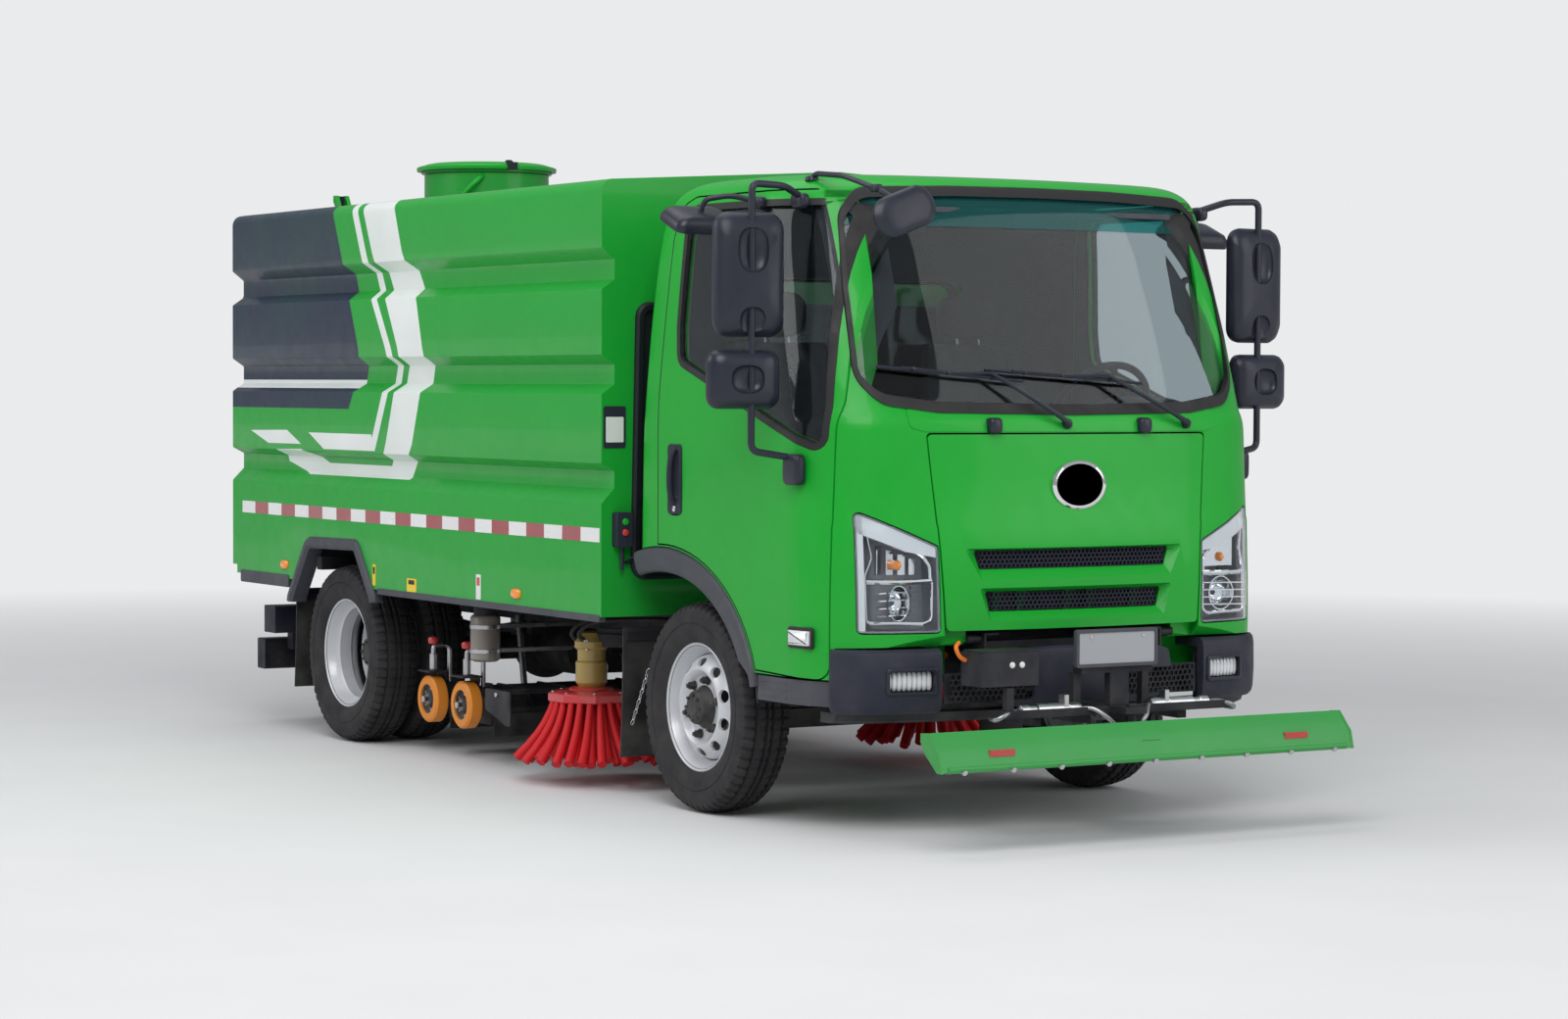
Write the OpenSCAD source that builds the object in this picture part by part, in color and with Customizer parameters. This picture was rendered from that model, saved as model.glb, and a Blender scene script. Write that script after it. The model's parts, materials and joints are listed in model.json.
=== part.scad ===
// Street sweeper truck: a light cab-over chassis with a tipping hopper body,
// side brushes, a suction nozzle on casters and a front spray bar.
// Millimetres. +X forward, +Y left, +Z up. The origin is on the ground, at the
// middle of the overall length and width.

/* [Overall] */
// Rear axle to front axle
wheelbase = 2970; // [2600:10:3500]
// Rear axle to the back of the tailgate
rear_overhang = 1140; // [1100:5:1400]
// Front axle to the front edge of the spray bar
front_overhang = 1550; // [1500:5:1700]

/* [Wheels] */
// Radius of the tyres
tyre_r = 383; // [340:1:400]
// Width of a tyre
tyre_w = 210; // [170:1:215]
// Radius of a rim's flange
rim_r = 235; // [210:1:245]
// Width of a rim between its flanges
rim_w = 152; // [120:1:170]
// Centre of a front tyre from the middle
front_track = 834; // [810:1:850]
// Centre of an outer rear tyre from the middle
rear_track = 893; // [870:1:893]
// Free space between twin tyres
twin_gap = 30; // [20:1:45]
// Kingpin axis from the middle
kingpin_y = 690; // [670:1:695]

/* [Frame] */
// Height of the top of the frame rails
frame_top = 700; // [690:1:760]
// Height of a rail's section
rail_h = 160; // [120:1:170]
// Width of a rail's section
rail_w = 60; // [50:1:80]
// Middle of a rail from the middle of the truck
rail_y = 350; // [330:1:370]

/* [Hopper] */
// Width of the hopper body
body_w = 2074; // [2040:2:2200]
// Height of the top edge of the body's sides
body_h = 2279; // [2200:5:2700]
// Height of the roof's crown above the top edge of the sides
roof_rise = 95; // [60:5:160]
// Depth of the three long channels in each side
channel_depth = 54; // [20:1:60]
// Thickness of the body's walls
body_wall = 25; // [15:1:30]
// Free space between the body's front wall and the cab's lower back edge
cab_gap = 120; // [80:5:200]
// Radius of the filler neck on the roof
neck_r = 285; // [200:5:320]

/* [Cab] */
// Width of the cab
cab_w = 1900; // [1800:10:1960]
// Height of the cab's roof
cab_h = 2300; // [2260:5:2500]
// Thickness of the cab's walls and doors
cab_wall = 45; // [35:1:50]
// Gap around a door or flap
shut_gap = 6; // [5:0.5:9]

/* [Sweeping gear] */
// Radius of a side brush at its tips
brush_r = 270; // [220:5:290]
// Radius of a side brush's plate
brush_plate_r = 170; // [130:5:180]
// Radius of a nozzle caster wheel
caster_r = 100; // [80:1:110]
// Width of a nozzle caster wheel
caster_w = 60; // [45:1:70]
// Height of the nozzle's casters above the ground when it is lifted
nozzle_lift = 130; // [90:5:140]
// Half the width of the spray bar
bar_half = 870; // [700:10:900]

/* [Hidden] */
$fn = 48;

eps = 1;                                   // how far a cut runs past a face
fit = 0.06;                                // radial clearance of a pin in its bore
slide_fit = 0.4;                           // radial clearance of the two duct pipes
rear_axle_x = -(wheelbase + front_overhang - rear_overhang) / 2;
axle_z = tyre_r;
rail_bottom = frame_top - rail_h;
rail_in = rail_y - rail_w / 2;
rail_out = rail_y + rail_w / 2;
fa = wheelbase;                            // the front axle, from the rear axle
left = 1;
right = -1;

// ---- hopper body -------------------------------------------------------------
body_half = body_w / 2;
body_back = -rear_overhang + 70;           // back end of the body's sides
body_front = fa - 390 - cab_gap;           // front wall
floor_z = frame_top + 90;                  // underside of the body's floor
skirt_z = frame_top - 17;                  // lower edge of the skirts
tip_x = -930;                              // axis that the body tips about
tip_z = frame_top + 45;
tip_pin_r = 15;
gate_gap = 2;                              // rubber seal of the tailgate
gate_pin_x = body_back - 12;
gate_pin_z = body_h + roof_rise + 32;
neck_x = -600;
neck_h = 150;                              // neck above the top edge of the sides
neck_top = body_h + roof_rise + neck_h;
lid_r = neck_r + 30;
lid_axis_x = neck_x - lid_r - 22;
lid_axis_z = neck_top + 12;

// ---- cab ---------------------------------------------------------------------
cab_half = cab_w / 2;
nose_x = fa + 1105;                        // front of the cab on the centre line
cab_back = fa - 390;
tilt_x = fa + 1030;                        // axis that the cab tilts about
tilt_z = frame_top - 20;
tilt_pin_r = 15;
cab_floor = frame_top + 40;                // underside of the floor over the rails
foot_z = 560;                              // underside of the footwells
seat_z = tyre_r + 552;                     // underside of the floor over the wheels
arch_x = fa - 200;                         // centre of the wheel arch's ellipse
arch_a = 690;
arch_b = seat_z + 25 - 400;
door_back = fa - 230;
door_front = fa + 880;
hinge_r = 9;                               // barrel of a door or flap hinge
hinge_pin_r = 5;
hinge_half = 20;                           // half the length of a hinge barrel
door_hinge_z = [760, 1300];
flap_hinge_y = [-380, 380];
door_axis_x = door_front + hinge_r;
door_axis_y = cab_half - hinge_r;
flap_half = 541;
flap_low = frame_top + 12;
flap_top = 1395;
flap_wall = 32;
flap_axis_x = fa + 1074;
flap_axis_z = flap_top + shut_gap + 4;
screen_low = [fa + 1055, 1470];            // windscreen, lower edge on the centre line
screen_high = [fa + 830, cab_h - 55];

// ---- chassis -------------------------------------------------------------------
twin_step = tyre_w + twin_gap;             // from one twin tyre to the other
twin_y = rear_track - twin_step / 2;       // plane where the twin discs meet
seat_r = rim_r - 13;                       // where a tyre sits on its rim
bumper_low = frame_top - 270;
bumper_high = frame_top - 65;
ram_low = [500, 500];                      // lower eye of the tip ram, x and z
ram_high = [-500, frame_top + 35];         // upper eye, on the hopper
ram_y = -170;
ram_r = 42;
ram_len = norm(ram_high - ram_low);
ram_angle = atan2(ram_high[1] - ram_low[1], ram_low[0] - ram_high[0]);
battery_back = 1380;
duct_x = 800;
duct_y = 110;
duct_r = 105;

// ---- sweeping gear -------------------------------------------------------------
brush_x = fa - 1050;
brush_y = 790;
brush_pivot = [brush_x + 300, 560];
brush_arm_z = 540;
plate_z = 310;
nozzle_x = duct_x;
caster_z = nozzle_lift + caster_r;
caster_step = 160;                         // casters before and behind the nozzle's middle
caster_y = 860;
bar_front = fa + front_overhang;
bar_axis_x = bar_front - 160;
bar_z = 250;                               // lower edge of the spray bar

// Moves an outline's points inwards by d. The outline runs anticlockwise.
function unit(v) = v / norm(v);
function inward(a, b) = let (u = unit(b - a)) [-u[1], u[0]];
function inset(p, d) = [
    for (i = [0 : len(p) - 1])
        let (
            n = len(p),
            n1 = inward(p[(i + n - 1) % n], p[i]),
            n2 = inward(p[i], p[(i + 1) % n])
        )
        p[i] + (n1 + n2) * d / (1 + n1 * n2)
];
function reverse(p) = [for (i = [len(p) - 1 : -1 : 0]) p[i]];
function flip(p) = [for (q = reverse(p)) [-q[0], q[1]]];

// Everything below is drawn from the rear axle; this puts it in the part's frame.
module placed() translate([rear_axle_x, 0, 0]) children();

// A block given by its two corners.
module block(a, b) translate(a) cube(b - a);

// Both sides of the truck.
module both_sides() {
    children();
    mirror([0, 1, 0]) children();
}

module pin_y(x, z, r, y0, y1)
    translate([x, y0, z]) rotate([-90, 0, 0]) cylinder(r = r, h = y1 - y0);

// A round bar from p to q.
module rod(p, q, r) {
    d = q - p;
    translate(p)
        rotate([0, acos(d[2] / norm(d)), atan2(d[1], d[0])])
            cylinder(r = r, h = norm(d));
}

// A bent tube through points, with round corners.
module bent_tube(points, r) {
    for (i = [0 : len(points) - 2]) rod(points[i], points[i + 1], r);
    for (i = [1 : len(points) - 2]) translate(points[i]) sphere(r = 1.3 * r);
}

// An outline in x and z, carried along Y from y0 to y1.
module side_shape(p, y0, y1)
    translate([0, y1, 0]) rotate([90, 0, 0]) linear_extrude(height = y1 - y0) polygon(p);

// An outline in y and z, carried along X from x0 to x1.
module cross_shape(p, x0, x1)
    translate([x0, 0, 0]) rotate([90, 0, 90]) linear_extrude(height = x1 - x0) polygon(p);

// ---- chassis ---------------------------------------------------------------------

module rail() {
    web = 8;
    difference() {
        block([-960, rail_in, rail_bottom], [fa + 1055, rail_out, frame_top]);
        block([-960 - eps, rail_in - eps, rail_bottom + web],
              [fa + 1055 + eps, rail_out - web, frame_top - web]);
    }
}

module cross_member(x, w, z0, z1) block([x - w / 2, -rail_out + 8, z0], [x + w / 2, rail_out - 8, z1]);

module chassis_frame() color("dimgray") placed() {
    ear = 20;
    difference() {
        union() {
            both_sides() rail();
            for (x = [-820, -420]) cross_member(x, 70, rail_bottom + 8, frame_top - 30);
            cross_member(ram_low[0] + 60, 50, rail_bottom - 60, rail_bottom + 60);
            cross_member(fa - 560, 60, rail_bottom + 8, frame_top - 30);
            cross_member(fa + 620, 70, rail_bottom + 8, frame_top - 30);
            cross_member(fa + 1000, 60, rail_bottom + 8, frame_top - 30);
            // ears and pins that the hopper tips on
            both_sides() {
                for (y = [rail_y - 18 - ear, rail_y + 18])
                    hull() {
                        pin_y(tip_x, tip_z, 25, y, y + ear);
                        block([tip_x - 25, y, frame_top - 4], [tip_x + 25, y + ear, frame_top + 4]);
                    }
                pin_y(tip_x, tip_z, tip_pin_r, rail_y - 38, rail_y + 38);
                pin_y(tilt_x, tilt_z, tilt_pin_r, rail_out - 8, rail_out + 60);
            }
            // ears and pin of the tip ram's lower eye
            for (y = [ram_y - 45, ram_y + 30])
                block([ram_low[0] - 25, y, ram_low[1] - 28], [ram_low[0] + 40, y + 15, ram_low[1] + 60]);
            pin_y(ram_low[0], ram_low[1], 12, ram_y - 45, ram_y + 45);
            // outriggers and pivot pins of the brush arms
            both_sides() {
                block([brush_pivot[0] - 45, rail_out - 8, brush_arm_z + 62],
                      [brush_pivot[0] + 45, brush_pivot[1] + 45, brush_arm_z + 82]);
                translate([brush_pivot[0], brush_pivot[1], brush_arm_z - 12])
                    cylinder(r = 15, h = 90);
            }
        }
    }
}

// A leaf spring's outline: a shallow bow of the given half length and rise.
function bow(half, rise, t) = let (
    r = (half * half + rise * rise) / (2 * rise),
    sweep = asin(half / r),
    steps = 8
) concat(
    [for (i = [-steps : steps]) [r * sin(sweep * i / steps), r - r * cos(sweep * i / steps)]],
    [for (i = [steps : -1 : -steps])
        [(r - t) * sin(sweep * i / steps), r - (r - t) * cos(sweep * i / steps)]]
);

// Springs of one axle, with their hangers up to the rails.
module springs(x, z, rise) {
    half = 500;
    t = 36;
    both_sides() {
        translate([x, 0, z]) side_shape(bow(half, rise, t), rail_y - 34, rail_y + 34);
        for (s = [-1, 1])
            block([x + s * (half - 18) - 30, rail_y - 26, z + rise - 10],
                  [x + s * (half - 18) + 30, rail_y + 26, rail_bottom]);
    }
}

module front_axle() color("dimgray") placed() {
    beam_z = axle_z - 55;
    difference() {
        union() {
            block([fa - 32, -620, beam_z - 35], [fa + 32, 620, beam_z + 35]);
            both_sides() {
                block([fa - 26, 560, beam_z - 30], [fa + 26, kingpin_y - 50, axle_z + 40]);
                block([fa - 26, kingpin_y - 60, axle_z - 42], [fa + 26, kingpin_y, axle_z + 42]);
                translate([fa, kingpin_y, axle_z - 45]) cylinder(r = 32, h = 90);
                block([fa - 40, rail_y - 45, beam_z + 34], [fa + 40, rail_y + 45, beam_z + 60]);
            }
            springs(fa, beam_z + 59, 90);
        }
        both_sides()
            translate([fa, kingpin_y, axle_z - 45 - eps]) cylinder(r = 16 + fit, h = 90 + 2 * eps);
    }
}

module rear_axle() color("dimgray") placed() {
    tube_end = twin_y - 185;
    rotate([-90, 0, 0]) translate([0, -axle_z, -tube_end]) cylinder(r = 52, h = 2 * tube_end);
    translate([0, 0, axle_z]) sphere(r = 145);
    translate([90, 0, axle_z]) rotate([0, 90, 0]) cylinder(r = 108, h = 330);
    both_sides() {
        pin_y(0, axle_z, 150, tube_end - 40, tube_end - 10);
        pin_y(0, axle_z, 35, tube_end - 20, twin_y + 70);
        block([-45, rail_y - 45, axle_z + 20], [45, rail_y + 45, axle_z + 74]);
    }
    springs(0, axle_z + 73, 45);
}

module traction_battery() color("slategray") placed()
    block([battery_back, -rail_in, rail_bottom - 160], [fa - 620, rail_in, frame_top - 40]);

module rear_underrun() color("dimgray") placed() {
    block([-rear_overhang + 50, -930, 240], [-rear_overhang + 140, 930, 380]);
    both_sides()
        block([-rear_overhang + 140, rail_y - 25, 300], [-860, rail_y + 25, rail_bottom]);
}

module tail_lamps() color("firebrick") placed()
    both_sides() {
        block([-rear_overhang + 155, 720, 413], [-860, 940, 536]);
        block([-rear_overhang + 140, 780, 330], [-rear_overhang + 200, 820, 414]);
    }

// ---- cab -------------------------------------------------------------------------

// Half-width fractions at which the front outline's points lie.
nose_t = [0, 0.2, 0.4, 0.57, 0.7, 0.8, 0.88, 0.93, 0.96, 0.98, 1];
// Front of the cab at a fraction t of its half width: a shallow bow with tight corners.
function nose(t) = nose_x - 80 * pow(t, 2) - 150 * pow(t, 24);

// The cab seen from above, anticlockwise.
cab_plan = concat(
    [[cab_back - 200, -cab_half]],
    [for (i = [len(nose_t) - 1 : -1 : 1]) [nose(nose_t[i]), -cab_half * nose_t[i]]],
    [for (i = [0 : len(nose_t) - 1]) [nose(nose_t[i]), cab_half * nose_t[i]]],
    [[cab_back - 200, cab_half]]
);

// The cab seen from its right-hand side, x and z, anticlockwise.
cab_side = [
    [cab_back, seat_z], [fa + 480, seat_z], [fa + 480, foot_z], [fa + 890, foot_z],
    [fa + 900, bumper_high + 20], [fa + 1010, bumper_high + 25], [fa + 1060, frame_top + 2],
    [nose_x + 7, frame_top + 20], [nose_x + 7, 1085], [fa + 1086, 1400], screen_low, screen_high, [fa + 755, cab_h - 10], [fa + 600, cab_h],
    [fa + 100, cab_h - 4], [fa - 150, cab_h - 25], [fa - 235, cab_h - 72],
    [fa - 300, cab_h - 180], [fa - 330, cab_h - 370]
];

// The cab's outer form, drawn in by d.
module cab_form(d) intersection() {
    side_shape(inset(cab_side, d), -cab_half - 10, cab_half + 10);
    translate([0, 0, 300]) linear_extrude(height = cab_h) polygon(inset(cab_plan, d));
}

// An arc of the wheel arch's ellipse, drawn in by d, from angle a0 to a1.
function arch(a0, a1, d, steps) = [
    for (i = [0 : steps])
        let (a = a0 + (a1 - a0) * i / steps)
        [arch_x + (arch_a - d) * cos(a), 400 + (arch_b - d) * sin(a)]
];

// Where the arch crosses the door's back edge and the sill.
arch_door = acos((door_back - arch_x) / arch_a);
arch_sill = asin((foot_z - 400) / arch_b);

door_outline = concat(
    [[door_front, foot_z - 15], [door_front, 1500], [fa + 790, cab_h - 85], [fa + 740, cab_h - 70],
     [fa - 60, cab_h - 70], [fa - 120, cab_h - 95], [fa - 165, cab_h - 210], [door_back, 1500]],
    reverse(arch(arch_sill, arch_door, -10, 8)),
    [[fa + 520, foot_z - 15]]
);

window_outline = [
    [fa + 838, 1345], [fa + 835, 1420], [fa + 752, cab_h - 150], [fa + 715, cab_h - 115],
    [fa - 20, cab_h - 110], [fa - 62, cab_h - 150], [fa - 92, 1700], [fa - 60, 1655]
];

// The windscreen's outline, across and along the slope from its lower edge.
screen_len = norm(screen_high - screen_low);
screen_outline = [
    [-790, 30], [790, 30], [835, 75], [800, screen_len - 90], [745, screen_len - 40],
    [-745, screen_len - 40], [-800, screen_len - 90], [-835, 75]
];

// Places a flat shape on the windscreen's plane, from depth d to d + t behind its face.
module on_screen(p, d, t) {
    lean = atan2(screen_low[0] - screen_high[0], screen_high[1] - screen_low[1]);
    translate([screen_low[0], 0, screen_low[1]])
        rotate([0, -lean, 0])
            translate([-d - t, 0, 0])
                rotate([90, 0, 90]) linear_extrude(height = t) polygon(p);
}

module lamp_space(g) cross_shape(
    inset([[560, flap_low], [905, flap_low], [905, 1150], [560, 1025]], g),
    fa + 900 + g, nose_x + 20
);

// Two ears and a pin along Y or Z that a hinge barrel turns on. The ears reach back to x = reach.
module hinge_seat(reach) {
    cylinder(r = hinge_pin_r, h = 2 * hinge_half + 18, center = true);
    for (s = [-1, 1])
        translate([min(0, reach) - 4, -5, s * (hinge_half + 5) - 4]) cube([abs(reach) + 8, 10, 8]);
}

// A hinge barrel with its bore, and a leaf that reaches to x = reach.
module hinge_leaf(reach) difference() {
    union() {
        cylinder(r = hinge_r, h = 2 * hinge_half, center = true);
        translate([min(0, reach), -4, -hinge_half]) cube([abs(reach), 8, 2 * hinge_half]);
    }
    cylinder(r = hinge_pin_r + fit, h = 2 * hinge_half + 2, center = true);
}

module door_hinges() for (z = door_hinge_z) translate([door_axis_x, door_axis_y, z]) children();

module flap_hinges()
    for (y = flap_hinge_y) translate([flap_axis_x, y, flap_axis_z]) rotate([90, 0, 0]) children();

module cab_walls() {
    difference() {
        cab_form(0);
        cab_form(cab_wall);
    }
    // tunnel over the frame
    intersection() {
        cab_form(5);
        difference() {
            block([fa + 440, -rail_out - 90, foot_z], [nose_x, rail_out + 90, cab_floor + 40]);
            block([fa + 440 - eps, -rail_out - 60, foot_z - eps],
                  [nose_x + eps, rail_out + 60, cab_floor]);
        }
    }
}

module cab_openings() {
    block([fa + 300, -rail_out - 60, foot_z - 50], [nose_x + 50, rail_out + 60, cab_floor]);
    both_sides() {
        side_shape(concat([[fa - 700, 300]], [[arch_x + arch_a, 300]], arch(0, 180, 0, 20)),
                   cab_half - cab_wall - 20, cab_half + eps);
        side_shape(inset(door_outline, -shut_gap), cab_half - cab_wall - eps, cab_half + 20);
        door_hinges() cylinder(r = hinge_r + 5, h = 80, center = true);
        lamp_space(0);
    }
    intersection() {
        difference() {
            cab_form(-5);
            cab_form(flap_wall + shut_gap);
        }
        block([fa + 800, -flap_half - shut_gap, flap_low - 60],
              [nose_x + 20, flap_half + shut_gap, flap_top + shut_gap + 3]);
    }
    flap_hinges() cylinder(r = hinge_r + 5, h = 80, center = true);
    on_screen(screen_outline, -50, 160);
    block([cab_back - 50, -430, 1500], [fa - 240, 430, 1950]);
}

module cab_shell() color("limegreen") placed() {
    difference() {
        cab_walls();
        cab_openings();
    }
    both_sides() {
        door_hinges() hinge_seat(22);
        // lugs that hang on the tilt pins
        difference() {
            hull() {
                pin_y(tilt_x, tilt_z, 24, rail_out + 14, rail_out + 44);
                block([tilt_x - 40, rail_out + 14, cab_floor - 2],
                      [tilt_x + 20, rail_out + 44, cab_floor + 2]);
            }
            pin_y(tilt_x, tilt_z, tilt_pin_r + fit, rail_out, rail_out + 60);
        }
    }
    flap_hinges() hinge_seat(-24);
}

module cab_fenders() color("#2b2c33") placed() both_sides() {
    side_shape(concat(arch(12, 106, 3, 14), reverse(arch(12, 106, 90, 14))), cab_half - 50, cab_half + 4);
    block([fa + 470, cab_half - 240, foot_z - 105], [fa + 880, cab_half - 55, foot_z]);
    block([fa + 462, cab_half - 56, foot_z - 105], [fa + 880, cab_half, foot_z - 22]);
}

module front_flap() color("limegreen") placed() {
    intersection() {
        difference() {
            cab_form(0);
            cab_form(flap_wall);
        }
        difference() {
            block([fa + 800, -flap_half, flap_low], [nose_x + 20, flap_half, flap_top]);
            block([fa + 800 - eps, -flap_half - eps, flap_low - eps], [fa + 1060, flap_half + eps, flap_low + 60]);
        }
    }
    flap_hinges() rotate([0, 0, -90]) hinge_leaf(shut_gap + 16);
}

module cab_glass() color("lightblue", 0.5) placed() {
    intersection() {
        on_screen(screen_outline, 10, 8);
        cab_form(3);
    }
    block([cab_back + 72, -430, 1500], [cab_back + 78, 430, 1950]);
}

module headlamps() color("white") placed() both_sides() intersection() {
    cab_form(0.5);
    lamp_space(0.3);
}

module seats() color("#33353b") placed() for (y = [-430, 430])
    side_shape([[fa - 240, seat_z + cab_wall], [fa + 190, seat_z + cab_wall], [fa + 230, seat_z + 190],
                [fa + 200, seat_z + 215], [fa - 110, seat_z + 185], [fa - 195, seat_z + 720],
                [fa - 215, seat_z + 930], [fa - 270, seat_z + 930], [fa - 282, seat_z + 720]],
               y - 240, y + 240);

module dashboard() color("#26272c") placed() {
    hub = [fa + 600, 430, 1450];
    intersection() {
        cab_form(cab_wall + 0.3);
        side_shape([[fa + 830, 1165], [fa + 1100, 1165], [fa + 1100, 1435], [fa + 990, 1435],
                    [fa + 860, 1395], [fa + 800, 1290]], -cab_half + 62, cab_half - 62);
    }
    rod([fa + 860, 430, 1300], hub, 28);
    translate(hub) rotate([0, -60, 0]) {
        rotate_extrude() translate([200, 0]) circle(r = 13);
        for (a = [0, 120, 240]) rotate(a) translate([0, -12, -6]) cube([200, 24, 12]);
    }
}

// A mirror head: a shallow dome with a flat glass face towards the back.
module mirror_head(c, w, h, t) translate(c - [t / 2, w / 2, h / 2]) cube([t, w, h]);

module front_mirror() color("#2b2c33") placed() {
    foot = [fa + 575, -790, cab_h + 0.3];
    translate(foot) cylinder(r = 22, h = 12);
    bent_tube([foot + [0, 0, 6], foot + [40, 3, 47], [fa + 965, -745, cab_h + 33],
               [fa + 1101, -733, cab_h - 27], [fa + 1096, -731, cab_h - 150]], 10, $fn = 8);
    translate([fa + 1075, -731, cab_h - 163]) rotate([0, 80, 0]) cylinder(r = 105, h = 45);
}

// ---- doors: everything is drawn for the left side ------------------------------------

module door() {
    difference() {
        side_shape(door_outline, cab_half - cab_wall, cab_half);
        side_shape(window_outline, cab_half - cab_wall - eps, cab_half + eps);
    }
    door_hinges() hinge_leaf(-hinge_r - 4);
}

module door_pane() side_shape(window_outline, cab_half - 28, cab_half - 22);

// Head mirrors on a bent tube that is carried by two blocks on the door.
module mirrors() {
    r = 11;
    out = cab_half + 150;
    x = fa + 720;
    for (z = [1240, cab_h - 92])
        block([fa + 765, cab_half, z - 35], [fa + 845, cab_half + 45, z + 35]);
    bent_tube([[fa + 800, cab_half + 30, 1240], [x, out - 40, 1250], [x, out, 1400],
               [x, out, cab_h - 150], [x, out - 40, cab_h - 92], [fa + 800, cab_half + 30, cab_h - 92]], r);
    mirror_head([x - 35, out + 5, 1935], 230, 440, 60);
    mirror_head([x - 35, out + 5, 1572], 225, 220, 60);
    block([fa + 385, cab_half, cab_h - 115], [fa + 430, cab_half + 30, cab_h - 80]);
    bent_tube([[fa + 408, cab_half + 15, cab_h - 98], [fa + 375, out, cab_h - 98],
               [fa + 340, out + 10, cab_h - 150]], 8);
    mirror_head([fa + 335, out + 10, cab_h - 180], 150, 90, 150);
}

module door_left() color("limegreen") placed() door();
module door_right() color("limegreen") placed() mirror([0, 1, 0]) door();
module door_glass_left() color("lightblue", 0.5) placed() door_pane();
module door_glass_right() color("lightblue", 0.5) placed() mirror([0, 1, 0]) door_pane();
module mirrors_left() color("#2b2c33") placed() mirrors();
module mirrors_right() color("#2b2c33") placed() mirror([0, 1, 0]) mirrors();

// ---- front ---------------------------------------------------------------------------

// An arc of the bumper's outline, g outside the cab's front line.
function bumper_line(g, k) = concat(
    [for (i = [len(nose_t) - 2 : -1 : 1]) [nose(nose_t[i]) + g, -cab_half * nose_t[i] * k]],
    [for (i = [0 : len(nose_t) - 2]) [nose(nose_t[i]) + g, cab_half * nose_t[i] * k]]
);

module front_bumper() color("#3a3c44") placed() {
    translate([0, 0, bumper_low]) linear_extrude(height = bumper_high - bumper_low)
        polygon(concat(bumper_line(30, 0.99), reverse(bumper_line(-30, 0.94))));
    both_sides()
        block([fa + 1055, rail_in + 5, rail_bottom + 10], [fa + 1078, rail_out - 5, bumper_high]);
}

// Post, plate and box that stand before the bumper, on an arm from the frame.
module front_bracket() color("#2b2c33") placed() {
    arm_z = bar_z + 152;
    arm_t = 24;
    block([fa + 970, -60, arm_z], [fa + 1030, 60, rail_bottom + 8]);
    block([fa + 970, -45, arm_z], [bar_axis_x + 30, 45, arm_z + arm_t]);
    block([fa + 1290, -40, arm_z], [fa + 1325, 40, 640]);
    block([fa + 1325, -170, 590], [fa + 1333, 170, 710]);
    block([fa + 1300, -480, arm_z], [fa + 1325, 480, arm_z + arm_t]);
    block([fa + 1300, -470, arm_z], [fa + 1325, -440, 540]);
    block([fa + 1270, -600, 530], [fa + 1335, -320, 668]);
    translate([bar_axis_x, 0, bar_z + 54]) cylinder(r = 16, h = arm_z - bar_z - 44);
}

module spray_valves() color("silver") placed() both_sides()
    pin_y(fa + 1312, bar_z + 200, 24, 150, 400);

module spray_bar() color("palegreen") placed() {
    fold = [
        [bar_front - 125, bar_z + 138], [bar_front - 95, bar_z + 146], [bar_front - 15, bar_z + 70],
        [bar_front, bar_z + 4], [bar_front - 14, bar_z], [bar_front - 28, bar_z + 62],
        [bar_front - 102, bar_z + 128], [bar_front - 122, bar_z + 124]
    ];
    difference() {
        union() {
            side_shape(fold, -bar_half, bar_half);
            block([bar_axis_x - 30, -40, bar_z + 50], [bar_front - 20, 40, bar_z + 75]);
            translate([bar_axis_x, 0, bar_z + 50]) cylinder(r = 40, h = 60);
        }
        translate([bar_axis_x, 0, bar_z + 40]) cylinder(r = 16 + fit, h = 80);
    }
}

// ---- hopper body -------------------------------------------------------------------------

// Right half of the body's outline, y and z, from the skirt up to the crown.
function body_edge() = let (
    c = channel_depth,
    k = body_h - 2279,
    crown = body_h + roof_rise,
    s = body_half
) [
    [s, skirt_z], [s, 1107], [s - c, 1162], [s - c, 1229], [s, 1256], [s, 1514 + k / 2],
    [s - c, 1551 + k / 2], [s - c, 1626 + k / 2], [s, 1662 + k / 2], [s, 1905 + k], [s - c, 1942 + k],
    [s - c, 2018 + k], [s, 2060 + k], [s, body_h],
    for (a = [30 : 30 : 90]) [s - 70 + 70 * cos(a), body_h - 20 + 70 * sin(a)],
    [s * 0.6, crown - 16]
];

// The whole outline, closed over the roof: from the right skirt to the left one.
body_outline = concat(body_edge(), [[0, body_h + roof_rise]], flip(body_edge()));
// The outline above the floor.
hold_edge = concat([[body_half, floor_z]], [for (p = body_edge()) if (p[1] > floor_z) p]);
hold_outline = concat(hold_edge, [[0, body_h + roof_rise]], flip(hold_edge));

module body_shell() {
    difference() {
        cross_shape(hold_outline, body_back, body_front);
        cross_shape(inset(hold_outline, body_wall), body_back - eps, body_front - body_wall);
        translate([neck_x, 0, body_h]) cylinder(r = neck_r - 12, h = 400);
    }
    // skirts with the rear wheels' openings
    both_sides() difference() {
        block([body_back, body_half - body_wall, skirt_z], [body_front, body_half, floor_z + 1]);
        side_shape([[-395, skirt_z - eps], [-255, floor_z - 4], [262, floor_z - 4], [405, skirt_z - eps]],
                   body_half - body_wall - eps, body_half + eps);
    }
}

module filler_neck() difference() {
    translate([neck_x, 0, body_h + roof_rise - 60]) cylinder(r = neck_r, h = neck_top - body_h - roof_rise + 60);
    translate([neck_x, 0, body_h]) cylinder(r = neck_r - 12, h = 400);
    translate([0, 0, -4]) cross_shape(inset(hold_outline, body_wall - 2), neck_x - 400, neck_x + 400);
}

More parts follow.
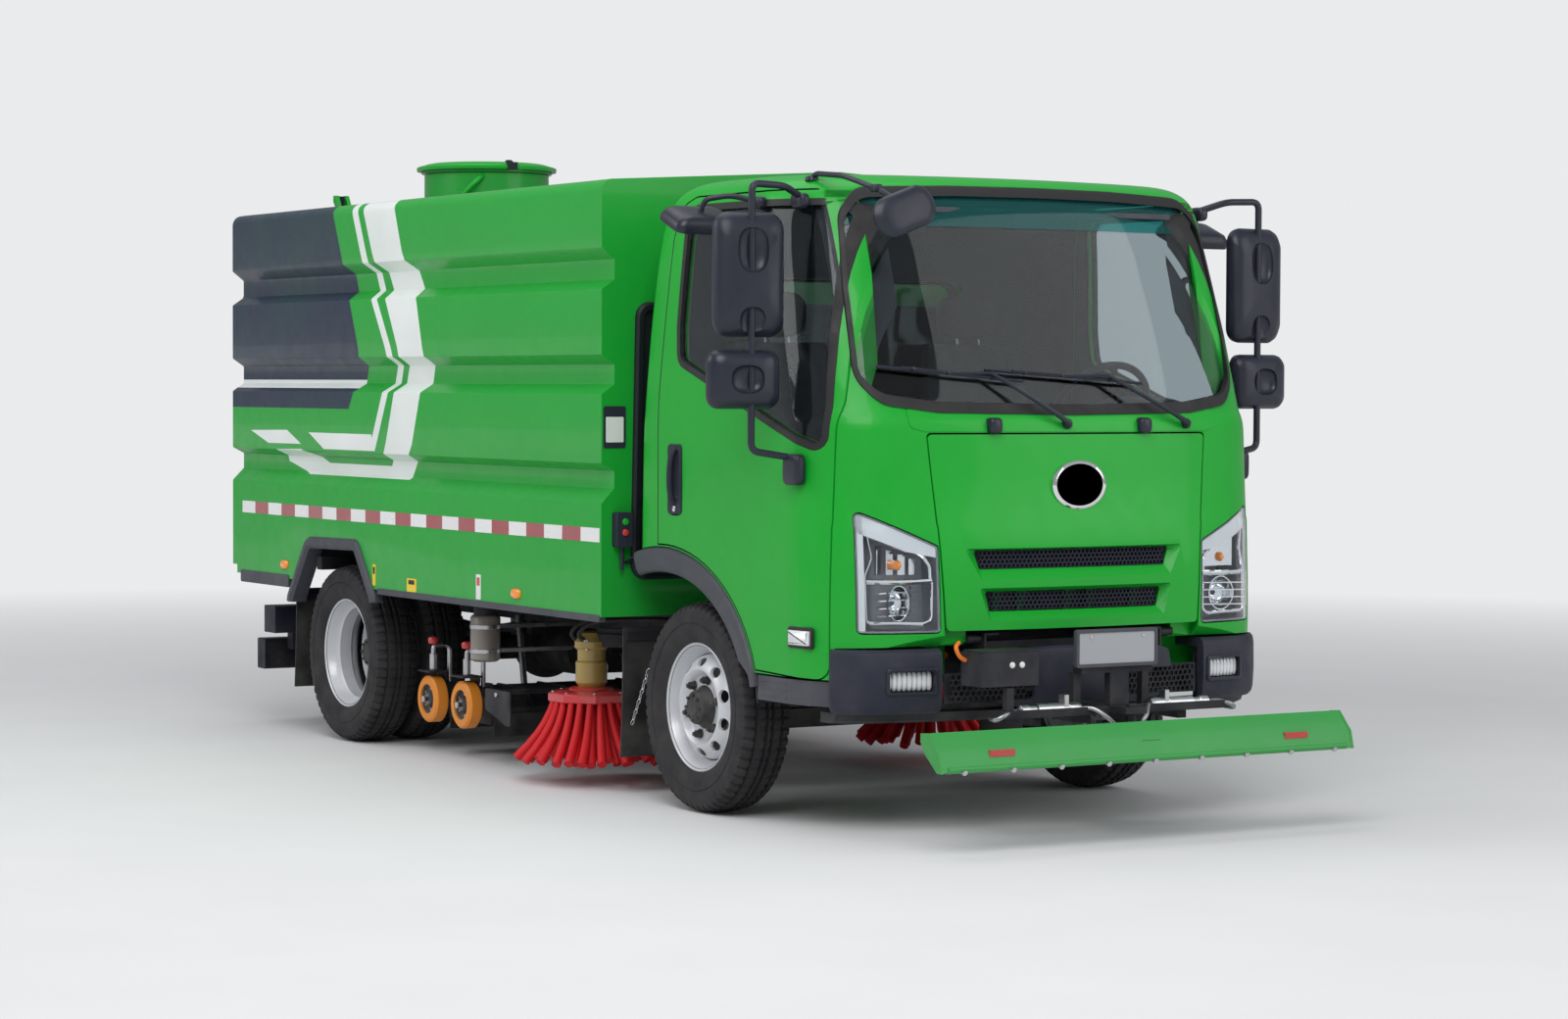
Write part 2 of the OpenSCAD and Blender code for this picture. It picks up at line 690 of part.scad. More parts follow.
module hopper_body() color("limegreen") placed() {
    body_shell();
    filler_neck();
    both_sides() {
        // sills that lie on the rails
        block([tip_x + 60, rail_in, frame_top], [body_front - 60, rail_out, floor_z + 1]);
        // lugs on the tipping pins
        difference() {
            union() {
                pin_y(tip_x, tip_z, 28, rail_y - 16, rail_y + 16);
                block([tip_x - 28, rail_y - 16, tip_z], [tip_x + 28, rail_y + 16, floor_z + 1]);
            }
            pin_y(tip_x, tip_z, tip_pin_r + fit, rail_y - 20, rail_y + 20);
        }
        // tailgate hinges
        for (y = [480, 530]) difference() {
            side_shape([[body_back + 60, body_h + 40], [gate_pin_x + 16, gate_pin_z + 16],
                        [gate_pin_x - 16, gate_pin_z + 16], [gate_pin_x - 16, gate_pin_z - 14],
                        [body_back, gate_pin_z - 20], [body_back, body_h + 40]], y, y + 18);
            translate([0, 0, -4]) cross_shape(inset(hold_outline, body_wall / 2), body_back - 60, body_front);
        }
        pin_y(gate_pin_x, gate_pin_z, 9, 480, 548);
    }
    // lid hinge
    for (y = [-60, 44]) {
        block([lid_axis_x - 14, y, neck_top - 40], [neck_x - neck_r + 20, y + 16, neck_top - 5]);
        block([lid_axis_x - 14, y, neck_top - 40], [neck_x - lid_r - 5, y + 16, lid_axis_z + 10]);
    }
    pin_y(lid_axis_x, lid_axis_z, 7, -60, 60);
    // ears beside the tip ram's upper eye
    for (y = [ram_y - 50, ram_y + 34])
        block([ram_high[0] - 40, y, ram_high[1] - 30], [ram_high[0] + 40, y + 16, floor_z + 1]);
}

module tailgate() color("limegreen") placed() {
    low = floor_z - 70;
    gate_edge = concat([[body_half, low]], [for (p = body_edge()) if (p[1] > low) p]);
    outline = concat(gate_edge, [[0, body_h + roof_rise]], flip(gate_edge));
    back = -rear_overhang;
    face = body_back - gate_gap;
    difference() {
        cross_shape(inset(outline, 0.5), back, face);
        block([back - eps, -body_half + 130, low + 70], [back + 30, body_half - 130, body_h - 60]);
    }
    both_sides() difference() {
        side_shape([[face - 4, body_h + 20], [face - 4, gate_pin_z - 20], [gate_pin_x + 13, gate_pin_z - 6],
                    [gate_pin_x + 13, gate_pin_z + 13], [gate_pin_x - 13, gate_pin_z + 13],
                    [gate_pin_x - 13, gate_pin_z - 14], [back + 36, body_h + 60], [back + 36, body_h + 20]],
                   502, 526);
        pin_y(gate_pin_x, gate_pin_z, 9 + fit, 490, 540);
    }
}

module filler_lid() color("limegreen") placed() {
    lid_t = 42;
    difference() {
        union() {
            translate([neck_x, 0, neck_top + 0.3]) cylinder(r = lid_r, h = lid_t);
            block([lid_axis_x, -40, lid_axis_z - 10], [neck_x - lid_r + 20, 40, lid_axis_z + 10]);
            pin_y(lid_axis_x, lid_axis_z, 13, -40, 40);
        }
        pin_y(lid_axis_x, lid_axis_z, 7 + fit, -50, 50);
    }
}

// The tip ram lies along its own X, from its lower eye.
module along_ram() translate([ram_low[0], ram_y, ram_low[1]]) rotate([0, -ram_angle, 180]) children();

module tip_ram_barrel() color("#2b2c33") placed() along_ram() difference() {
    union() {
        translate([52, 0, 0]) rotate([0, 90, 0]) cylinder(r = ram_r, h = ram_len - 272);
        rotate([90, 0, 0]) cylinder(r = 24, h = 50, center = true);
        block([0, -20, -18], [60, 20, 18]);
    }
    rotate([90, 0, 0]) cylinder(r = 12 + fit, h = 60, center = true);
    translate([90, 0, 0]) rotate([0, 90, 0]) cylinder(r = 26.3, h = ram_len);
}

module tip_ram_rod() color("silver") placed() along_ram() {
    translate([120, 0, 0]) rotate([0, 90, 0]) cylinder(r = 26, h = ram_len - 140);
    translate([ram_len, 0, 0]) rotate([90, 0, 0]) cylinder(r = 24, h = 56, center = true);
}

// ---- steering and wheels -------------------------------------------------------------------

module knuckle() {
    difference() {
        union() {
            for (z = [axle_z - 72, axle_z + 47])
                translate([fa, kingpin_y, z]) cylinder(r = 30, h = 25);
            block([fa - 28, kingpin_y + 36, axle_z - 72], [fa + 28, kingpin_y + 52, axle_z + 72]);
            for (z = [axle_z - 72, axle_z + 47])
                block([fa - 28, kingpin_y, z], [fa + 28, kingpin_y + 40, z + 25]);
            translate([fa, kingpin_y, axle_z - 72]) cylinder(r = 16, h = 144);
            pin_y(fa, axle_z, 28, kingpin_y + 45, front_track + 60);
            block([fa - 150, kingpin_y - 18, axle_z - 72], [fa - 20, kingpin_y + 18, axle_z - 52]);
            translate([fa - 150, kingpin_y, axle_z - 72]) cylinder(r = 20, h = 20);
        }
        translate([fa - 150, kingpin_y, axle_z - 80]) cylinder(r = 9 + fit, h = 40);
    }
}

module knuckle_left() color("gray") placed() knuckle();
module knuckle_right() color("gray") placed() mirror([0, 1, 0]) knuckle();

module tie_rod() color("gray") placed() {
    z = axle_z - 88;
    pin_y(fa - 150, z, 12, -kingpin_y + 10, kingpin_y - 10);
    both_sides() {
        translate([fa - 150, kingpin_y, z - 13]) cylinder(r = 19, h = 26);
        translate([fa - 150, kingpin_y, z]) cylinder(r = 9, h = 32);
    }
}

// A tyre about +Z. Its section's points are a radius and a distance from the middle plane.
module tyre() rotate_extrude() polygon([
    [seat_r, -rim_w / 2], [seat_r + 30, -rim_w / 2 - 4], [(seat_r + tyre_r) / 2, -tyre_w / 2 + 2],
    [tyre_r - 55, -tyre_w / 2], [tyre_r - 22, -tyre_w / 2 + 10], [tyre_r - 6, -tyre_w / 2 + 24],
    [tyre_r, -tyre_w / 2 + 50], [tyre_r, tyre_w / 2 - 50], [tyre_r - 6, tyre_w / 2 - 24],
    [tyre_r - 22, tyre_w / 2 - 10], [tyre_r - 55, tyre_w / 2], [(seat_r + tyre_r) / 2, tyre_w / 2 - 2],
    [seat_r + 30, rim_w / 2 + 4], [seat_r, rim_w / 2]
]);

// A rim about +Z. Its disc bulges by d beyond the middle plane.
module rim(d) rotate_extrude() polygon([
    [seat_r, -rim_w / 2], [rim_r, -rim_w / 2 - 5], [rim_r, -rim_w / 2 - 9], [seat_r - 10, -rim_w / 2 - 9],
    [seat_r - 12, 20], [150, d - 12], [60, d - 12], [60, d], [156, d], [seat_r - 12, 45],
    [seat_r - 10, rim_w / 2 + 9], [rim_r, rim_w / 2 + 9], [rim_r, rim_w / 2 + 5], [seat_r, rim_w / 2]
]);

// Turns +Z outwards at a wheel's centre plane on the left side.
module wheel_at(x, y) translate([x, y, axle_z]) rotate([-90, 0, 0]) children();

module front_rim() difference() {
    union() {
        wheel_at(fa, front_track) rim(95);
        pin_y(fa, axle_z, 62, kingpin_y + 62, front_track + 120);
        pin_y(fa, axle_z, 100, front_track + 60, front_track + 84);
    }
    pin_y(fa, axle_z, 28 + fit, kingpin_y + 50, front_track + 62);
}

module rear_rims() difference() {
    union() {
        wheel_at(0, rear_track) mirror([0, 0, 1]) rim(twin_step / 2);
        wheel_at(0, rear_track - twin_step) rim(twin_step / 2);
        pin_y(0, axle_z, 70, twin_y - 120, twin_y + 90);
    }
    pin_y(0, axle_z, 35 + fit, twin_y - 130, twin_y + 72);
}

module rear_tyres() for (y = [rear_track, rear_track - twin_step]) wheel_at(0, y) tyre();

module front_rim_left() color("silver") placed() front_rim();
module front_rim_right() color("silver") placed() mirror([0, 1, 0]) front_rim();
module front_tyre_left() color("#222222") placed() wheel_at(fa, front_track) tyre();
module front_tyre_right() color("#222222") placed() mirror([0, 1, 0]) wheel_at(fa, front_track) tyre();
module rear_rims_left() color("silver") placed() rear_rims();
module rear_rims_right() color("silver") placed() mirror([0, 1, 0]) rear_rims();
module rear_tyres_left() color("#222222") placed() rear_tyres();
module rear_tyres_right() color("#222222") placed() mirror([0, 1, 0]) rear_tyres();

// ---- sweeping gear --------------------------------------------------------------------------

module suction_duct() color("#26272c") placed() {
    difference() {
        translate([duct_x, duct_y, 440]) cylinder(r = duct_r + 9, h = floor_z - 440);
        translate([duct_x, duct_y, 430]) cylinder(r = duct_r + slide_fit, h = floor_z);
    }
    block([duct_x - 30, duct_y + duct_r + 4, rail_bottom + 30], [duct_x + 30, rail_in + 1, rail_bottom + 60]);
}

module suction_nozzle() color("#26272c") placed() {
    top = nozzle_lift + 150;
    mouth = nozzle_lift + 12;
    difference() {
        union() {
            side_shape([[nozzle_x - 200, mouth], [nozzle_x + 200, mouth], [nozzle_x + 200, mouth + 70],
                        [nozzle_x + 130, top], [nozzle_x - 130, top], [nozzle_x - 200, mouth + 70]],
                       -760, 760);
            translate([duct_x, duct_y, top - 20]) cylinder(r = duct_r, h = 330);
        }
        side_shape([[nozzle_x - 190, mouth - eps], [nozzle_x + 190, mouth - eps], [nozzle_x + 190, mouth + 64],
                    [nozzle_x + 124, top - 10], [nozzle_x - 124, top - 10], [nozzle_x - 190, mouth + 64]],
                   -750, 750);
        translate([duct_x, duct_y, top - 40]) cylinder(r = duct_r - 8, h = 400);
    }
    // caster axles
    both_sides() for (s = [-1, 1]) {
        x = nozzle_x + s * caster_step;
        block([x - 20, 759, caster_z - 25], [x + 20, caster_y - caster_w / 2 - 10, caster_z + 25]);
        pin_y(x, caster_z, 12, 780, caster_y + 20);
    }
}

module caster(s) translate([nozzle_x + s * caster_step, caster_y, caster_z]) rotate([-90, 0, 0]) difference() {
    union() {
        cylinder(r = caster_r, h = caster_w - 14, center = true);
        cylinder(r = caster_r - 8, h = caster_w, center = true);
    }
    translate([0, 0, -caster_w]) cylinder(r = 12 + fit, h = caster_w + 20 + 1);
}

module caster_front_left() color("orange") placed() caster(1);
module caster_rear_left() color("orange") placed() caster(-1);
module caster_front_right() color("orange") placed() mirror([0, 1, 0]) caster(1);
module caster_rear_right() color("orange") placed() mirror([0, 1, 0]) caster(-1);

module brush_arm() {
    a = [brush_pivot[0], brush_pivot[1], brush_arm_z + 24];
    b = [brush_x, brush_y, brush_arm_z + 24];
    difference() {
        union() {
            translate([a[0], a[1], brush_arm_z]) cylinder(r = 38, h = 56);
            translate([a[0], a[1], brush_arm_z + 6])
                rotate(atan2(b[1] - a[1], b[0] - a[0])) translate([0, -24, 0]) cube([norm(b - a), 48, 36]);
        }
        translate([a[0], a[1], brush_arm_z - eps]) cylinder(r = 15 + fit, h = 60);
    }
    translate([b[0], b[1], plate_z + 78]) cylinder(r = 58, h = brush_arm_z - plate_z - 18);
    translate([b[0], b[1], plate_z + 10]) cylinder(r = 18, h = 90);
}

module side_brush() translate([brush_x, brush_y, 0]) difference() {
    union() {
        translate([0, 0, plate_z]) cylinder(r = brush_plate_r, h = 64, $fn = 8);
        translate([0, 0, 6]) cylinder(r1 = brush_r, r2 = brush_plate_r - 20, h = plate_z - 5);
    }
    translate([0, 0, 5]) cylinder(r1 = brush_r - 70, r2 = brush_plate_r - 70, h = plate_z - 30);
    translate([0, 0, plate_z + 8]) cylinder(r = 18 + fit, h = 80);
}

module brush_arm_left() color("goldenrod") placed() brush_arm();
module brush_arm_right() color("goldenrod") placed() mirror([0, 1, 0]) brush_arm();
module side_brush_left() color("red") placed() side_brush();
module side_brush_right() color("red") placed() mirror([0, 1, 0]) side_brush();

chassis_frame();
front_axle();
rear_axle();
traction_battery();
front_bumper();
front_bracket();
spray_valves();
rear_underrun();
tail_lamps();
cab_shell();
cab_fenders();
front_flap();
cab_glass();
headlamps();
seats();
dashboard();
front_mirror();
door_left();
door_right();
door_glass_left();
door_glass_right();
mirrors_left();
mirrors_right();
hopper_body();
tailgate();
filler_lid();
tip_ram_barrel();
tip_ram_rod();
knuckle_left();
knuckle_right();
tie_rod();
front_rim_left();
front_rim_right();
front_tyre_left();
front_tyre_right();
rear_rims_left();
rear_rims_right();
rear_tyres_left();
rear_tyres_right();
suction_duct();
suction_nozzle();
caster_front_left();
caster_front_right();
caster_rear_left();
caster_rear_right();
brush_arm_left();
brush_arm_right();
side_brush_left();
side_brush_right();
spray_bar();
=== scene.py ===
"""Looks of the street sweeper truck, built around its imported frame.

Lengths are metres. Inside the classes x runs forward from the rear axle, y to the
truck's left and z up; Form.build carries every piece into the frame's own axes.
"""
from __future__ import annotations

import json
import logging
import math
from dataclasses import dataclass, field
from enum import Enum
from typing import Callable, Iterable, Sequence

import bpy
import numpy as np
from mathutils import Matrix, Vector

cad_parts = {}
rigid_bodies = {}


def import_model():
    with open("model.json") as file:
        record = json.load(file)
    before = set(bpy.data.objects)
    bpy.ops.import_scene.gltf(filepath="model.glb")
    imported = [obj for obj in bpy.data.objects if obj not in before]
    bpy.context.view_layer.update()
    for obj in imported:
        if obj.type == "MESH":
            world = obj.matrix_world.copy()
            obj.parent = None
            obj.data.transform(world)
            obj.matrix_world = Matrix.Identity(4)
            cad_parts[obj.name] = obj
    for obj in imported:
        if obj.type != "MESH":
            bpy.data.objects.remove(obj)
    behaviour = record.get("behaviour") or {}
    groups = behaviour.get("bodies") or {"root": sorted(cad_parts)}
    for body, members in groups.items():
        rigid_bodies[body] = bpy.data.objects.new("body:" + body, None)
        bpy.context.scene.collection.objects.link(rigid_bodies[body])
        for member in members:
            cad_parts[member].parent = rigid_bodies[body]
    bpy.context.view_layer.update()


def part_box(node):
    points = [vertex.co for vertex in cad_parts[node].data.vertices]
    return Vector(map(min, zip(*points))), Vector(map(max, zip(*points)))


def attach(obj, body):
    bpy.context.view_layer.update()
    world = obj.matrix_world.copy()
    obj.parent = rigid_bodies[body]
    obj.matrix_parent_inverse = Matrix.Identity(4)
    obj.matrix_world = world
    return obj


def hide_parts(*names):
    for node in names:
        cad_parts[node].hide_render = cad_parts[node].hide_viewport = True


LOG = logging.getLogger("sweeper")
Point = Sequence[float]
Points = np.ndarray
Faces = list
SIDES = (("left", 1), ("right", -1))
ROAD_DUST = (0.30, 0.28, 0.25)
WORN = 0.55
LEAST_GRAIN = 0.00001
SLIGHT = 1e-5


# ---- finishes -------------------------------------------------------------------------------


class Graph:
    """A thin wrapper round a material's node tree, for writing patterns as expressions."""

    def __init__(self, name: str) -> None:
        """Starts a material with one Principled shader.

        Args:
            name: the material's name.
        """
        self.material = bpy.data.materials.new(name)
        self.material.use_nodes = True
        self.tree = self.material.node_tree
        self.shader = self.tree.nodes["Principled BSDF"]
        self.coords = self.tree.nodes.new("ShaderNodeTexCoord")

    def set(self, **values: object) -> None:
        """Sets or links shader sockets; an underscore in a name stands for a space."""
        for name, value in values.items():
            self.feed(self.shader.inputs[name.replace("_", " ")], value)

    def feed(self, socket: bpy.types.NodeSocket, value: object) -> None:
        """Links or sets one input.

        Args:
            socket: the input socket.
            value: an output socket, a number or a colour.
        """
        if isinstance(value, bpy.types.NodeSocket):
            self.tree.links.new(value, socket)
        elif isinstance(value, (tuple, list)) and len(value) == 3 and socket.type == "RGBA":
            socket.default_value = (*value, 1.0)
        else:
            socket.default_value = value

    def axis(self, index: int) -> bpy.types.NodeSocket:
        """Returns one object coordinate, 0 for x, 1 for y, 2 for z."""
        node = self.tree.nodes.new("ShaderNodeSeparateXYZ")
        self.tree.links.new(self.coords.outputs["Object"], node.inputs[0])
        return node.outputs[index]

    def maths(self, kind: str, *values: object) -> bpy.types.NodeSocket:
        """Returns one arithmetic step.

        Args:
            kind: the operation, such as "MULTIPLY".
            values: its operands.

        Returns:
            The result's socket.
        """
        node = self.tree.nodes.new("ShaderNodeMath")
        node.operation = kind
        for socket, value in zip(node.inputs, values):
            self.feed(socket, value)
        return node.outputs[0]

    def noise(self, scale: float, detail: float = 4.0) -> bpy.types.NodeSocket:
        """Returns a cloudy grey, with scale lumps to the metre and detail octaves."""
        node = self.tree.nodes.new("ShaderNodeTexNoise")
        node.inputs["Scale"].default_value = scale
        node.inputs["Detail"].default_value = detail
        self.tree.links.new(self.coords.outputs["Object"], node.inputs["Vector"])
        return node.outputs["Fac"]

    def mix(self, factor: object, low: object, high: object) -> bpy.types.NodeSocket:
        """Returns a blend of two colours.

        Args:
            factor: 0 for low, 1 for high.
            low: the first colour.
            high: the second colour.

        Returns:
            The blended colour's socket.
        """
        node = self.tree.nodes.new("ShaderNodeMix")
        node.data_type = "RGBA"
        self.feed(node.inputs["Factor"], factor)
        self.feed(node.inputs[6], low)
        self.feed(node.inputs[7], high)
        return node.outputs[2]

    def span(self, value: object, low: float, high: float, a: float = 0.0, b: float = 1.0) -> bpy.types.NodeSocket:
        """Returns value carried linearly from low..high to a..b, and held at the ends."""
        node = self.tree.nodes.new("ShaderNodeMapRange")
        for socket, number in zip(node.inputs, (value, low, high, a, b)):
            self.feed(socket, number)
        return node.outputs[0]

    def bump(self, height: object, depth: float, strength: float = 1.0) -> None:
        """Roughens the surface.

        Args:
            height: the grey that rises.
            depth: how far it rises, in metres.
            strength: how much it shows.
        """
        node = self.tree.nodes.new("ShaderNodeBump")
        node.inputs["Distance"].default_value = depth
        node.inputs["Strength"].default_value = strength
        self.feed(node.inputs["Height"], height)
        self.tree.links.new(node.outputs[0], self.shader.inputs["Normal"])


@dataclass(frozen=True)
class Finish:
    """A finish of one colour with fine grain, slow variation and road dust low down."""

    name: str
    colour: tuple[float, float, float]
    roughness: float = 0.5
    metallic: float = 0.0
    coat: float = 0.0
    grain: float = 900.0
    depth: float = 0.0002
    variation: float = 0.12
    dust: float = 0.25
    transmission: float = 0.0
    glow: float = 0.0
    specular: float = 0.5

    def colours(self, graph: Graph) -> object:
        """Returns the colour before wear, and lets subclasses draw a pattern."""
        return self.colour

    def material(self) -> bpy.types.Material:
        """Returns the finish as a Blender material, made once."""
        title = f"fine_{self.name}"
        ready = bpy.data.materials.get(title)
        if ready:
            return ready
        graph = Graph(title)
        slow = graph.noise(2.3, 5.0)
        shade = graph.mix(graph.span(slow, 0.35, 0.7, 0.0, self.variation), self.colours(graph),
                          tuple(c * WORN for c in self.colour))
        dusty = graph.maths("MULTIPLY", graph.span(graph.axis(2), 1.0, 0.15, 0.0, self.dust),
                            graph.span(graph.noise(9.0, 6.0), 0.35, 0.7))
        shade = graph.mix(dusty, shade, ROAD_DUST)
        rough = graph.span(graph.noise(14.0, 5.0), 0.3, 0.7, self.roughness * 0.85, min(1.0, self.roughness * 1.2))
        graph.set(Base_Color=shade, Roughness=graph.maths("ADD", rough, graph.maths("MULTIPLY", dusty, 0.4)),
                  Metallic=self.metallic, Specular_IOR_Level=self.specular)
        if self.coat:
            graph.set(Coat_Weight=self.coat, Coat_Roughness=0.06)
        if self.transmission:
            graph.set(Transmission_Weight=self.transmission, IOR=1.3)
        if self.glow:
            graph.set(Emission_Color=(*self.colour, 1.0), Emission_Strength=self.glow)
        if self.depth > LEAST_GRAIN:
            graph.bump(graph.noise(self.grain, 3.0), self.depth, 0.6)
        return graph.material


def broken_line(graph: Graph, z: object, points: Sequence[tuple[float, float]]) -> bpy.types.NodeSocket:
    """Returns x along a broken line at height z.

    Args:
        graph: the node tree.
        z: the height's socket.
        points: (z, x) pairs from low to high.

    Returns:
        The socket that holds x.
    """
    low, high = points[0][0], points[-1][0]
    first, last = min(p[1] for p in points), max(p[1] for p in points)
    node = graph.tree.nodes.new("ShaderNodeFloatCurve")
    curve = node.mapping.curves[0]
    for _ in range(len(points) - 2):
        curve.points.new(0.5, 0.5)
    for spot, (height, place) in zip(curve.points, points):
        spot.location = ((height - low) / (high - low), (place - first) / max(last - first, 1e-6))
        spot.handle_type = "VECTOR"
    node.mapping.update()
    graph.feed(node.inputs["Value"], graph.span(z, low, high))
    return graph.span(node.outputs[0], 0.0, 1.0, first, last)


@dataclass(frozen=True)
class Livery(Finish):
    """The body's green paint with its slate rear panel, pale bands and strokes.

    Each edge is a broken line: x from the rear axle at each height.
    """

    slate: tuple[float, float, float] = (0.016, 0.026, 0.056)
    white: tuple[float, float, float] = (0.80, 0.84, 0.82)
    slate_edge: tuple = ((1.441, 0.171), (1.54, 0.238), (1.66, 0.276), (1.70, 0.270), (1.91, 0.178), (2.10, 0.095),
                         (2.29, 0.006))
    thin_edge: tuple = ((1.266, 0.381), (1.54, 0.528), (1.65, 0.565), (1.70, 0.541), (1.91, 0.399), (2.10, 0.295),
                        (2.29, 0.205))
    band_edge: tuple = ((1.151, 0.470), (1.30, 0.548), (1.54, 0.640), (1.65, 0.680), (1.70, 0.662), (1.91, 0.540),
                        (2.10, 0.412), (2.29, 0.319))
    nose_edge: tuple = ((1.151, 0.694), (1.30, 0.805), (1.54, 0.895), (1.65, 0.925), (1.70, 0.903), (1.91, 0.842),
                        (2.10, 0.706), (2.29, 0.631))
    strokes: tuple = (((-0.255, 1.336), (-0.092, 1.266), (0.440, 1.266), (0.403, 1.336)),
                      ((-0.906, 1.338), (-0.703, 1.283), (-0.337, 1.284), (-0.493, 1.344)),
                      ((-0.617, 1.257), (-0.588, 1.202), (-0.118, 1.196), (-0.337, 1.262)),
                      ((-0.588, 1.204), (-0.336, 1.151), (0.694, 1.151), (0.546, 1.204)))

    def colours(self, graph: Graph) -> bpy.types.NodeSocket:
        """Returns green, slate and white as a function of x and z."""
        z = graph.axis(2)
        x = graph.maths("SUBTRACT", graph.axis(0), AXLES.rear)

        def product(*values: object) -> bpy.types.NodeSocket:
            """Returns 1 where every value is 1."""
            total = values[0]
            for value in values[1:]:
                total = graph.maths("MULTIPLY", total, value)
            return total

        def beyond(edge: Sequence, shift: float = 0.0) -> bpy.types.NodeSocket:
            """Returns 1 ahead of an edge."""
            return graph.maths("GREATER_THAN", x, graph.maths("ADD", broken_line(graph, z, edge), shift))

        def between(low: float, high: float) -> bpy.types.NodeSocket:
            """Returns 1 between two heights."""
            return product(graph.maths("GREATER_THAN", z, low), graph.maths("LESS_THAN", z, high))

        def behind(edge: Sequence, shift: float = 0.0) -> bpy.types.NodeSocket:
            """Returns 1 behind an edge."""
            return graph.maths("SUBTRACT", 1.0, beyond(edge, shift))

        def inside(corners: Sequence) -> bpy.types.NodeSocket:
            """Returns 1 inside a shape with corners in x and z, anticlockwise."""
            tests = []
            for (x0, z0), (x1, z1) in zip(corners, corners[1:] + corners[:1]):
                along = graph.maths("MULTIPLY", graph.maths("SUBTRACT", z, z0), x1 - x0)
                across = graph.maths("MULTIPLY", graph.maths("SUBTRACT", x, x0), z1 - z0)
                tests.append(graph.maths("GREATER_THAN", along, across))
            return product(*tests)

        colour = graph.mix(product(behind(self.slate_edge), between(1.441, 2.40)), self.colour, self.slate)
        shapes = [product(behind(self.slate_edge), between(1.530, 1.566)),
                  product(beyond(self.thin_edge), behind(self.thin_edge, 0.058), between(1.266, 2.40)),
                  product(beyond(self.band_edge), behind(self.nose_edge), between(1.151, 2.40))]
        for shape in shapes + [inside(corners) for corners in self.strokes]:
            colour = graph.mix(shape, colour, self.white)
        return colour


@dataclass(frozen=True)
class Brushed(Finish):
    """Bare metal."""

    metallic: float = 1.0
    roughness: float = 0.28
    variation: float = 0.3
    dust: float = 0.1


@dataclass(frozen=True)
class Woven(Finish):
    """Cloth with a fine weave."""

    roughness: float = 0.9
    dust: float = 0.0

    def colours(self, graph: Graph) -> bpy.types.NodeSocket:
        """Returns the weave's lighter and darker threads."""
        waves = [graph.maths("SINE", graph.maths("MULTIPLY", graph.axis(i), 1800.0)) for i in (0, 1)]
        weave = graph.span(graph.maths("MULTIPLY", *waves), -1.0, 1.0)
        return graph.mix(weave, tuple(c * 0.7 for c in self.colour), tuple(c * 1.4 for c in self.colour))


@dataclass(frozen=True)
class Tape(Finish):
    """Retroreflective tape in equal red and white lengths."""

    start: float = -1.003
    pitch: float = 0.150
    red: tuple[float, float, float] = (0.32, 0.012, 0.020)

    def colours(self, graph: Graph) -> bpy.types.NodeSocket:
        """Returns red and white in turn along x."""
        run = graph.maths("DIVIDE", graph.maths("SUBTRACT", graph.axis(0), AXLES.rear + self.start), 2 * self.pitch)
        turn = graph.maths("LESS_THAN", graph.maths("FRACT", run), 0.5)
        return graph.mix(turn, self.red, self.colour)


GREEN = Finish("green_paint", (0.006, 0.365, 0.026), 0.38, coat=0.12, grain=260, depth=0.00006, variation=0.10,
               dust=0.04, specular=0.3)
LIVERY = Livery("body_livery", (0.010, 0.350, 0.034), 0.38, coat=0.20, grain=260, depth=0.00006, variation=0.10,
                dust=0.08, specular=0.3)
BLACK = Finish("satin_black", (0.011, 0.012, 0.018), 0.5, specular=0.3, grain=500, variation=0.2, dust=0.18)
PLASTIC = Finish("grained_plastic", (0.019, 0.021, 0.038), 0.55, specular=0.35, grain=1400, depth=0.0003, dust=0.12)
GREY_PLASTIC = Finish("grey_plastic", (0.050, 0.053, 0.068), 0.48, grain=1400, depth=0.0003, dust=0.15)
HOUSING = Finish("mirror_housing", (0.018, 0.020, 0.034), 0.34, specular=0.4, grain=800, depth=0.0001, dust=0.0)
RUBBER = Finish("seal_rubber", (0.012, 0.012, 0.013), 0.6, grain=500, dust=0.2)
TYRE = Finish("tyre_rubber", (0.015, 0.014, 0.017), 0.75, grain=320, depth=0.0003, variation=0.2, dust=0.07)
WHEEL = Finish("wheel_silver", (0.66, 0.67, 0.70), 0.38, metallic=0.25, coat=0.3, grain=600, variation=0.2, dust=0.12)
STEEL = Brushed("bright_steel", (0.62, 0.63, 0.65))
DULL_STEEL = Brushed("dull_steel", (0.30, 0.30, 0.31), 0.45)
CHROME = Brushed("chrome", (0.80, 0.81, 0.83), 0.08, grain=100, depth=0.00002, variation=0.05)
CAST = Finish("cast_iron", (0.035, 0.035, 0.038), 0.65, metallic=0.3, grain=350, depth=0.0008, variation=0.4, dust=0.4)
BATTERY = Finish("battery_case", (0.10, 0.11, 0.125), 0.5, grain=800, dust=0.45)
RED_LENS = Finish("red_lens", (0.50, 0.012, 0.012), 0.15, coat=1.0, grain=300, dust=0.1)
AMBER_LENS = Finish("amber_lens", (0.85, 0.25, 0.01), 0.15, coat=1.0, grain=300, dust=0.1, glow=0.15)
WHITE_LENS = Finish("white_lens", (0.80, 0.82, 0.84), 0.12, coat=1.0, grain=300, dust=0.1)
LENS = Finish("lamp_cover", (0.90, 0.93, 0.95), 0.03, transmission=1.0, depth=0.0, variation=0.0, dust=0.0)
GLASS = Finish("window_glass", (0.55, 0.61, 0.63), 0.0, transmission=1.0, depth=0.0, variation=0.0, dust=0.0)
BAND_GLASS = Finish("sun_band", (0.04, 0.30, 0.29), 0.04, transmission=0.85, depth=0.0, variation=0.0, dust=0.0)
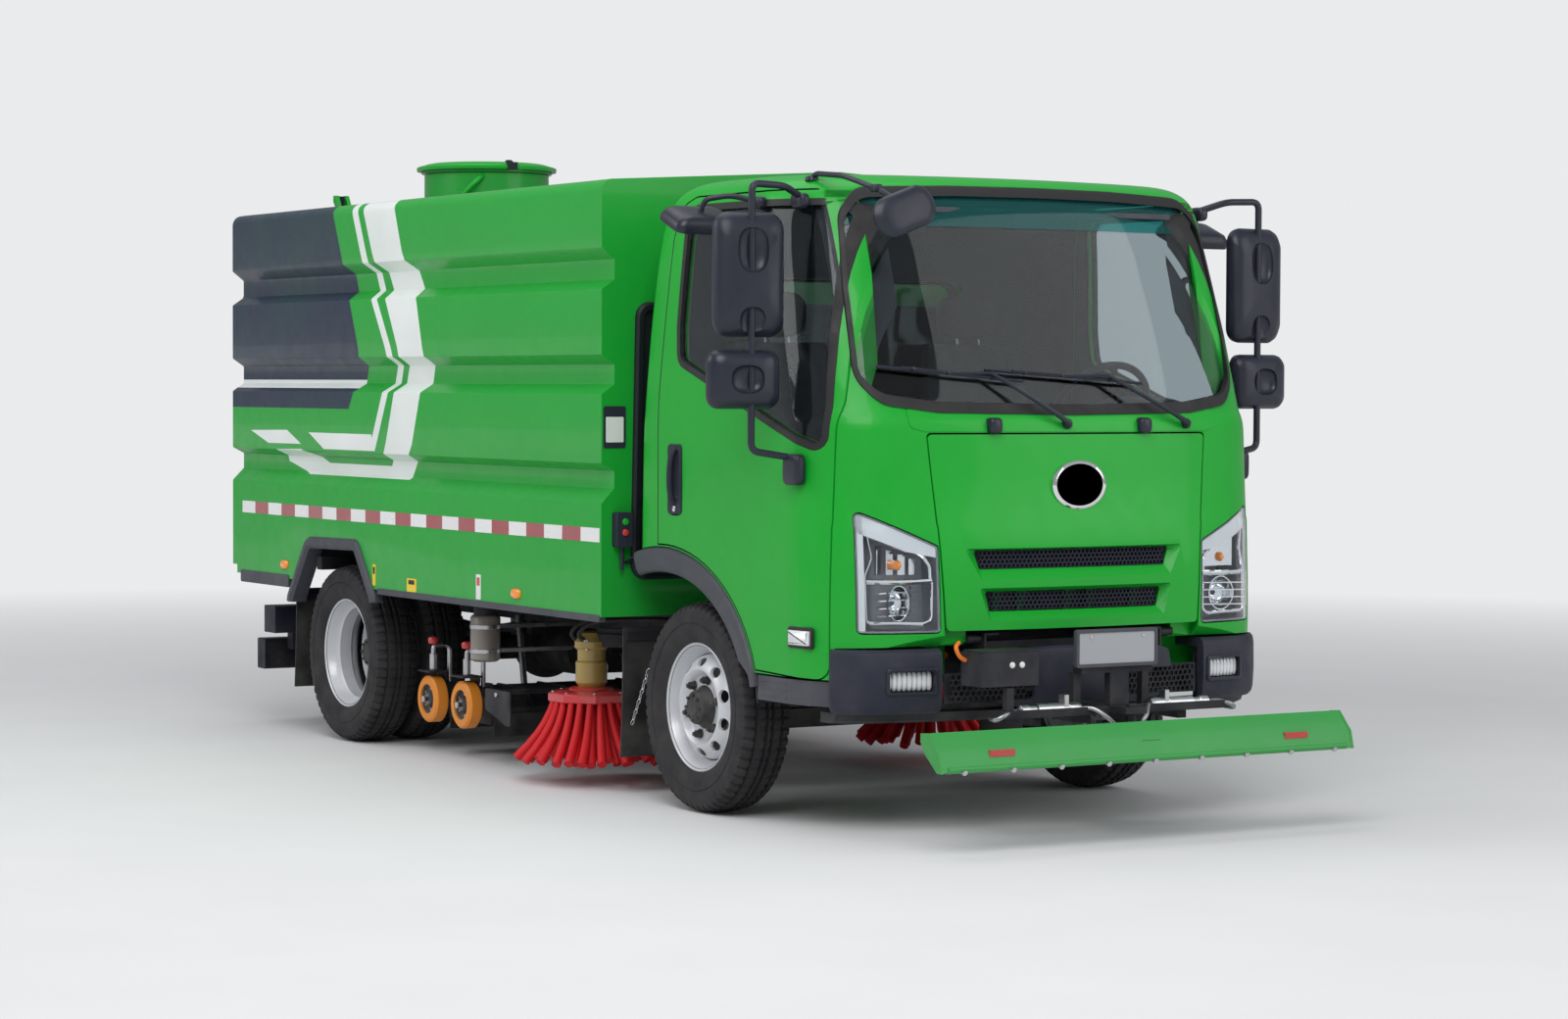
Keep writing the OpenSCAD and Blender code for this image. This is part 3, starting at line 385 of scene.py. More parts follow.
BOWL = Finish("lamp_bowl", (0.26, 0.27, 0.30), 0.36, metallic=0.55, grain=900, depth=0.00004, dust=0.0)
MIRROR = Brushed("mirror_glass", (0.85, 0.87, 0.88), 0.03, depth=0.0, variation=0.0, dust=0.0)
ORANGE = Finish("orange_tread", (0.80, 0.27, 0.025), 0.45, grain=500, depth=0.0003, dust=0.03)
YELLOW = Finish("ochre_paint", (0.50, 0.34, 0.07), 0.4, coat=0.4, grain=400, dust=0.35)
YELLOW_LABEL = Finish("yellow_label", (0.85, 0.62, 0.02), 0.4, dust=0.1)
PALE_GREY = Finish("pale_grey_enamel", (0.36, 0.37, 0.39), 0.45, grain=500, dust=0.15)
WHITE = Finish("white_enamel", (0.78, 0.79, 0.78), 0.35, coat=0.5, grain=500, dust=0.15)
BRISTLE = Finish("red_bristle", (0.66, 0.012, 0.018), 0.5, grain=1200, depth=0.0003, variation=0.3, dust=0.02,
                 specular=0.3)
RED_PAINT = Finish("red_plate", (0.62, 0.030, 0.035), 0.35, coat=0.5, grain=500, dust=0.2)
PALE_GREEN = Finish("pale_green_paint", (0.040, 0.320, 0.065), 0.4, coat=0.1, grain=400, dust=0.03, specular=0.3)
BEIGE = Finish("beige_enamel", (0.33, 0.30, 0.26), 0.35, coat=0.5, grain=500, dust=0.15)
SEAT_CLOTH = Woven("seat_cloth", (0.055, 0.057, 0.065))
TRIM = Finish("cab_trim", (0.055, 0.058, 0.070), 0.7, grain=900, depth=0.0003, dust=0.0)
TAPE = Tape("marker_tape", (0.80, 0.80, 0.80), 0.3, coat=0.6, grain=700, depth=0.0003, dust=0.1)
HAZARD_ORANGE = Finish("orange_sleeve", (0.85, 0.20, 0.01), 0.45, grain=700, dust=0.1)


# ---- shapes ---------------------------------------------------------------------------------


@dataclass(frozen=True)
class Axles:
    """Where the frame's axles stand, from its origin."""

    rear: float
    front: float

    @property
    def base(self) -> float:
        """The front axle from the rear axle."""
        return self.front - self.rear


AXLES = Axles(0.0, 2.97)


class Plane(Enum):
    """The plane that an outline is drawn in; it is carried along the axis left over."""

    XZ = (0, 2, 1)
    YZ = (1, 2, 0)
    XY = (0, 1, 2)


def bent(points: Iterable[Point], radius: float, steps: int = 5, closed: bool = True) -> Points:
    """Rounds an outline's corners with arcs.

    A corner's arc touches both of its sides; it shrinks where a side is too short for it.

    Args:
        points: the outline's corners.
        radius: the arcs' radius.
        steps: segments of an arc.
        closed: whether the last point joins the first.

    Returns:
        The rounded outline.
    """
    corners = np.array(list(points), float)
    count = len(corners)
    out = []
    for i, corner in enumerate(corners):
        if not closed and i in (0, count - 1):
            out.append(corner)
            continue
        a, b = corners[i - 1] - corner, corners[(i + 1) % count] - corner
        la, lb = np.linalg.norm(a), np.linalg.norm(b)
        ua, ub = a / la, b / lb
        half = math.acos(float(np.clip(ua @ ub, -1.0, 1.0))) / 2
        if half > math.pi / 2 - 0.02:
            out.append(corner)
            continue
        reach = min(radius / math.tan(half), 0.48 * la, 0.48 * lb)
        t = np.linspace(0.0, 1.0, steps + 1)[:, None]
        start, end = corner + ua * reach, corner + ub * reach
        weight = math.sin(half)
        curve = (start * (1 - t) ** 2 + 2 * weight * corner * t * (1 - t) + end * t ** 2)
        out.extend(curve / ((1 - t) ** 2 + 2 * weight * t * (1 - t) + t ** 2))
    return np.array(out)


def smooth(points: Iterable[Point], steps: int) -> Points:
    """Returns a Catmull-Rom curve through points, with steps segments between each two."""
    p = np.array(list(points), float)
    p = np.vstack([2 * p[0] - p[1], p, 2 * p[-1] - p[-2]])
    t = np.linspace(0.0, 1.0, steps, endpoint=False)[:, None]
    runs = [0.5 * (2 * p[i] + (p[i + 1] - p[i - 1]) * t + (2 * p[i - 1] - 5 * p[i] + 4 * p[i + 1] - p[i + 2]) * t ** 2
                   + (3 * p[i] - p[i - 1] - 3 * p[i + 1] + p[i + 2]) * t ** 3) for i in range(1, len(p) - 2)]
    return np.vstack(runs + [p[-2:-1]])


def grid_faces(rows: int, columns: int, wrap_rows: bool, wrap_columns: bool) -> Faces:
    """Returns the quads of a grid of points, row after row, wrapped where asked."""
    i, j = np.meshgrid(np.arange(rows - (not wrap_rows)), np.arange(columns - (not wrap_columns)), indexing="ij")
    i, j = i.ravel(), j.ravel()
    k, m = (i + 1) % rows, (j + 1) % columns
    return np.stack([i * columns + j, i * columns + m, k * columns + m, k * columns + j], 1).tolist()


class Form:
    """Gathers the surfaces of one piece, in metres from the rear axle."""

    def __init__(self) -> None:
        """Starts an empty piece."""
        self.points: list[Points] = []
        self.faces: Faces = []
        self.marks: list[int] = []
        self.count = 0
        self.mark = 0

    def add(self, points: Points, faces: Faces) -> "Form":
        """Adds a surface in the present finish.

        Args:
            points: n rows of x, y and z.
            faces: lists of point numbers, anticlockwise from outside.

        Returns:
            The form itself.
        """
        points = np.asarray(points, float).reshape(-1, 3)
        self.faces.extend([[n + self.count for n in face] for face in faces])
        self.marks.extend([self.mark] * len(faces))
        self.points.append(points)
        self.count += len(points)
        return self

    def finish(self, mark: int) -> "Form":
        """Chooses which of the piece's finishes the next surfaces take."""
        self.mark = mark
        return self

    def join(self, other: "Form") -> "Form":
        """Adds all of another form, with its own finish numbers."""
        points = other.array()
        self.faces.extend([[n + self.count for n in face] for face in other.faces])
        self.marks.extend(other.marks)
        self.points.append(points)
        self.count += len(points)
        return self

    def array(self) -> Points:
        """Returns all points as one array."""
        return np.vstack(self.points) if self.points else np.zeros((0, 3))

    def moved(self, change: Callable[[Points], Points], flip: bool = False) -> "Form":
        """Returns a copy with its points changed by a function of their array.

        Args:
            change: gives new points from old ones.
            flip: whether the change mirrors the form.

        Returns:
            The changed copy.
        """
        out = Form()
        out.points = [change(self.array())]
        out.faces = [face[::-1] for face in self.faces] if flip else [list(face) for face in self.faces]
        out.marks = list(self.marks)
        out.count = self.count
        return out

    def mirrored(self) -> "Form":
        """Returns the mirror image across the truck's middle."""
        return self.moved(lambda p: p * (1, -1, 1), flip=True)

    def shifted(self, offset: Point) -> "Form":
        """Returns a copy moved by an offset."""
        return self.moved(lambda p: p + np.array(offset, float))

    def turned(self, axis: str, degrees: float, centre: Point = (0, 0, 0)) -> "Form":
        """Returns a copy turned about an axis through a centre."""
        matrix = np.array(Matrix.Rotation(math.radians(degrees), 3, axis))
        middle = np.array(centre, float)
        return self.moved(lambda p: (p - middle) @ matrix.T + middle)

    def flipped(self) -> "Form":
        """Returns a copy with its faces turned inside out."""
        return self.moved(lambda p: p, flip=True)

    def sided(self, side: int) -> "Form":
        """Returns the form itself for the left, 1, or its mirror image for the right, -1."""
        return self if side > 0 else self.mirrored()

    def pair(self) -> "Form":
        """Adds the mirror image to the form itself."""
        return self.join(self.mirrored())

    def marked(self, mark: int) -> "Form":
        """Gives every face one finish number and returns the form."""
        self.marks = [mark] * len(self.faces)
        return self

    def block(self, low: Point, high: Point) -> "Form":
        """Adds a box by its two corners."""
        low, high = np.minimum(low, high), np.maximum(low, high)
        bits = np.array([[i, j, k] for k in (0, 1) for j in (0, 1) for i in (0, 1)])
        points = np.array(low) + bits * (np.array(high) - np.array(low))
        return self.add(points, [[0, 2, 3, 1], [4, 5, 7, 6], [0, 1, 5, 4], [2, 6, 7, 3], [0, 4, 6, 2], [1, 3, 7, 5]])

    def prism(self, outline: Points, low: float, high: float, plane: Plane = Plane.XZ) -> "Form":
        """Adds an outline carried along the axis left over, with flat ends.

        Args:
            outline: n rows in the plane.
            low: where it starts.
            high: where it ends.
            plane: the outline's plane.

        Returns:
            The form itself.
        """
        outline = np.asarray(outline, float)
        u, v, w = plane.value
        count = len(outline)
        points = np.zeros((2 * count, 3))
        points[:, u] = np.tile(outline[:, 0], 2)
        points[:, v] = np.tile(outline[:, 1], 2)
        points[:count, w], points[count:, w] = low, high
        area = np.sum(outline[:, 0] * np.roll(outline[:, 1], -1) - np.roll(outline[:, 0], -1) * outline[:, 1])
        right_handed = (u, v, w) != (0, 2, 1)
        faces = [[i, (i + 1) % count, count + (i + 1) % count, count + i] for i in range(count)]
        faces += [list(range(count))[::-1], list(range(count, 2 * count))]
        if (area > 0) != right_handed:
            faces = [face[::-1] for face in faces]
        return self.add(points, faces)

    def spun(self, profile: Iterable[Point], centre: Point, axis: str = "Y", steps: int = 64,
             loop: bool = False, wave: Callable[[Points, Points], Points] | None = None) -> "Form":
        """Adds a profile turned about an axis.

        The profile's points are (distance along the axis, radius). The ends are closed with
        flat discs, or the last point joins the first in a loop round a hollow.

        Args:
            profile: the section, from low to high along the axis.
            centre: where the axis passes.
            axis: X, Y or Z.
            steps: segments round the axis.
            loop: whether the profile is a closed section that doesn't reach the axis.
            wave: gives an extra radius from angle and row number.

        Returns:
            The form itself.
        """
        section = np.asarray(list(profile), float)
        angles = np.linspace(0.0, 2 * math.pi, steps, endpoint=False)
        radius = np.repeat(section[:, 1:2], steps, 1)
        if wave is not None:
            radius = radius + wave(angles[None, :], np.arange(len(section))[:, None])
        along = np.repeat(section[:, 0:1], steps, 1)
        ring = (along, radius * np.cos(angles), radius * np.sin(angles))
        order = {"X": (0, 1, 2), "Y": (2, 0, 1), "Z": (1, 2, 0)}[axis]
        points = np.stack([ring[order[i]] for i in range(3)], 2).reshape(-1, 3)
        rows = len(section)
        faces = grid_faces(rows, steps, loop, True)
        if not loop:
            faces.append(list(range(steps))[::-1])
            faces.append(list(range((rows - 1) * steps, rows * steps)))
        return self.add(points + np.array(centre, float), faces)

    def tube(self, path: Iterable[Point], radius: float | Points, sides: int = 12) -> "Form":
        """Adds a round bar along a path.

        Each section stands square to the path, and turns as little as it can from the last.

        Args:
            path: points along the middle.
            radius: one radius, or one for each point.
            sides: points round a section.

        Returns:
            The form itself.
        """
        line = np.asarray(path, float)
        way = np.gradient(line, axis=0)
        way /= np.linalg.norm(way, axis=1)[:, None]
        side = np.cross(way[0], (0.0, 0.0, 1.0) if abs(way[0][2]) < 0.9 else (1.0, 0.0, 0.0))
        frames = []
        for direction in way:
            side = side - direction * (side @ direction)
            side = side / np.linalg.norm(side)
            frames.append((side, np.cross(direction, side)))
        a, b = (np.array([f[i] for f in frames])[:, None, :] for i in (0, 1))
        turn = np.linspace(0.0, 2 * math.pi, sides, endpoint=False)[None, :, None]
        size = np.broadcast_to(np.asarray(radius, float), (len(line),))[:, None, None]
        points = line[:, None, :] + size * (np.cos(turn) * a + np.sin(turn) * b)
        faces = grid_faces(len(line), sides, False, True)
        faces.append(list(range(sides))[::-1])
        faces.append(list(range((len(line) - 1) * sides, len(line) * sides)))
        return self.add(points.reshape(-1, 3), faces)

    def pin(self, start: Point, end: Point, radius: float, sides: int = 20, edge: float = 0.0) -> "Form":
        """Adds a straight round bar, with chamfered ends where edge is given."""
        a, b = np.array(start, float), np.array(end, float)
        length = np.linalg.norm(b - a)
        if edge <= 0.0:
            return self.tube([a, b], radius, sides)
        t = np.array([0.0, edge / length, 1 - edge / length, 1.0])
        return self.tube(a + (b - a) * t[:, None], np.array([radius - edge, radius, radius, radius - edge]), sides)

    def loft(self, rings: Sequence[Points]) -> "Form":
        """Adds a closed skin over rings of equal length, with flat ends.

        Args:
            rings: arrays of points, each anticlockwise seen from the last ring.

        Returns:
            The form itself.
        """
        stack = np.array(rings, float)
        rows, columns = stack.shape[:2]
        faces = grid_faces(rows, columns, False, True)
        faces.append(list(range(columns))[::-1])
        faces.append(list(range((rows - 1) * columns, rows * columns)))
        return self.add(stack.reshape(-1, 3), faces)

    def ball(self, centre: Point, radii: Point, power: float = 1.0, rows: int = 14, columns: int = 24) -> "Form":
        """Adds a rounded lump: an ellipsoid, squarer as power falls below 1.

        Args:
            centre: its middle.
            radii: half its size along x, y and z.
            power: exponent of the sines and cosines.
            rows: bands from pole to pole.
            columns: segments round it.

        Returns:
            The form itself.
        """
        def curve(value: Points) -> Points:
            """Returns a signed power."""
            return np.sign(value) * np.abs(value) ** power
        tall = np.linspace(-math.pi / 2, math.pi / 2, rows + 1)[:, None]
        tall = tall * (1 - 1e-3)
        wide = np.linspace(0.0, 2 * math.pi, columns, endpoint=False)[None, :]
        points = np.stack([curve(np.cos(tall)) * curve(np.cos(wide)), curve(np.cos(tall)) * curve(np.sin(wide)),
                           curve(np.sin(tall)) * np.ones_like(wide)], 2)
        return self.loft(points * np.array(radii, float) + np.array(centre, float))

    def build(self, name: str, finishes: Sequence[Finish], body: str, slot: str, replaces: Sequence[str] = (),
              bevel: float = 0.0, angle: float = 32.0) -> bpy.types.Object:
        """Makes the piece and rides it on its body.

        Args:
            name: the piece's name.
            finishes: its finishes, by number.
            body: the body it moves with.
            slot: the record's material slot; not used.
            replaces: CAD nodes that it stands for.
            bevel: width of a rounded edge.
            angle: edges sharper than this stay sharp, in degrees.

        Returns:
            The piece.
        """
        obj = self.plain(name)
        for finish in finishes:
            obj.data.materials.append(finish.material())
        obj.data.polygons.foreach_set("material_index", np.array(self.marks, dtype=np.int32))
        return settle(obj, body, replaces, bevel, angle)

    def plain(self, name: str) -> bpy.types.Object:
        """Returns the form as an object in the frame's axes, with nothing else done to it."""
        mesh = bpy.data.meshes.new(name)
        mesh.from_pydata((self.array() + (AXLES.rear, 0.0, 0.0)).tolist(), [], self.faces)
        mesh.update()
        obj = bpy.data.objects.new(name, mesh)
        bpy.context.scene.collection.objects.link(obj)
        return obj


def settle(obj: bpy.types.Object, body: str, replaces: Sequence[str] = (), bevel: float = 0.0,
           angle: float = 32.0) -> bpy.types.Object:
    """Smooths a piece, rides it on a body and hides the CAD nodes that it stands for."""
    mesh = obj.data
    mesh.polygons.foreach_set("use_smooth", np.ones(len(mesh.polygons), dtype=bool))
    mesh.set_sharp_from_angle(angle=math.radians(angle))
    if bevel > 0.0:
        rounder = obj.modifiers.new("round_edges", "BEVEL")
        rounder.width = bevel
        rounder.segments = 2
        rounder.limit_method = "ANGLE"
        rounder.angle_limit = math.radians(angle)
        rounder.harden_normals = True
    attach(obj, body)
    if replaces:
        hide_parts(*replaces)
    LOG.info("%s: %d points on %s", obj.name, len(mesh.vertices), body)
    return obj


class Cut(Enum):
    """How one solid works on another."""

    LESS = "DIFFERENCE"
    PLUS = "UNION"
    COMMON = "INTERSECT"


def carve(solid: Form, steps: Sequence[tuple[Cut, Form]], name: str) -> Form:
    """Cuts closed solids with each other and returns the result as a form.

    Args:
        solid: the solid to start from.
        steps: how and with what it is worked, in order.
        name: a working name.

    Returns:
        The worked solid, in the finish numbers of its parts.
    """
    obj = solid.plain(name)
    marks = max([max(f.marks, default=0) for _, f in steps] + [max(solid.marks, default=0)])
    for _ in range(marks + 1):
        obj.data.materials.append(None)
    obj.data.polygons.foreach_set("material_index", np.array(solid.marks, dtype=np.int32))
    for kind, tool in steps:
        cutter = tool.plain(name + "_cutter")
        for _ in range(marks + 1):
            cutter.data.materials.append(None)
        cutter.data.polygons.foreach_set("material_index", np.array(tool.marks, dtype=np.int32))
        worker = obj.modifiers.new("cut", "BOOLEAN")
        worker.operation = kind.value
        worker.solver = "MANIFOLD"
        worker.object = cutter
        worker.material_mode = "INDEX"
        done = bpy.data.meshes.new_from_object(obj.evaluated_get(bpy.context.evaluated_depsgraph_get()))
        obj.modifiers.clear()
        obj.data = done
        bpy.data.objects.remove(cutter)
    out = Form()
    mesh = obj.data
    points = np.zeros(len(mesh.vertices) * 3)
    mesh.vertices.foreach_get("co", points)
    out.points = [points.reshape(-1, 3) - (AXLES.rear, 0.0, 0.0)]
    out.faces = [list(p.vertices) for p in mesh.polygons]
    out.marks = [p.material_index for p in mesh.polygons]
    out.count = len(mesh.vertices)
    bpy.data.objects.remove(obj)
    if not out.faces:
        raise ValueError(f"{name}: nothing is left after cutting")
    return out


def offset(outline: Points, distance: float) -> Points:
    """Returns a closed outline moved outwards by distance, whichever way it runs."""
    p = np.asarray(outline, float)
    area = np.sum(p[:, 0] * np.roll(p[:, 1], -1) - np.roll(p[:, 0], -1) * p[:, 1])
    if area < 0:
        return offset(p[::-1], distance)[::-1]
    ahead = np.roll(p, -1, 0) - p
    ahead /= np.linalg.norm(ahead, axis=1)[:, None]
    out = np.stack([ahead[:, 1], -ahead[:, 0]], 1)
    before = np.roll(out, 1, 0)
    return p + (out + before) * distance / np.maximum(1 + np.sum(out * before, 1), 0.25)[:, None]


def box_outline(u0: float, v0: float, u1: float, v1: float, radius: float = 0.0, steps: int = 4) -> Points:
    """Returns a rectangle, anticlockwise, with rounded corners where radius is given."""
    corners = [(u0, v0), (u1, v0), (u1, v1), (u0, v1)]
    return bent(corners, radius, steps) if radius > 0 else np.array(corners)


def slab(corners: Point, low: float, high: float, radius: float = 0.0, steps: int = 4) -> Form:
    """Returns a rectangle in y and z, with rounded corners, carried along x from low to high."""
    return Form().prism(box_outline(*corners, radius, steps), low, high, Plane.YZ)


def round_axle(profile: Iterable[Point], centre: Point, side: int, steps: int, loop: bool = False) -> Form:
    """Returns a profile turned about an axle, with its outside to the left, 1, or the right, -1."""
    form = Form().spun([(side * a, b) for a, b in profile], centre, "Y", steps, loop=loop)
    return form.flipped() if (side > 0) == loop else form


def circle(count: int, radius: float, start: float = 0.0, centre: Point = (0.0, 0.0)) -> list[tuple[float, float]]:
    """Returns count places round a circle, the first at start turns of a step."""
    angles = [2 * math.pi * (k + start) / count for k in range(count)]
    return [(centre[0] + radius * math.cos(a), centre[1] + radius * math.sin(a)) for a in angles]


def divided(outline: Points, parts: int = 24, reach: float = 0.2) -> Points:
    """Returns a closed outline with each side longer than reach cut into parts."""
    out = []
    for start, end in zip(outline, np.roll(outline, -1, axis=0)):
        count = parts if np.linalg.norm(end - start) > reach else 1
        out.extend(start + (end - start) * k / count for k in range(count))
    return np.array(out)


def ellipse(centre: Point, radii: Point, start: float, end: float, steps: int) -> Points:
    """Returns an arc of an ellipse from start to end degrees, both ends included."""
    a = np.radians(np.linspace(start, end, steps + 1))
    return np.stack([centre[0] + radii[0] * np.cos(a), centre[1] + radii[1] * np.sin(a)], 1)


def honeycomb(cell: float, bar: float, width: float, height: float) -> Iterable[tuple[Points, Points]]:
    """Yields the outer and inner outlines of hexagonal cells over a rectangle about zero.

    Rows stand 1.5 sides apart and every second row is shifted by half a cell.

    Args:
        cell: a cell's width across its flats.
        bar: width of the bars between cells.
        width: the field's width.
        height: the field's height.

    Yields:
        Two outlines of six points each.
    """
    side = cell / math.sqrt(3)
    corners = np.radians(np.arange(6) * 60 + 30)
    unit = np.stack([np.cos(corners), np.sin(corners)], 1)
    rows = int(height / (1.5 * side)) + 1
    for row in range(rows):
        v = (row - (rows - 1) / 2) * 1.5 * side
        shift = (row % 2) * cell / 2
        for column in range(int(width / cell) + 1):
            u = -width / 2 + column * cell + shift
            if abs(u) + cell / 2 <= width / 2:
                centre = np.array([u, v])
                yield centre + unit * side, centre + unit * (side - bar / 2)


# ---- cab ------------------------------------------------------------------------------------


@dataclass
class Skin:
    """The cab's outer surface: level rings whose reach to front, back and side changes with height."""

    bow: float = 0.128
    corner: float = 0.207
    corner_power: float = 14.0
    back_radius: float = 0.05
    rows: tuple = (
        (0.545, 4.062, 2.580, 0.950), (0.700, 4.068, 2.580, 0.950), (0.850, 4.066, 2.580, 0.950),
        (1.068, 4.056, 2.584, 0.950), (1.080, 4.051, 2.584, 0.950), (1.250, 4.040, 2.588, 0.950),
        (1.395, 4.032, 2.595, 0.950), (1.440, 4.020, 2.600, 0.949), (1.480, 4.000, 2.603, 0.948),
        (1.600, 3.966, 2.612, 0.944), (1.800, 3.911, 2.630, 0.935), (2.000, 3.852, 2.655, 0.923),
        (2.100, 3.821, 2.675, 0.915), (2.170, 3.797, 2.700, 0.906), (2.215, 3.775, 2.730, 0.895),
        (2.245, 3.751, 2.765, 0.880), (2.268, 3.717, 2.810, 0.857), (2.284, 3.670, 2.870, 0.822),
        (2.293, 3.595, 2.950, 0.760), (2.298, 3.500, 3.050, 0.660), (2.300, 3.380, 3.150, 0.500))

    def levels(self) -> Points:
        """Returns the rows with smooth ones added between them; the crease stays crisp."""
        rows = np.array(self.rows)
        return np.vstack([rows[:5], smooth(rows[5:], 3)])

    def outline(self, front: float, back: float, half: float) -> Points:
        """Returns one level outline, anticlockwise from the front's middle.

        The front bows back with the square of the distance from the middle, and turns the
        corner with a high power of it.
        """
        t = np.sin(np.linspace(0.0, math.pi / 2, 30))
        nose = np.stack([front - self.bow * t ** 2 - self.corner * t ** self.corner_power, half * t], 1)
        r = self.back_radius
        side = np.stack([np.linspace(nose[-1, 0], back + r, 14)[1:], np.full(13, half)], 1)
        turn = np.radians(np.linspace(90.0, 180.0, 6))[1:]
        corner = np.stack([back + r + r * np.cos(turn), half - r + r * np.sin(turn)], 1)
        rear = np.stack([np.full(4, back), np.linspace(half - r, 0.0, 5)[1:]], 1)
        left = np.vstack([nose, side, corner, rear])
        right = left[1:-1][::-1] * (1, -1)
        return np.vstack([left, right])

    def solid(self, depth: float = 0.0) -> Form:
        """Returns the closed solid inside the surface, drawn in by depth."""
        rings = []
        top = max(row[0] for row in self.rows)
        for height, front, back, half in self.levels():
            flat = self.outline(front - depth, back + depth, half - depth)
            level = min(height, top - depth * max(0.0, min(1.0, (height - 2.17) / 0.1)))
            rings.append(np.column_stack([flat, np.full(len(flat), level)]))
        rings = [rings[0]] + [b for a, b in zip(rings, rings[1:]) if b[0, 2] > a[0, 2] + SLIGHT]
        if depth > 0:
            rings[0][:, 2] += depth
            rings = [rings[0]] + [r for r in rings[1:] if r[0, 2] > rings[0][0, 2] + SLIGHT]
        return Form().loft(rings)

    def front(self, y: Points | float, z: Points | float) -> Points:
        """Returns x of the front surface at y and z."""
        rows = np.array(self.rows)
        reach = np.interp(z, rows[:, 0], rows[:, 1])
        t = np.minimum(np.abs(y) / np.interp(z, rows[:, 0], rows[:, 3]), 1.0)
        return reach - self.bow * t ** 2 - self.corner * t ** self.corner_power

    def side(self, z: Points | float) -> Points:
        """Returns y of the left side at height z."""
        rows = np.array(self.rows)
        return np.interp(z, rows[:, 0], rows[:, 3])

    def on_front(self, path: Iterable[Point], out: float = 0.0) -> Points:
        """Returns points (y, z) carried onto the front surface, out metres before it."""
        flat = np.asarray(list(path), float)
        return np.column_stack([self.front(flat[:, 0], flat[:, 1]) + out, flat[:, 0], flat[:, 1]])


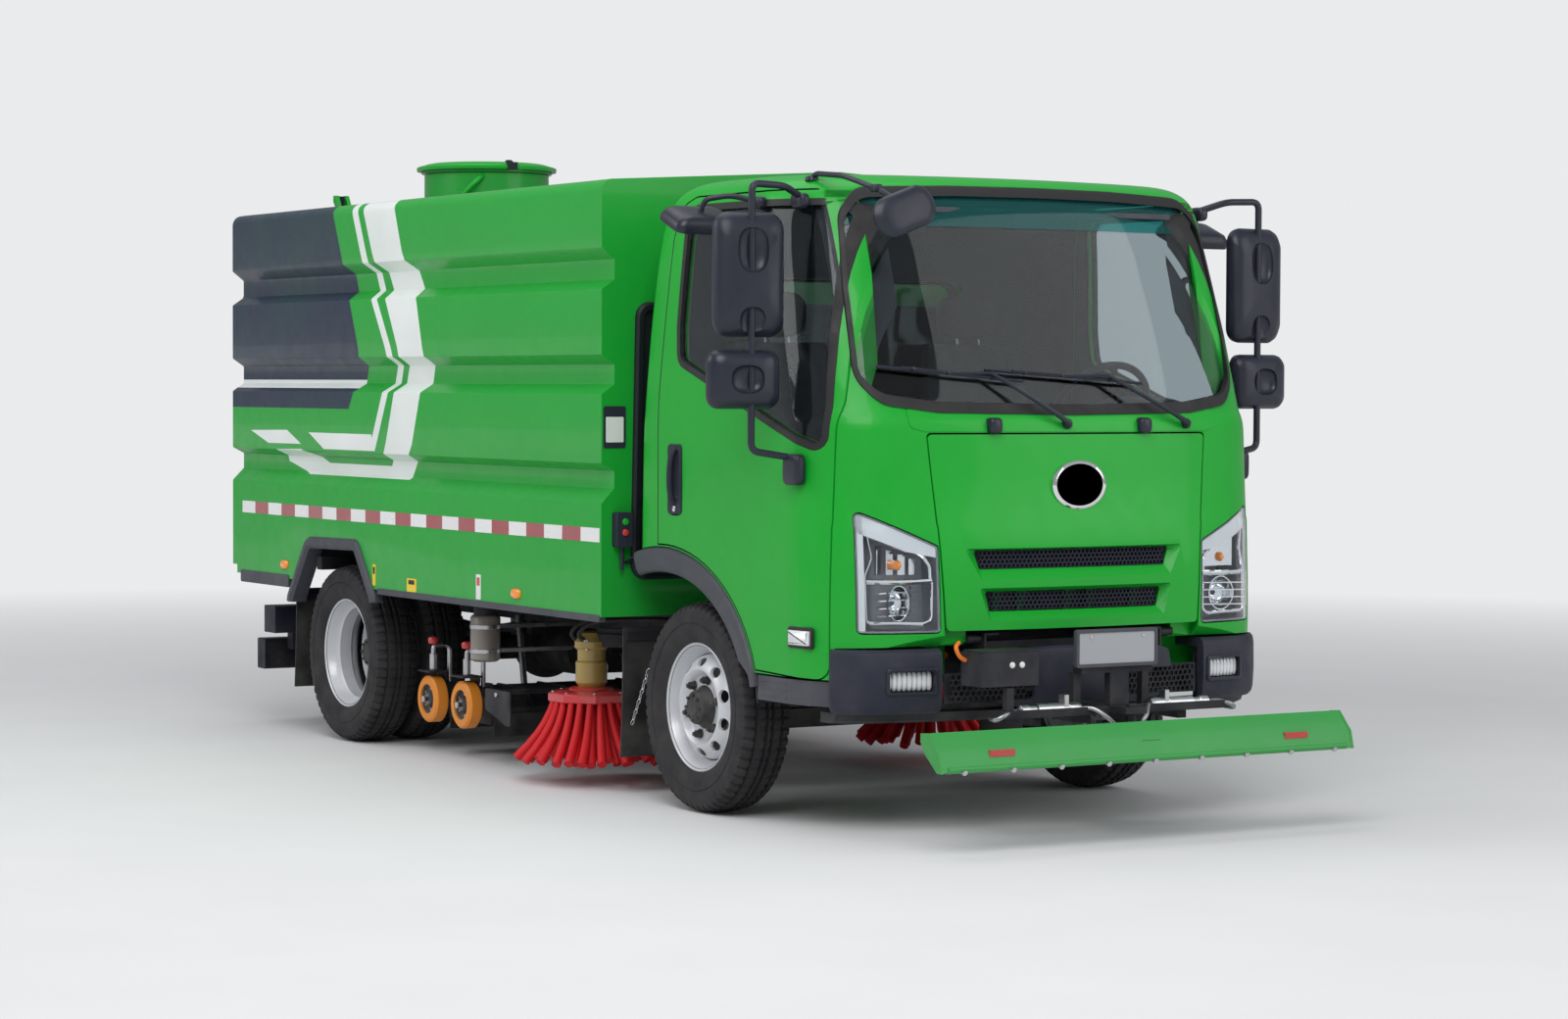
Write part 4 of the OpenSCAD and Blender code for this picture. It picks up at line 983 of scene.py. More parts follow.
@dataclass
class Cab:
    """The cab: shell, doors, flap, glass, lamps and everything fastened to them."""

    skin: Skin = field(default_factory=Skin)
    wall: float = 0.040
    gap: float = 0.006
    far: float = 1.3
    arch_centre: tuple[float, float] = (-0.200, 0.400)
    arch_radii: tuple[float, float] = (0.690, 0.560)
    door_front: float = 0.880
    door_foot: float = 0.545
    flap_foot: float = 0.536
    flap_waist: float = 0.555
    flap_half: float = 0.592
    flap_low: float = 0.712
    flap_top: float = 1.384
    band_foot: float = 2.105

    @property
    def axle(self) -> float:
        """The front axle from the rear axle."""
        return AXLES.base

    def arch(self, grow: float, start: float = 0.0, end: float = 180.0, steps: int = 36) -> Points:
        """Returns an arc of the wheel arch, grown outwards."""
        centre = (self.axle + self.arch_centre[0], self.arch_centre[1])
        return ellipse(centre, (self.arch_radii[0] + grow, self.arch_radii[1] + grow), start, end, steps)

    def arch_hole(self, grow: float) -> Form:
        """Returns the solid that opens the wheel arches."""
        curve = self.arch(grow)
        base = np.array([[curve[-1, 0], 0.2], [curve[0, 0], 0.2]])
        return Form().prism(np.vstack([curve, base]), -self.far, self.far)

    def nose_hole(self, grow: float) -> Form:
        """Returns the solid that frees the space over the bumper."""
        fa = self.axle
        line = [(fa + 0.890, 0.3), (fa + 1.5, 0.3), (fa + 1.5, 0.712), (fa + 1.060, 0.700), (fa + 1.010, 0.660),
                (fa + 0.900, 0.655)]
        return Form().prism(offset(line, grow) if grow else np.array(line), -self.far, self.far)

    def door_outline(self, grow: float) -> Points:
        """Returns the door's outline in x and z, grown outwards."""
        fa = self.axle
        back = fa - 0.230
        turn = math.degrees(math.acos((back - fa - self.arch_centre[0]) / (self.arch_radii[0] + 0.010)))
        foot = math.degrees(math.asin((self.door_foot + 0.012 - self.arch_centre[1]) / (self.arch_radii[1] + 0.010)))
        top = [(fa + self.door_front, self.door_foot), (fa + self.door_front, 1.50), (fa + 0.790, 2.200),
               (fa + 0.735, 2.228), (fa - 0.055, 2.228), (fa - 0.128, 2.200), (fa - 0.172, 2.085), (back, 1.50)]
        lower = self.arch(0.010, turn, foot, 16)
        corners = bent([lower[-1]] + top + [lower[0]], 0.05, 5, closed=False)
        line = np.vstack([corners, lower[1:-1]])
        return offset(line, grow) if grow else line

    def window_outline(self, grow: float) -> Points:
        """Returns the side window's outline in x and z, grown outwards."""
        fa = self.axle
        line = bent([(fa + 0.842, 1.335), (fa + 0.842, 1.430), (fa + 0.752, 2.140), (fa + 0.715, 2.178),
                     (fa - 0.035, 2.183), (fa - 0.078, 2.150), (fa - 0.100, 1.760), (fa - 0.088, 1.640)], 0.045, 5)
        return offset(line, grow) if grow else line

    def screen_outline(self, grow: float) -> Points:
        """Returns the windscreen's outline in y and z, grown outwards."""
        half = [(0.0, 1.466), (0.540, 1.474), (0.740, 1.502), (0.806, 1.580), (0.797, 1.880), (0.772, 2.140),
                (0.700, 2.224), (0.350, 2.236), (0.0, 2.238)]
        line = bent(half + [(-y, z) for y, z in half[-2:0:-1]], 0.10, 6)
        if grow:
            line = line + (offset(line, grow) - line) * (0.4, 1.0)
        return line

    def lamp_outline(self, grow: float) -> Points:
        """Returns the left headlamp's outline in y and z, grown outwards."""
        line = bent([(0.560, 0.708), (0.838, 0.708), (0.842, 1.124), (0.566, 1.002)], 0.014, 4)
        return offset(line, grow) if grow else line

    def wall_piece(self, outer: float, inner: float, outline: Points, plane: Plane, low: float, high: float) -> Form:
        """Returns the part of a wall, from depth outer to inner, that lies inside a prism."""
        return carve(self.skin.solid(outer), [(Cut.LESS, self.skin.solid(inner)),
                                              (Cut.COMMON, Form().prism(outline, low, high, plane))], "wall")

    def flap_outline(self, grow: float, drop: float = 0.0) -> Points:
        """Returns the front flap's outline in y and z, grown outwards, its foot moved up by drop."""
        half = [(self.flap_foot + grow, self.flap_low + drop), (self.flap_waist + grow, 1.00),
                (self.flap_half + grow, self.flap_top + grow)]
        return bent(half + [(-y, z) for y, z in reversed(half)], 0.016, 4)

    def flap_space(self, grow: float, depth: float) -> Form:
        """Returns the space of the front flap, from before the surface to a depth."""
        prism = Form().prism(self.flap_outline(grow, -0.05), self.axle + 0.95, self.axle + 1.3, Plane.YZ)
        return carve(prism, [(Cut.LESS, self.skin.solid(depth))], "flap_space")

    def shell(self) -> None:
        """Builds the painted shell with its pillars, floor, arches and inner trim."""
        hollow = carve(self.skin.solid(self.wall), [
            (Cut.LESS, self.arch_hole(self.wall)), (Cut.LESS, self.nose_hole(self.wall))], "hollow").marked(1)
        tunnel = Form().block((self.axle + 0.30, -0.44, 0.30), (self.axle + 1.20, 0.44, 0.74))
        roof_line = Form().prism(self.door_outline(self.gap), 0.80, self.far).marked(1)
        screen = Form().prism(self.screen_outline(0.0), self.axle + 0.5, self.axle + 1.3, Plane.YZ).marked(1)
        steps = [(Cut.LESS, hollow), (Cut.LESS, self.arch_hole(0.0)), (Cut.LESS, self.nose_hole(0.0)),
                 (Cut.LESS, tunnel), (Cut.LESS, roof_line), (Cut.LESS, roof_line.mirrored()),
                 (Cut.LESS, self.flap_space(self.gap, 0.040)), (Cut.LESS, screen),
                 (Cut.LESS, slab((-0.43, 1.50, 0.43, 1.95), self.axle - 0.5, self.axle - 0.2, 0.06))]
        for side in (1, -1):
            lamp = Form().prism(self.lamp_outline(0.004) * (side, 1), self.axle + 0.80, self.axle + 1.3, Plane.YZ)
            steps.append((Cut.LESS, carve(lamp, [(Cut.LESS, self.skin.solid(0.105))], "lamp_hole")))
        body = carve(self.skin.solid(), steps, "cab_shell")
        cover = Form().finish(1)
        cover.block((self.axle + 0.45, -0.47, 0.74), (self.axle + 1.02, 0.47, 0.775))
        for y in (-0.47, 0.44):
            cover.block((self.axle + 0.45, y, 0.56), (self.axle + 0.88, y + 0.03, 0.76))
        body.join(cover)
        cowl = bent([(-0.600, 1.394), (0.600, 1.394), (0.655, 1.408), (0.655, 1.476), (-0.655, 1.476), (-0.655, 1.408)],
                    0.02, 4)
        body.join(self.wall_piece(-0.0025, 0.010, cowl, Plane.YZ, self.axle + 0.9, self.axle + 1.3))
        body.build("cab_skin", [GREEN, TRIM], "cab", "green_paint", ["cab_shell"], angle=24)

    def flap(self) -> None:
        """Builds the front flap with its scoops, honeycomb grilles and plain oval boss."""
        fa, skin = self.axle, self.skin
        body = self.wall_piece(0.0, 0.032, self.flap_outline(0.0), Plane.YZ, fa + 0.95, fa + 1.3)
        grilles, trays = Form(), Form()
        for z, mouth_size, throat_size in ((0.940, (0.465, 0.052, 0.405, -0.054), (0.418, 0.045, 0.396, -0.020)),
                                           (0.800, (0.412, 0.056, 0.372, -0.055), (0.376, 0.043, 0.358, -0.026))):
            mouth, throat = (divided(bent([(-low, z + foot), (low, z + foot), (top, z + head), (-top, z + head)],
                                          0.008, 3)) for top, head, low, foot in (mouth_size, throat_size))
            rings = [np.column_stack([np.full(len(mouth), fa + 1.16), mouth])]
            rings += [np.column_stack([skin.front(line[:, 0], line[:, 1]) + x, line]) for line, x in
                      ((mouth, 0.0), (throat, -0.028))]
            rings.append(np.column_stack([np.full(len(throat), fa + 0.99), throat]))
            scoop = Form().loft(rings[::-1])
            outer = Form().loft([np.column_stack([r[:, :1] + s, offset(r[:, 1:], 0.004)])
                                 for r, s in zip(rings, (0.0, 0.0, -0.004, 0.012))][::-1])
            trays.join(carve(outer, [(Cut.LESS, scoop), (Cut.COMMON, skin.solid(0.030))], "tray"))
            body = carve(body, [(Cut.LESS, scoop)], "flap")
            top, head, low, foot = throat_size
            for outside, inside in honeycomb(0.0175, 0.0040, 2 * top + 0.02, head - foot + 0.02):
                rows = [np.column_stack([skin.front(line[:, 0], line[:, 1] + z) - depth,
                                         line + (0, z + (head + foot) / 2)])
                        for line, depth in ((outside, 0.026), (inside, 0.026), (inside, 0.036))]
                if all(abs(y) < low + 0.006 and foot - 0.002 < zz - z < head + 0.002 for y, zz in rows[0][:, 1:]):
                    grilles.add(np.vstack(rows), grid_faces(3, 6, False, True))
            grilles.add(np.column_stack([np.full(len(throat), float(skin.front(0.42, z)) - 0.040), throat]),
                        [list(range(len(throat)))])
        body.join(trays)
        body.build("front_flap_skin", [GREEN], "flap", "green_paint", ["front_flap"], angle=24)
        grilles.build("flap_grilles", [PLASTIC], "flap", "green_paint", angle=20)
        boss = Form()
        x = float(skin.front(0.0, 1.207))
        boss.spun([(-0.006, 0.0), (-0.006, 1.0), (0.007, 1.0), (0.010, 0.95), (0.010, 0.86)], (0, 0, 0), "X", 72)
        boss.finish(1).spun([(0.010, 0.865), (0.006, 0.84), (0.008, 0.0)], (0, 0, 0), "X", 72)
        boss = boss.moved(lambda p: p * (1.0, 0.114, 0.085) + (x, 0.0, 1.208))
        boss.build("flap_boss", [CHROME, HOUSING], "flap", "bright_steel")

    def doors(self) -> None:
        """Builds both doors with their panes, seals, handles, lamps and inner panels."""
        fa, skin = self.axle, self.skin
        solid = self.wall_piece(0.0, 0.042, self.door_outline(0.0), Plane.XZ, 0.7, self.far)
        window = Form().prism(self.window_outline(0.0), 0.6, self.far)
        ledge = carve(Form().prism(self.window_outline(0.020), 0.6, self.far), [(Cut.LESS, skin.solid(0.004))], "ledge")
        recess = Form().ball((fa - 0.105, 0.950, 1.205), (0.052, 0.030, 0.130), 0.45)
        leaf = carve(solid, [(Cut.LESS, window), (Cut.LESS, ledge), (Cut.LESS, recess)], "door")
        pane = self.wall_piece(0.014, 0.019, self.window_outline(0.004), Plane.XZ, 0.6, self.far)
        seal = carve(self.wall_piece(0.0, 0.024, self.window_outline(0.019), Plane.XZ, 0.6, self.far),
                     [(Cut.LESS, Form().prism(self.window_outline(-0.004), 0.5, self.far))], "seal")
        inner = self.wall_piece(0.044, 0.058, bent([
            (fa + 0.84, 0.62), (fa + 0.84, 1.28), (fa - 0.06, 1.60), (fa - 0.17, 1.60), (fa - 0.18, 1.12),
            (fa + 0.10, 1.08), (fa + 0.42, 0.84), (fa + 0.56, 0.62)], 0.06, 5), Plane.XZ, 0.6, self.far)
        lining = carve(self.wall_piece(0.0425, 0.047, self.door_outline(-0.010), Plane.XZ, 0.6, self.far),
                       [(Cut.LESS, Form().prism(self.window_outline(0.004), 0.5, self.far))], "lining")
        lining.join(inner)
        pull = Form().block((fa + 0.05, 0.845, 1.22), (fa + 0.45, 0.895, 1.27))
        for name, side in SIDES:
            body = f"door_{name}"
            leaf.sided(side).build(f"door_{name}_leaf", [GREEN], body, "green_paint", [f"door_{name}"], angle=24)
            pane.sided(side).build(f"door_{name}_pane", [GLASS], body, "clear_glass", [f"door_glass_{name}"])
            seal.sided(side).build(f"door_{name}_seal", [RUBBER], body, "dark_rubber", angle=40)
            lining.sided(side).build(f"door_{name}_trim", [TRIM], body, "dark_plastic")
            pull.sided(side).build(f"door_{name}_pull", [PLASTIC], body, "dark_plastic", bevel=0.012)
            self.door_furniture(name, side)

    def door_furniture(self, name: str, side: int) -> None:
        """Builds a door's handle and side lamp.

        Args:
            name: left or right.
            side: 1 for left, -1 for right.
        """
        fa = self.axle
        y = self.skin.side(1.2)
        cup = bent([(fa - 0.155, 1.080), (fa - 0.055, 1.080), (fa - 0.055, 1.335), (fa - 0.155, 1.335)], 0.018, 4)
        handle = carve(Form().prism(cup, y - 0.030, y + 0.004),
                       [(Cut.LESS, Form().ball((fa - 0.105, y + 0.006, 1.225), (0.036, 0.026, 0.092), 0.5))], "cup")
        pull = smooth([(fa - 0.105, y - 0.008, 1.325), (fa - 0.105, y + 0.016, 1.290), (fa - 0.105, y + 0.024, 1.21),
                       (fa - 0.105, y + 0.016, 1.140), (fa - 0.105, y - 0.006, 1.118)], 4)
        handle.tube(pull, 0.012, 10)
        handle.finish(1).spun([(-0.004, 0.0), (-0.004, 0.011), (0.003, 0.011), (0.004, 0.009), (0.004, 0.0)],
                              (fa - 0.105, y + 0.004, 1.100), "Y", 20)
        lamp = Form()
        plate = bent([(fa + 0.700, 0.648), (fa + 0.835, 0.648), (fa + 0.835, 0.722), (fa + 0.700, 0.722)], 0.014, 4)
        lamp.prism(plate, y - 0.004, y + 0.006)
        rings = [np.column_stack([line[:, 0], np.full(len(line), y + d), line[:, 1]]) for line, d in (
            (offset(plate, -0.012), 0.004), (offset(plate, -0.012), 0.014), (offset(plate, -0.020), 0.018))]
        lamp.finish(1).loft([r[::-1] for r in rings])
        lamp = lamp.turned("Z", -7, (fa + 0.720, y, 0.685))
        for form, title, finishes, slot in ((handle, "handle", [PLASTIC, CHROME], "dark_plastic"),
                                            (lamp, "lamp", [RUBBER, WHITE_LENS], "clear_lens")):
            form.sided(side).build(f"door_{name}_{title}", finishes, f"door_{name}", slot)

    def windscreen(self) -> None:
        """Builds the windscreen with its sun band and rubber, and the rear window."""
        fa = self.axle
        outline = self.screen_outline(0.004)
        pane = self.wall_piece(0.010, 0.016, outline, Plane.YZ, fa + 0.5, fa + 1.3)
        band = slab((-2, self.band_foot, 2, 3), fa, fa + 2)
        clear = carve(pane, [(Cut.LESS, band)], "clear")
        clear.join(carve(pane, [(Cut.COMMON, band)], "tinted").marked(1))
        clear.join(slab((-0.435, 1.495, 0.435, 1.955), fa - 0.345, fa - 0.340, 0.06))
        clear.build("windscreen", [GLASS, BAND_GLASS], "cab", "clear_glass", ["cab_glass"])
        ring = carve(self.wall_piece(-0.006, 0.024, self.screen_outline(0.016), Plane.YZ, fa + 0.5, fa + 1.3),
                     [(Cut.LESS, Form().prism(self.screen_outline(-0.022), fa, fa + 2, Plane.YZ))], "ring")
        frame = carve(slab((-0.455, 1.475, 0.455, 1.975), fa - 0.375, fa - 0.325, 0.07),
                      [(Cut.LESS, slab((-0.42, 1.51, 0.42, 1.94), fa - 1, fa, 0.05))], "frame")
        ring.join(frame).build("screen_rubber", [RUBBER], "cab", "dark_rubber", angle=40)

    def headlamps(self) -> None:
        """Builds both headlamps: bowl, bezel, reflectors, projector, indicator and cover."""
        fa, skin = self.axle, self.skin
        reach = (Plane.YZ, fa + 0.80, fa + 1.3)
        cover = self.wall_piece(0.0005, 0.004, self.lamp_outline(-0.001), *reach)
        back = self.wall_piece(0.088, 0.092, self.lamp_outline(-0.001), *reach)
        rim = carve(self.wall_piece(0.005, 0.090, self.lamp_outline(-0.001), *reach),
                    [(Cut.LESS, Form().prism(self.lamp_outline(-0.007), fa, fa + 2, Plane.YZ))], "rim")
        shelf = bent([(0.50, 0.950), (0.680, 0.985), (0.88, 1.068), (0.88, 1.30), (0.50, 1.30)], 0.01, 3)
        crown = carve(self.wall_piece(0.006, 0.030, self.lamp_outline(-0.007), *reach),
                      [(Cut.COMMON, Form().prism(shelf, fa, fa + 2, Plane.YZ))], "crown")
        strip = bent([(0.812, 0.70), (0.88, 0.70), (0.88, 1.20), (0.818, 1.20)], 0.004, 2)
        edge = carve(self.wall_piece(0.006, 0.030, self.lamp_outline(-0.007), *reach),
                     [(Cut.COMMON, Form().prism(strip, fa, fa + 2, Plane.YZ))], "edge")
        bowl, lamp = rim.join(back), Form()
        for part in (crown, edge):
            bowl.join(part.marked(1))
        line = [(0.885, 0.752), (0.890, 0.905), (0.862, 0.965), (0.880, 1.040), (0.862, 1.052), (0.640, 0.972),
                (0.606, 0.935), (0.604, 0.880)]
        path = bent(line, 0.03, 5, closed=False)
        lamp.finish(2).tube(skin.on_front(path, -0.022), 0.0075, 8)
        foot = bent([(0.885, 0.752), (0.870, 0.742), (0.640, 0.738), (0.600, 0.750), (0.596, 0.880)], 0.02, 4, False)
        lamp.tube(skin.on_front(foot, -0.022), 0.0075, 8)
        bridge = smooth([(0.885, 0.882), (0.74, 0.880), (0.598, 0.884)], 5)
        lamp.tube(skin.on_front(bridge, -0.024), 0.010, 8)
        middle = np.array([float(skin.front(0.742, 0.81)) - 0.075, 0.742, 0.808])
        dish = [(-0.010, 0.010), (-0.006, 0.030), (0.006, 0.046), (0.026, 0.058), (0.040, 0.062), (0.040, 0.058),
                (0.024, 0.052), (0.008, 0.042), (0.0, 0.026), (-0.002, 0.010)]
        lamp.spun(dish, middle, "X", 40, loop=True)
        for k in range(4):
            z = 0.765 + 0.026 * k
            shelf_x = float(skin.front(0.70, z))
            lamp.block((shelf_x - 0.085, 0.622, z), (shelf_x - 0.062, 0.860, z + 0.004))
            lamp.block((shelf_x - 0.085, 0.650, z + 0.008), (shelf_x - 0.070, 0.672, z + 0.020))
        lamp.finish(3).ball(middle + (0.012, 0, 0), (0.024, 0.034, 0.034), 1.0, 12, 20)
        for y in (0.665, 0.715, 0.765, 0.815):
            x = float(skin.front(y, 0.93))
            lamp.finish(2).block((x - 0.060, y - 0.020, 0.905), (x - 0.052, y + 0.020, 0.958 + (y - 0.66) * 0.30))
        x = float(skin.front(0.735, 0.94))
        lamp.finish(4).spun([(-0.02, 0.004), (-0.02, 0.017), (0.006, 0.017), (0.016, 0.010), (0.018, 0.0)],
                            (x - 0.042, 0.742, 0.938), "X", 20)

        def narrowed(p: Points) -> Points:
            """Returns the lamp's inside drawn in towards the flap, as deep behind the surface as it was."""
            y = 0.566 + (p[:, 1] - 0.580) * 0.78
            x = p[:, 0] - skin.front(p[:, 1], p[:, 2]) + skin.front(y, p[:, 2])
            return np.column_stack([x, y, p[:, 2]])
        lamp = bowl.join(lamp.moved(narrowed))
        for name, side in SIDES:
            lamp.sided(side).build(f"headlamp_{name}_inside", [BOWL, WHITE_LENS, CHROME, LENS, AMBER_LENS], "cab",
                         "clear_lens", ["headlamps"] if side > 0 else (), angle=28)
            cover.sided(side).build(f"headlamp_{name}_cover", [LENS], "cab", "clear_lens")

    def wipers(self) -> None:
        """Builds two wipers and two washer caps."""
        skin = self.skin
        arms = Form()
        for pivot, elbow, ends in (((-0.044, 1.420), (-0.335, 1.596), ((-0.745, 1.617), (-0.200, 1.566))),
                                   ((0.500, 1.420), (0.151, 1.590), ((-0.345, 1.606), (0.320, 1.562)))):
            foot = skin.on_front([pivot], 0.0)[0]
            arms.spun([(-0.01, 0.018), (0.018, 0.018), (0.026, 0.012), (0.028, 0.0)], foot, "X", 20)
            knee = np.array(pivot) * 0.7 + np.array(elbow) * 0.3
            path = np.vstack([foot + (0.030, 0, 0), skin.on_front([knee], 0.045), skin.on_front([elbow], 0.040)])
            arms.tube(smooth(path, 5), np.linspace(0.011, 0.006, 11), 8)
            blade = skin.on_front([np.array(ends[0]) * (1 - t) + np.array(ends[1]) * t
                                   for t in np.linspace(0, 1, 14)], 0.016)
            arms.tube(blade, 0.006, 6)
            arms.tube(blade[2:-2] + (0.010, 0, 0.004), 0.005, 6)
            for k in (3, 6, 10):
                arms.pin(blade[k], blade[k] + (0.016, 0, 0.006), 0.007, 8)
            arms.tube([path[-1], blade[7] + (0.012, 0, 0.004)], 0.006, 6)
        for y in (-0.342, 0.295):
            spot = skin.on_front([(y, 1.414)], 0.0)[0]
            arms.ball(spot + (0.008, 0, 0), (0.026, 0.026, 0.028), 0.5, 10, 16)
        arms.build("wipers", [HOUSING], "cab", "dark_plastic", angle=40)

    def fenders(self) -> None:
        """Builds the arch trims, the steps behind the bumper and the inner liners."""
        fa = self.axle
        trim = Form()
        angles = np.linspace(10.0, 107.0, 40)
        section = np.array([(-0.004, -0.055), (-0.004, 0.000), (-0.010, 0.009), (-0.030, 0.013), (-0.070, 0.010),
                            (-0.090, 0.002), (-0.096, -0.008), (-0.088, -0.012), (-0.060, -0.008), (-0.020, -0.012),
                            (-0.014, -0.055)])
        centre = np.array([fa + self.arch_centre[0], self.arch_centre[1]])
        rings = []
        for angle in np.radians(angles):
            grow = section[:, 0] * np.clip((math.degrees(angle) - 8.0) / 14.0, 0.45, 1.0)
            x = centre[0] + (self.arch_radii[0] + grow) * math.cos(angle)
            z = centre[1] + (self.arch_radii[1] + grow) * math.sin(angle)
            rings.append(np.column_stack([x, 0.950 + section[:, 1], z]))
        trim.loft([ring[::-1] for ring in rings])
        liner = self.arch(-0.012, 4, 150, 24)
        inner = self.arch(-0.017, 150, 4, 24)
        trim.finish(1).prism(np.vstack([liner, inner]), 0.62, 0.944)
        step = bent([(fa + 0.470, 0.690), (fa + 0.884, 0.690), (fa + 0.884, 0.884), (fa + 0.800, 0.926),
                     (fa + 0.690, 0.948), (fa + 0.470, 0.948)], 0.02, 3)
        trim.finish(0).prism(step, 0.452, 0.538, Plane.XY)
        for z in (0.470, 0.495, 0.520):
            trim.tube([(fa + 0.50, 0.9475, z), (fa + 0.680, 0.9475, z)], 0.003, 6)
        trim.pair()
        trim.build("cab_arch_trims", [GREY_PLASTIC, PLASTIC], "cab", "dark_plastic", ["cab_fenders"], angle=35)

    def interior(self) -> None:
        """Builds the dashboard, steering wheel, sun visors and grab handle."""
        fa, skin = self.axle, self.skin
        top = smooth([(fa + 0.985, 1.455), (fa + 0.92, 1.470), (fa + 0.82, 1.445), (fa + 0.765, 1.385),
                      (fa + 0.775, 1.250), (fa + 0.82, 1.170)], 4)
        outline = np.vstack([top, [(fa + 0.99, 1.165)]])
        board = carve(Form().prism(outline, -0.885, 0.885), [(Cut.COMMON, skin.solid(self.wall + 0.001))], "board")
        hood = Form().ball((fa + 0.855, 0.430, 1.455), (0.115, 0.190, 0.060), 0.8)
        board = carve(board, [(Cut.PLUS, hood)], "board")
        hub = np.array([fa + 0.600, 0.430, 1.450])
        wheel = Form()
        turn = np.radians(np.linspace(0, 360, 49))
        lean = np.array(Matrix.Rotation(math.radians(-60), 3, "Y"))
        ring = np.column_stack([0.205 * np.cos(turn), 0.205 * np.sin(turn), np.zeros(49)])
        wheel.tube(ring @ lean.T + hub, 0.014, 10)
        for angle in (0, 120, 240):
            spoke = np.array([(0.03, 0, -0.01), (0.11, 0, -0.016), (0.20, 0, 0.0)])
            c, s = math.cos(math.radians(angle)), math.sin(math.radians(angle))
            spin = np.array([[c, -s, 0], [s, c, 0], [0, 0, 1]])
            wheel.tube(smooth(spoke @ spin.T @ lean.T + hub, 3), 0.012, 8)
        wheel.join(Form().spun([(-0.03, 0.035), (-0.01, 0.055), (0.008, 0.050), (0.014, 0.030), (0.016, 0.0)],
                               (0, 0, 0), "Z", 24).moved(lambda p: p @ lean.T + hub))
        wheel.pin((fa + 0.855, 0.430, 1.300), hub, 0.026, 16)
        board.join(wheel)
        for y in (-0.30, 0.0, 0.72, -0.72):
            board.block((fa + 0.764, y - 0.07, 1.30), (fa + 0.775, y + 0.07, 1.36))
        board.build("dashboard_moulding", [PLASTIC], "cab", "dark_plastic", ["dashboard"], angle=35)
        trim = Form()
        for side in (1, -1):
            trim.block((fa + 0.66, side * 0.12, 2.155), (fa + 0.80, side * 0.60, 2.175))
        trim.block((fa + 0.74, -0.09, 2.10), (fa + 0.80, 0.09, 2.16))
        grip = [(3.650, 0.852, 1.738), (3.628, 0.800, 1.750), (3.610, 0.795, 1.840), (3.592, 0.795, 1.935),
                (3.600, 0.848, 1.948)]
        trim.tube(smooth(grip, 5), 0.013, 10)
        trim.build("cab_grips", [TRIM], "cab", "dark_plastic", bevel=0.006)

    def seats(self) -> None:
        """Builds two padded seats: crowned cushion, waisted back and head rest on steel pins."""
        fa = self.axle
        for name, y in (("left", 0.430), ("right", -0.430)):
            u, v = np.meshgrid(np.linspace(-1, 1, 33), np.linspace(-1, 1, 25), indexing="ij")
            edge = (1 - np.abs(u) ** 6) * (1 - np.abs(v) ** 6)
            seam = 0.010 * np.exp(-((np.abs(v) - 0.62) / 0.05) ** 2)
            upper = np.stack([fa + 0.02 + 0.235 * u * (1 - 0.03 * v ** 2), y + 0.245 * v * (1 - 0.03 * u ** 2),
                              1.080 + 0.012 * u + 0.050 * np.sqrt(np.maximum(edge, 0)) - seam
                              + 0.016 * v ** 2 * (1 - v ** 4)], 2)
            lower = upper.copy()
            lower[..., 2] = 1.045 - 0.025 * np.sqrt(np.maximum(edge, 0))
            piece = self.pad(upper, lower).build(f"seat_cushion_{name}", [SEAT_CLOTH], "cab", "seat_cloth",
                                                 ["seats"] if y > 0 else (), angle=60)
            lean = math.radians(12)
            rise = 1.13 + 0.29 * (u + 1)
            forward = fa - 0.125 - (rise - 1.13) * math.tan(lean)
            width = 0.235 * (1 - 0.10 * u - 0.06 * u ** 2)
            front = np.stack([forward + 0.045 * np.sqrt(np.maximum(edge, 0)) + 0.018 * v ** 2 - seam,
                              y - width * v, rise], 2)
            rear = np.stack([forward - 0.030 - 0.035 * np.sqrt(np.maximum(edge, 0)), y - width * v, rise], 2)
            back = self.pad(front, rear)
            back.build(f"seat_back_{name}", [SEAT_CLOTH], "cab", "seat_cloth", angle=60)
            rest = Form().ball((fa - 0.268, y, 1.815), (0.050, 0.125, 0.085), 0.6, 14, 28)
            rest.build(f"seat_rest_{name}", [SEAT_CLOTH], "cab", "seat_cloth", angle=60)
            base = Form()
            for k in (-0.05, 0.05):
                base.pin((fa - 0.252, y + k, 1.69), (fa - 0.266, y + k, 1.78), 0.006, 10)
            base.finish(1).block((fa - 0.20, y - 0.20, 0.955), (fa + 0.20, y + 0.20, 1.050))
            for k in (-0.19, 0.19):
                base.block((fa - 0.20, y + k - 0.02, 0.955), (fa + 0.24, y + k + 0.02, 0.985))
            base.build(f"seat_base_{name}", [STEEL, PLASTIC], "cab", "seat_cloth", bevel=0.006)

    @staticmethod
    def pad(upper: Points, lower: Points) -> Form:
        """Returns a closed cushion between two grids that meet along their edges.

        Args:
            upper: the grid that faces out.
            lower: the grid behind it.

        Returns:
            The closed form.
        """
        rows, columns = upper.shape[:2]
        form = Form()
        count = rows * columns
        faces = grid_faces(rows, columns, False, False)
        edge = [i * columns for i in range(rows)] + [(rows - 1) * columns + j for j in range(1, columns)]
        edge += [i * columns + columns - 1 for i in range(rows - 2, -1, -1)] + list(range(columns - 2, 0, -1))
        sides = [[a, b, b + count, a + count] for a, b in zip(edge, edge[1:] + edge[:1])]
        quads = [f[::-1] for f in faces] + [[n + count for n in f] for f in faces]
        form.add(np.vstack([upper.reshape(-1, 3), lower.reshape(-1, 3)]), quads + sides)
        return form

    def build(self) -> None:
        """Builds the whole cab."""
        self.shell()
        self.flap()
        self.doors()
        self.windscreen()
        self.headlamps()
        self.wipers()
        self.fenders()
        self.interior()
        self.seats()


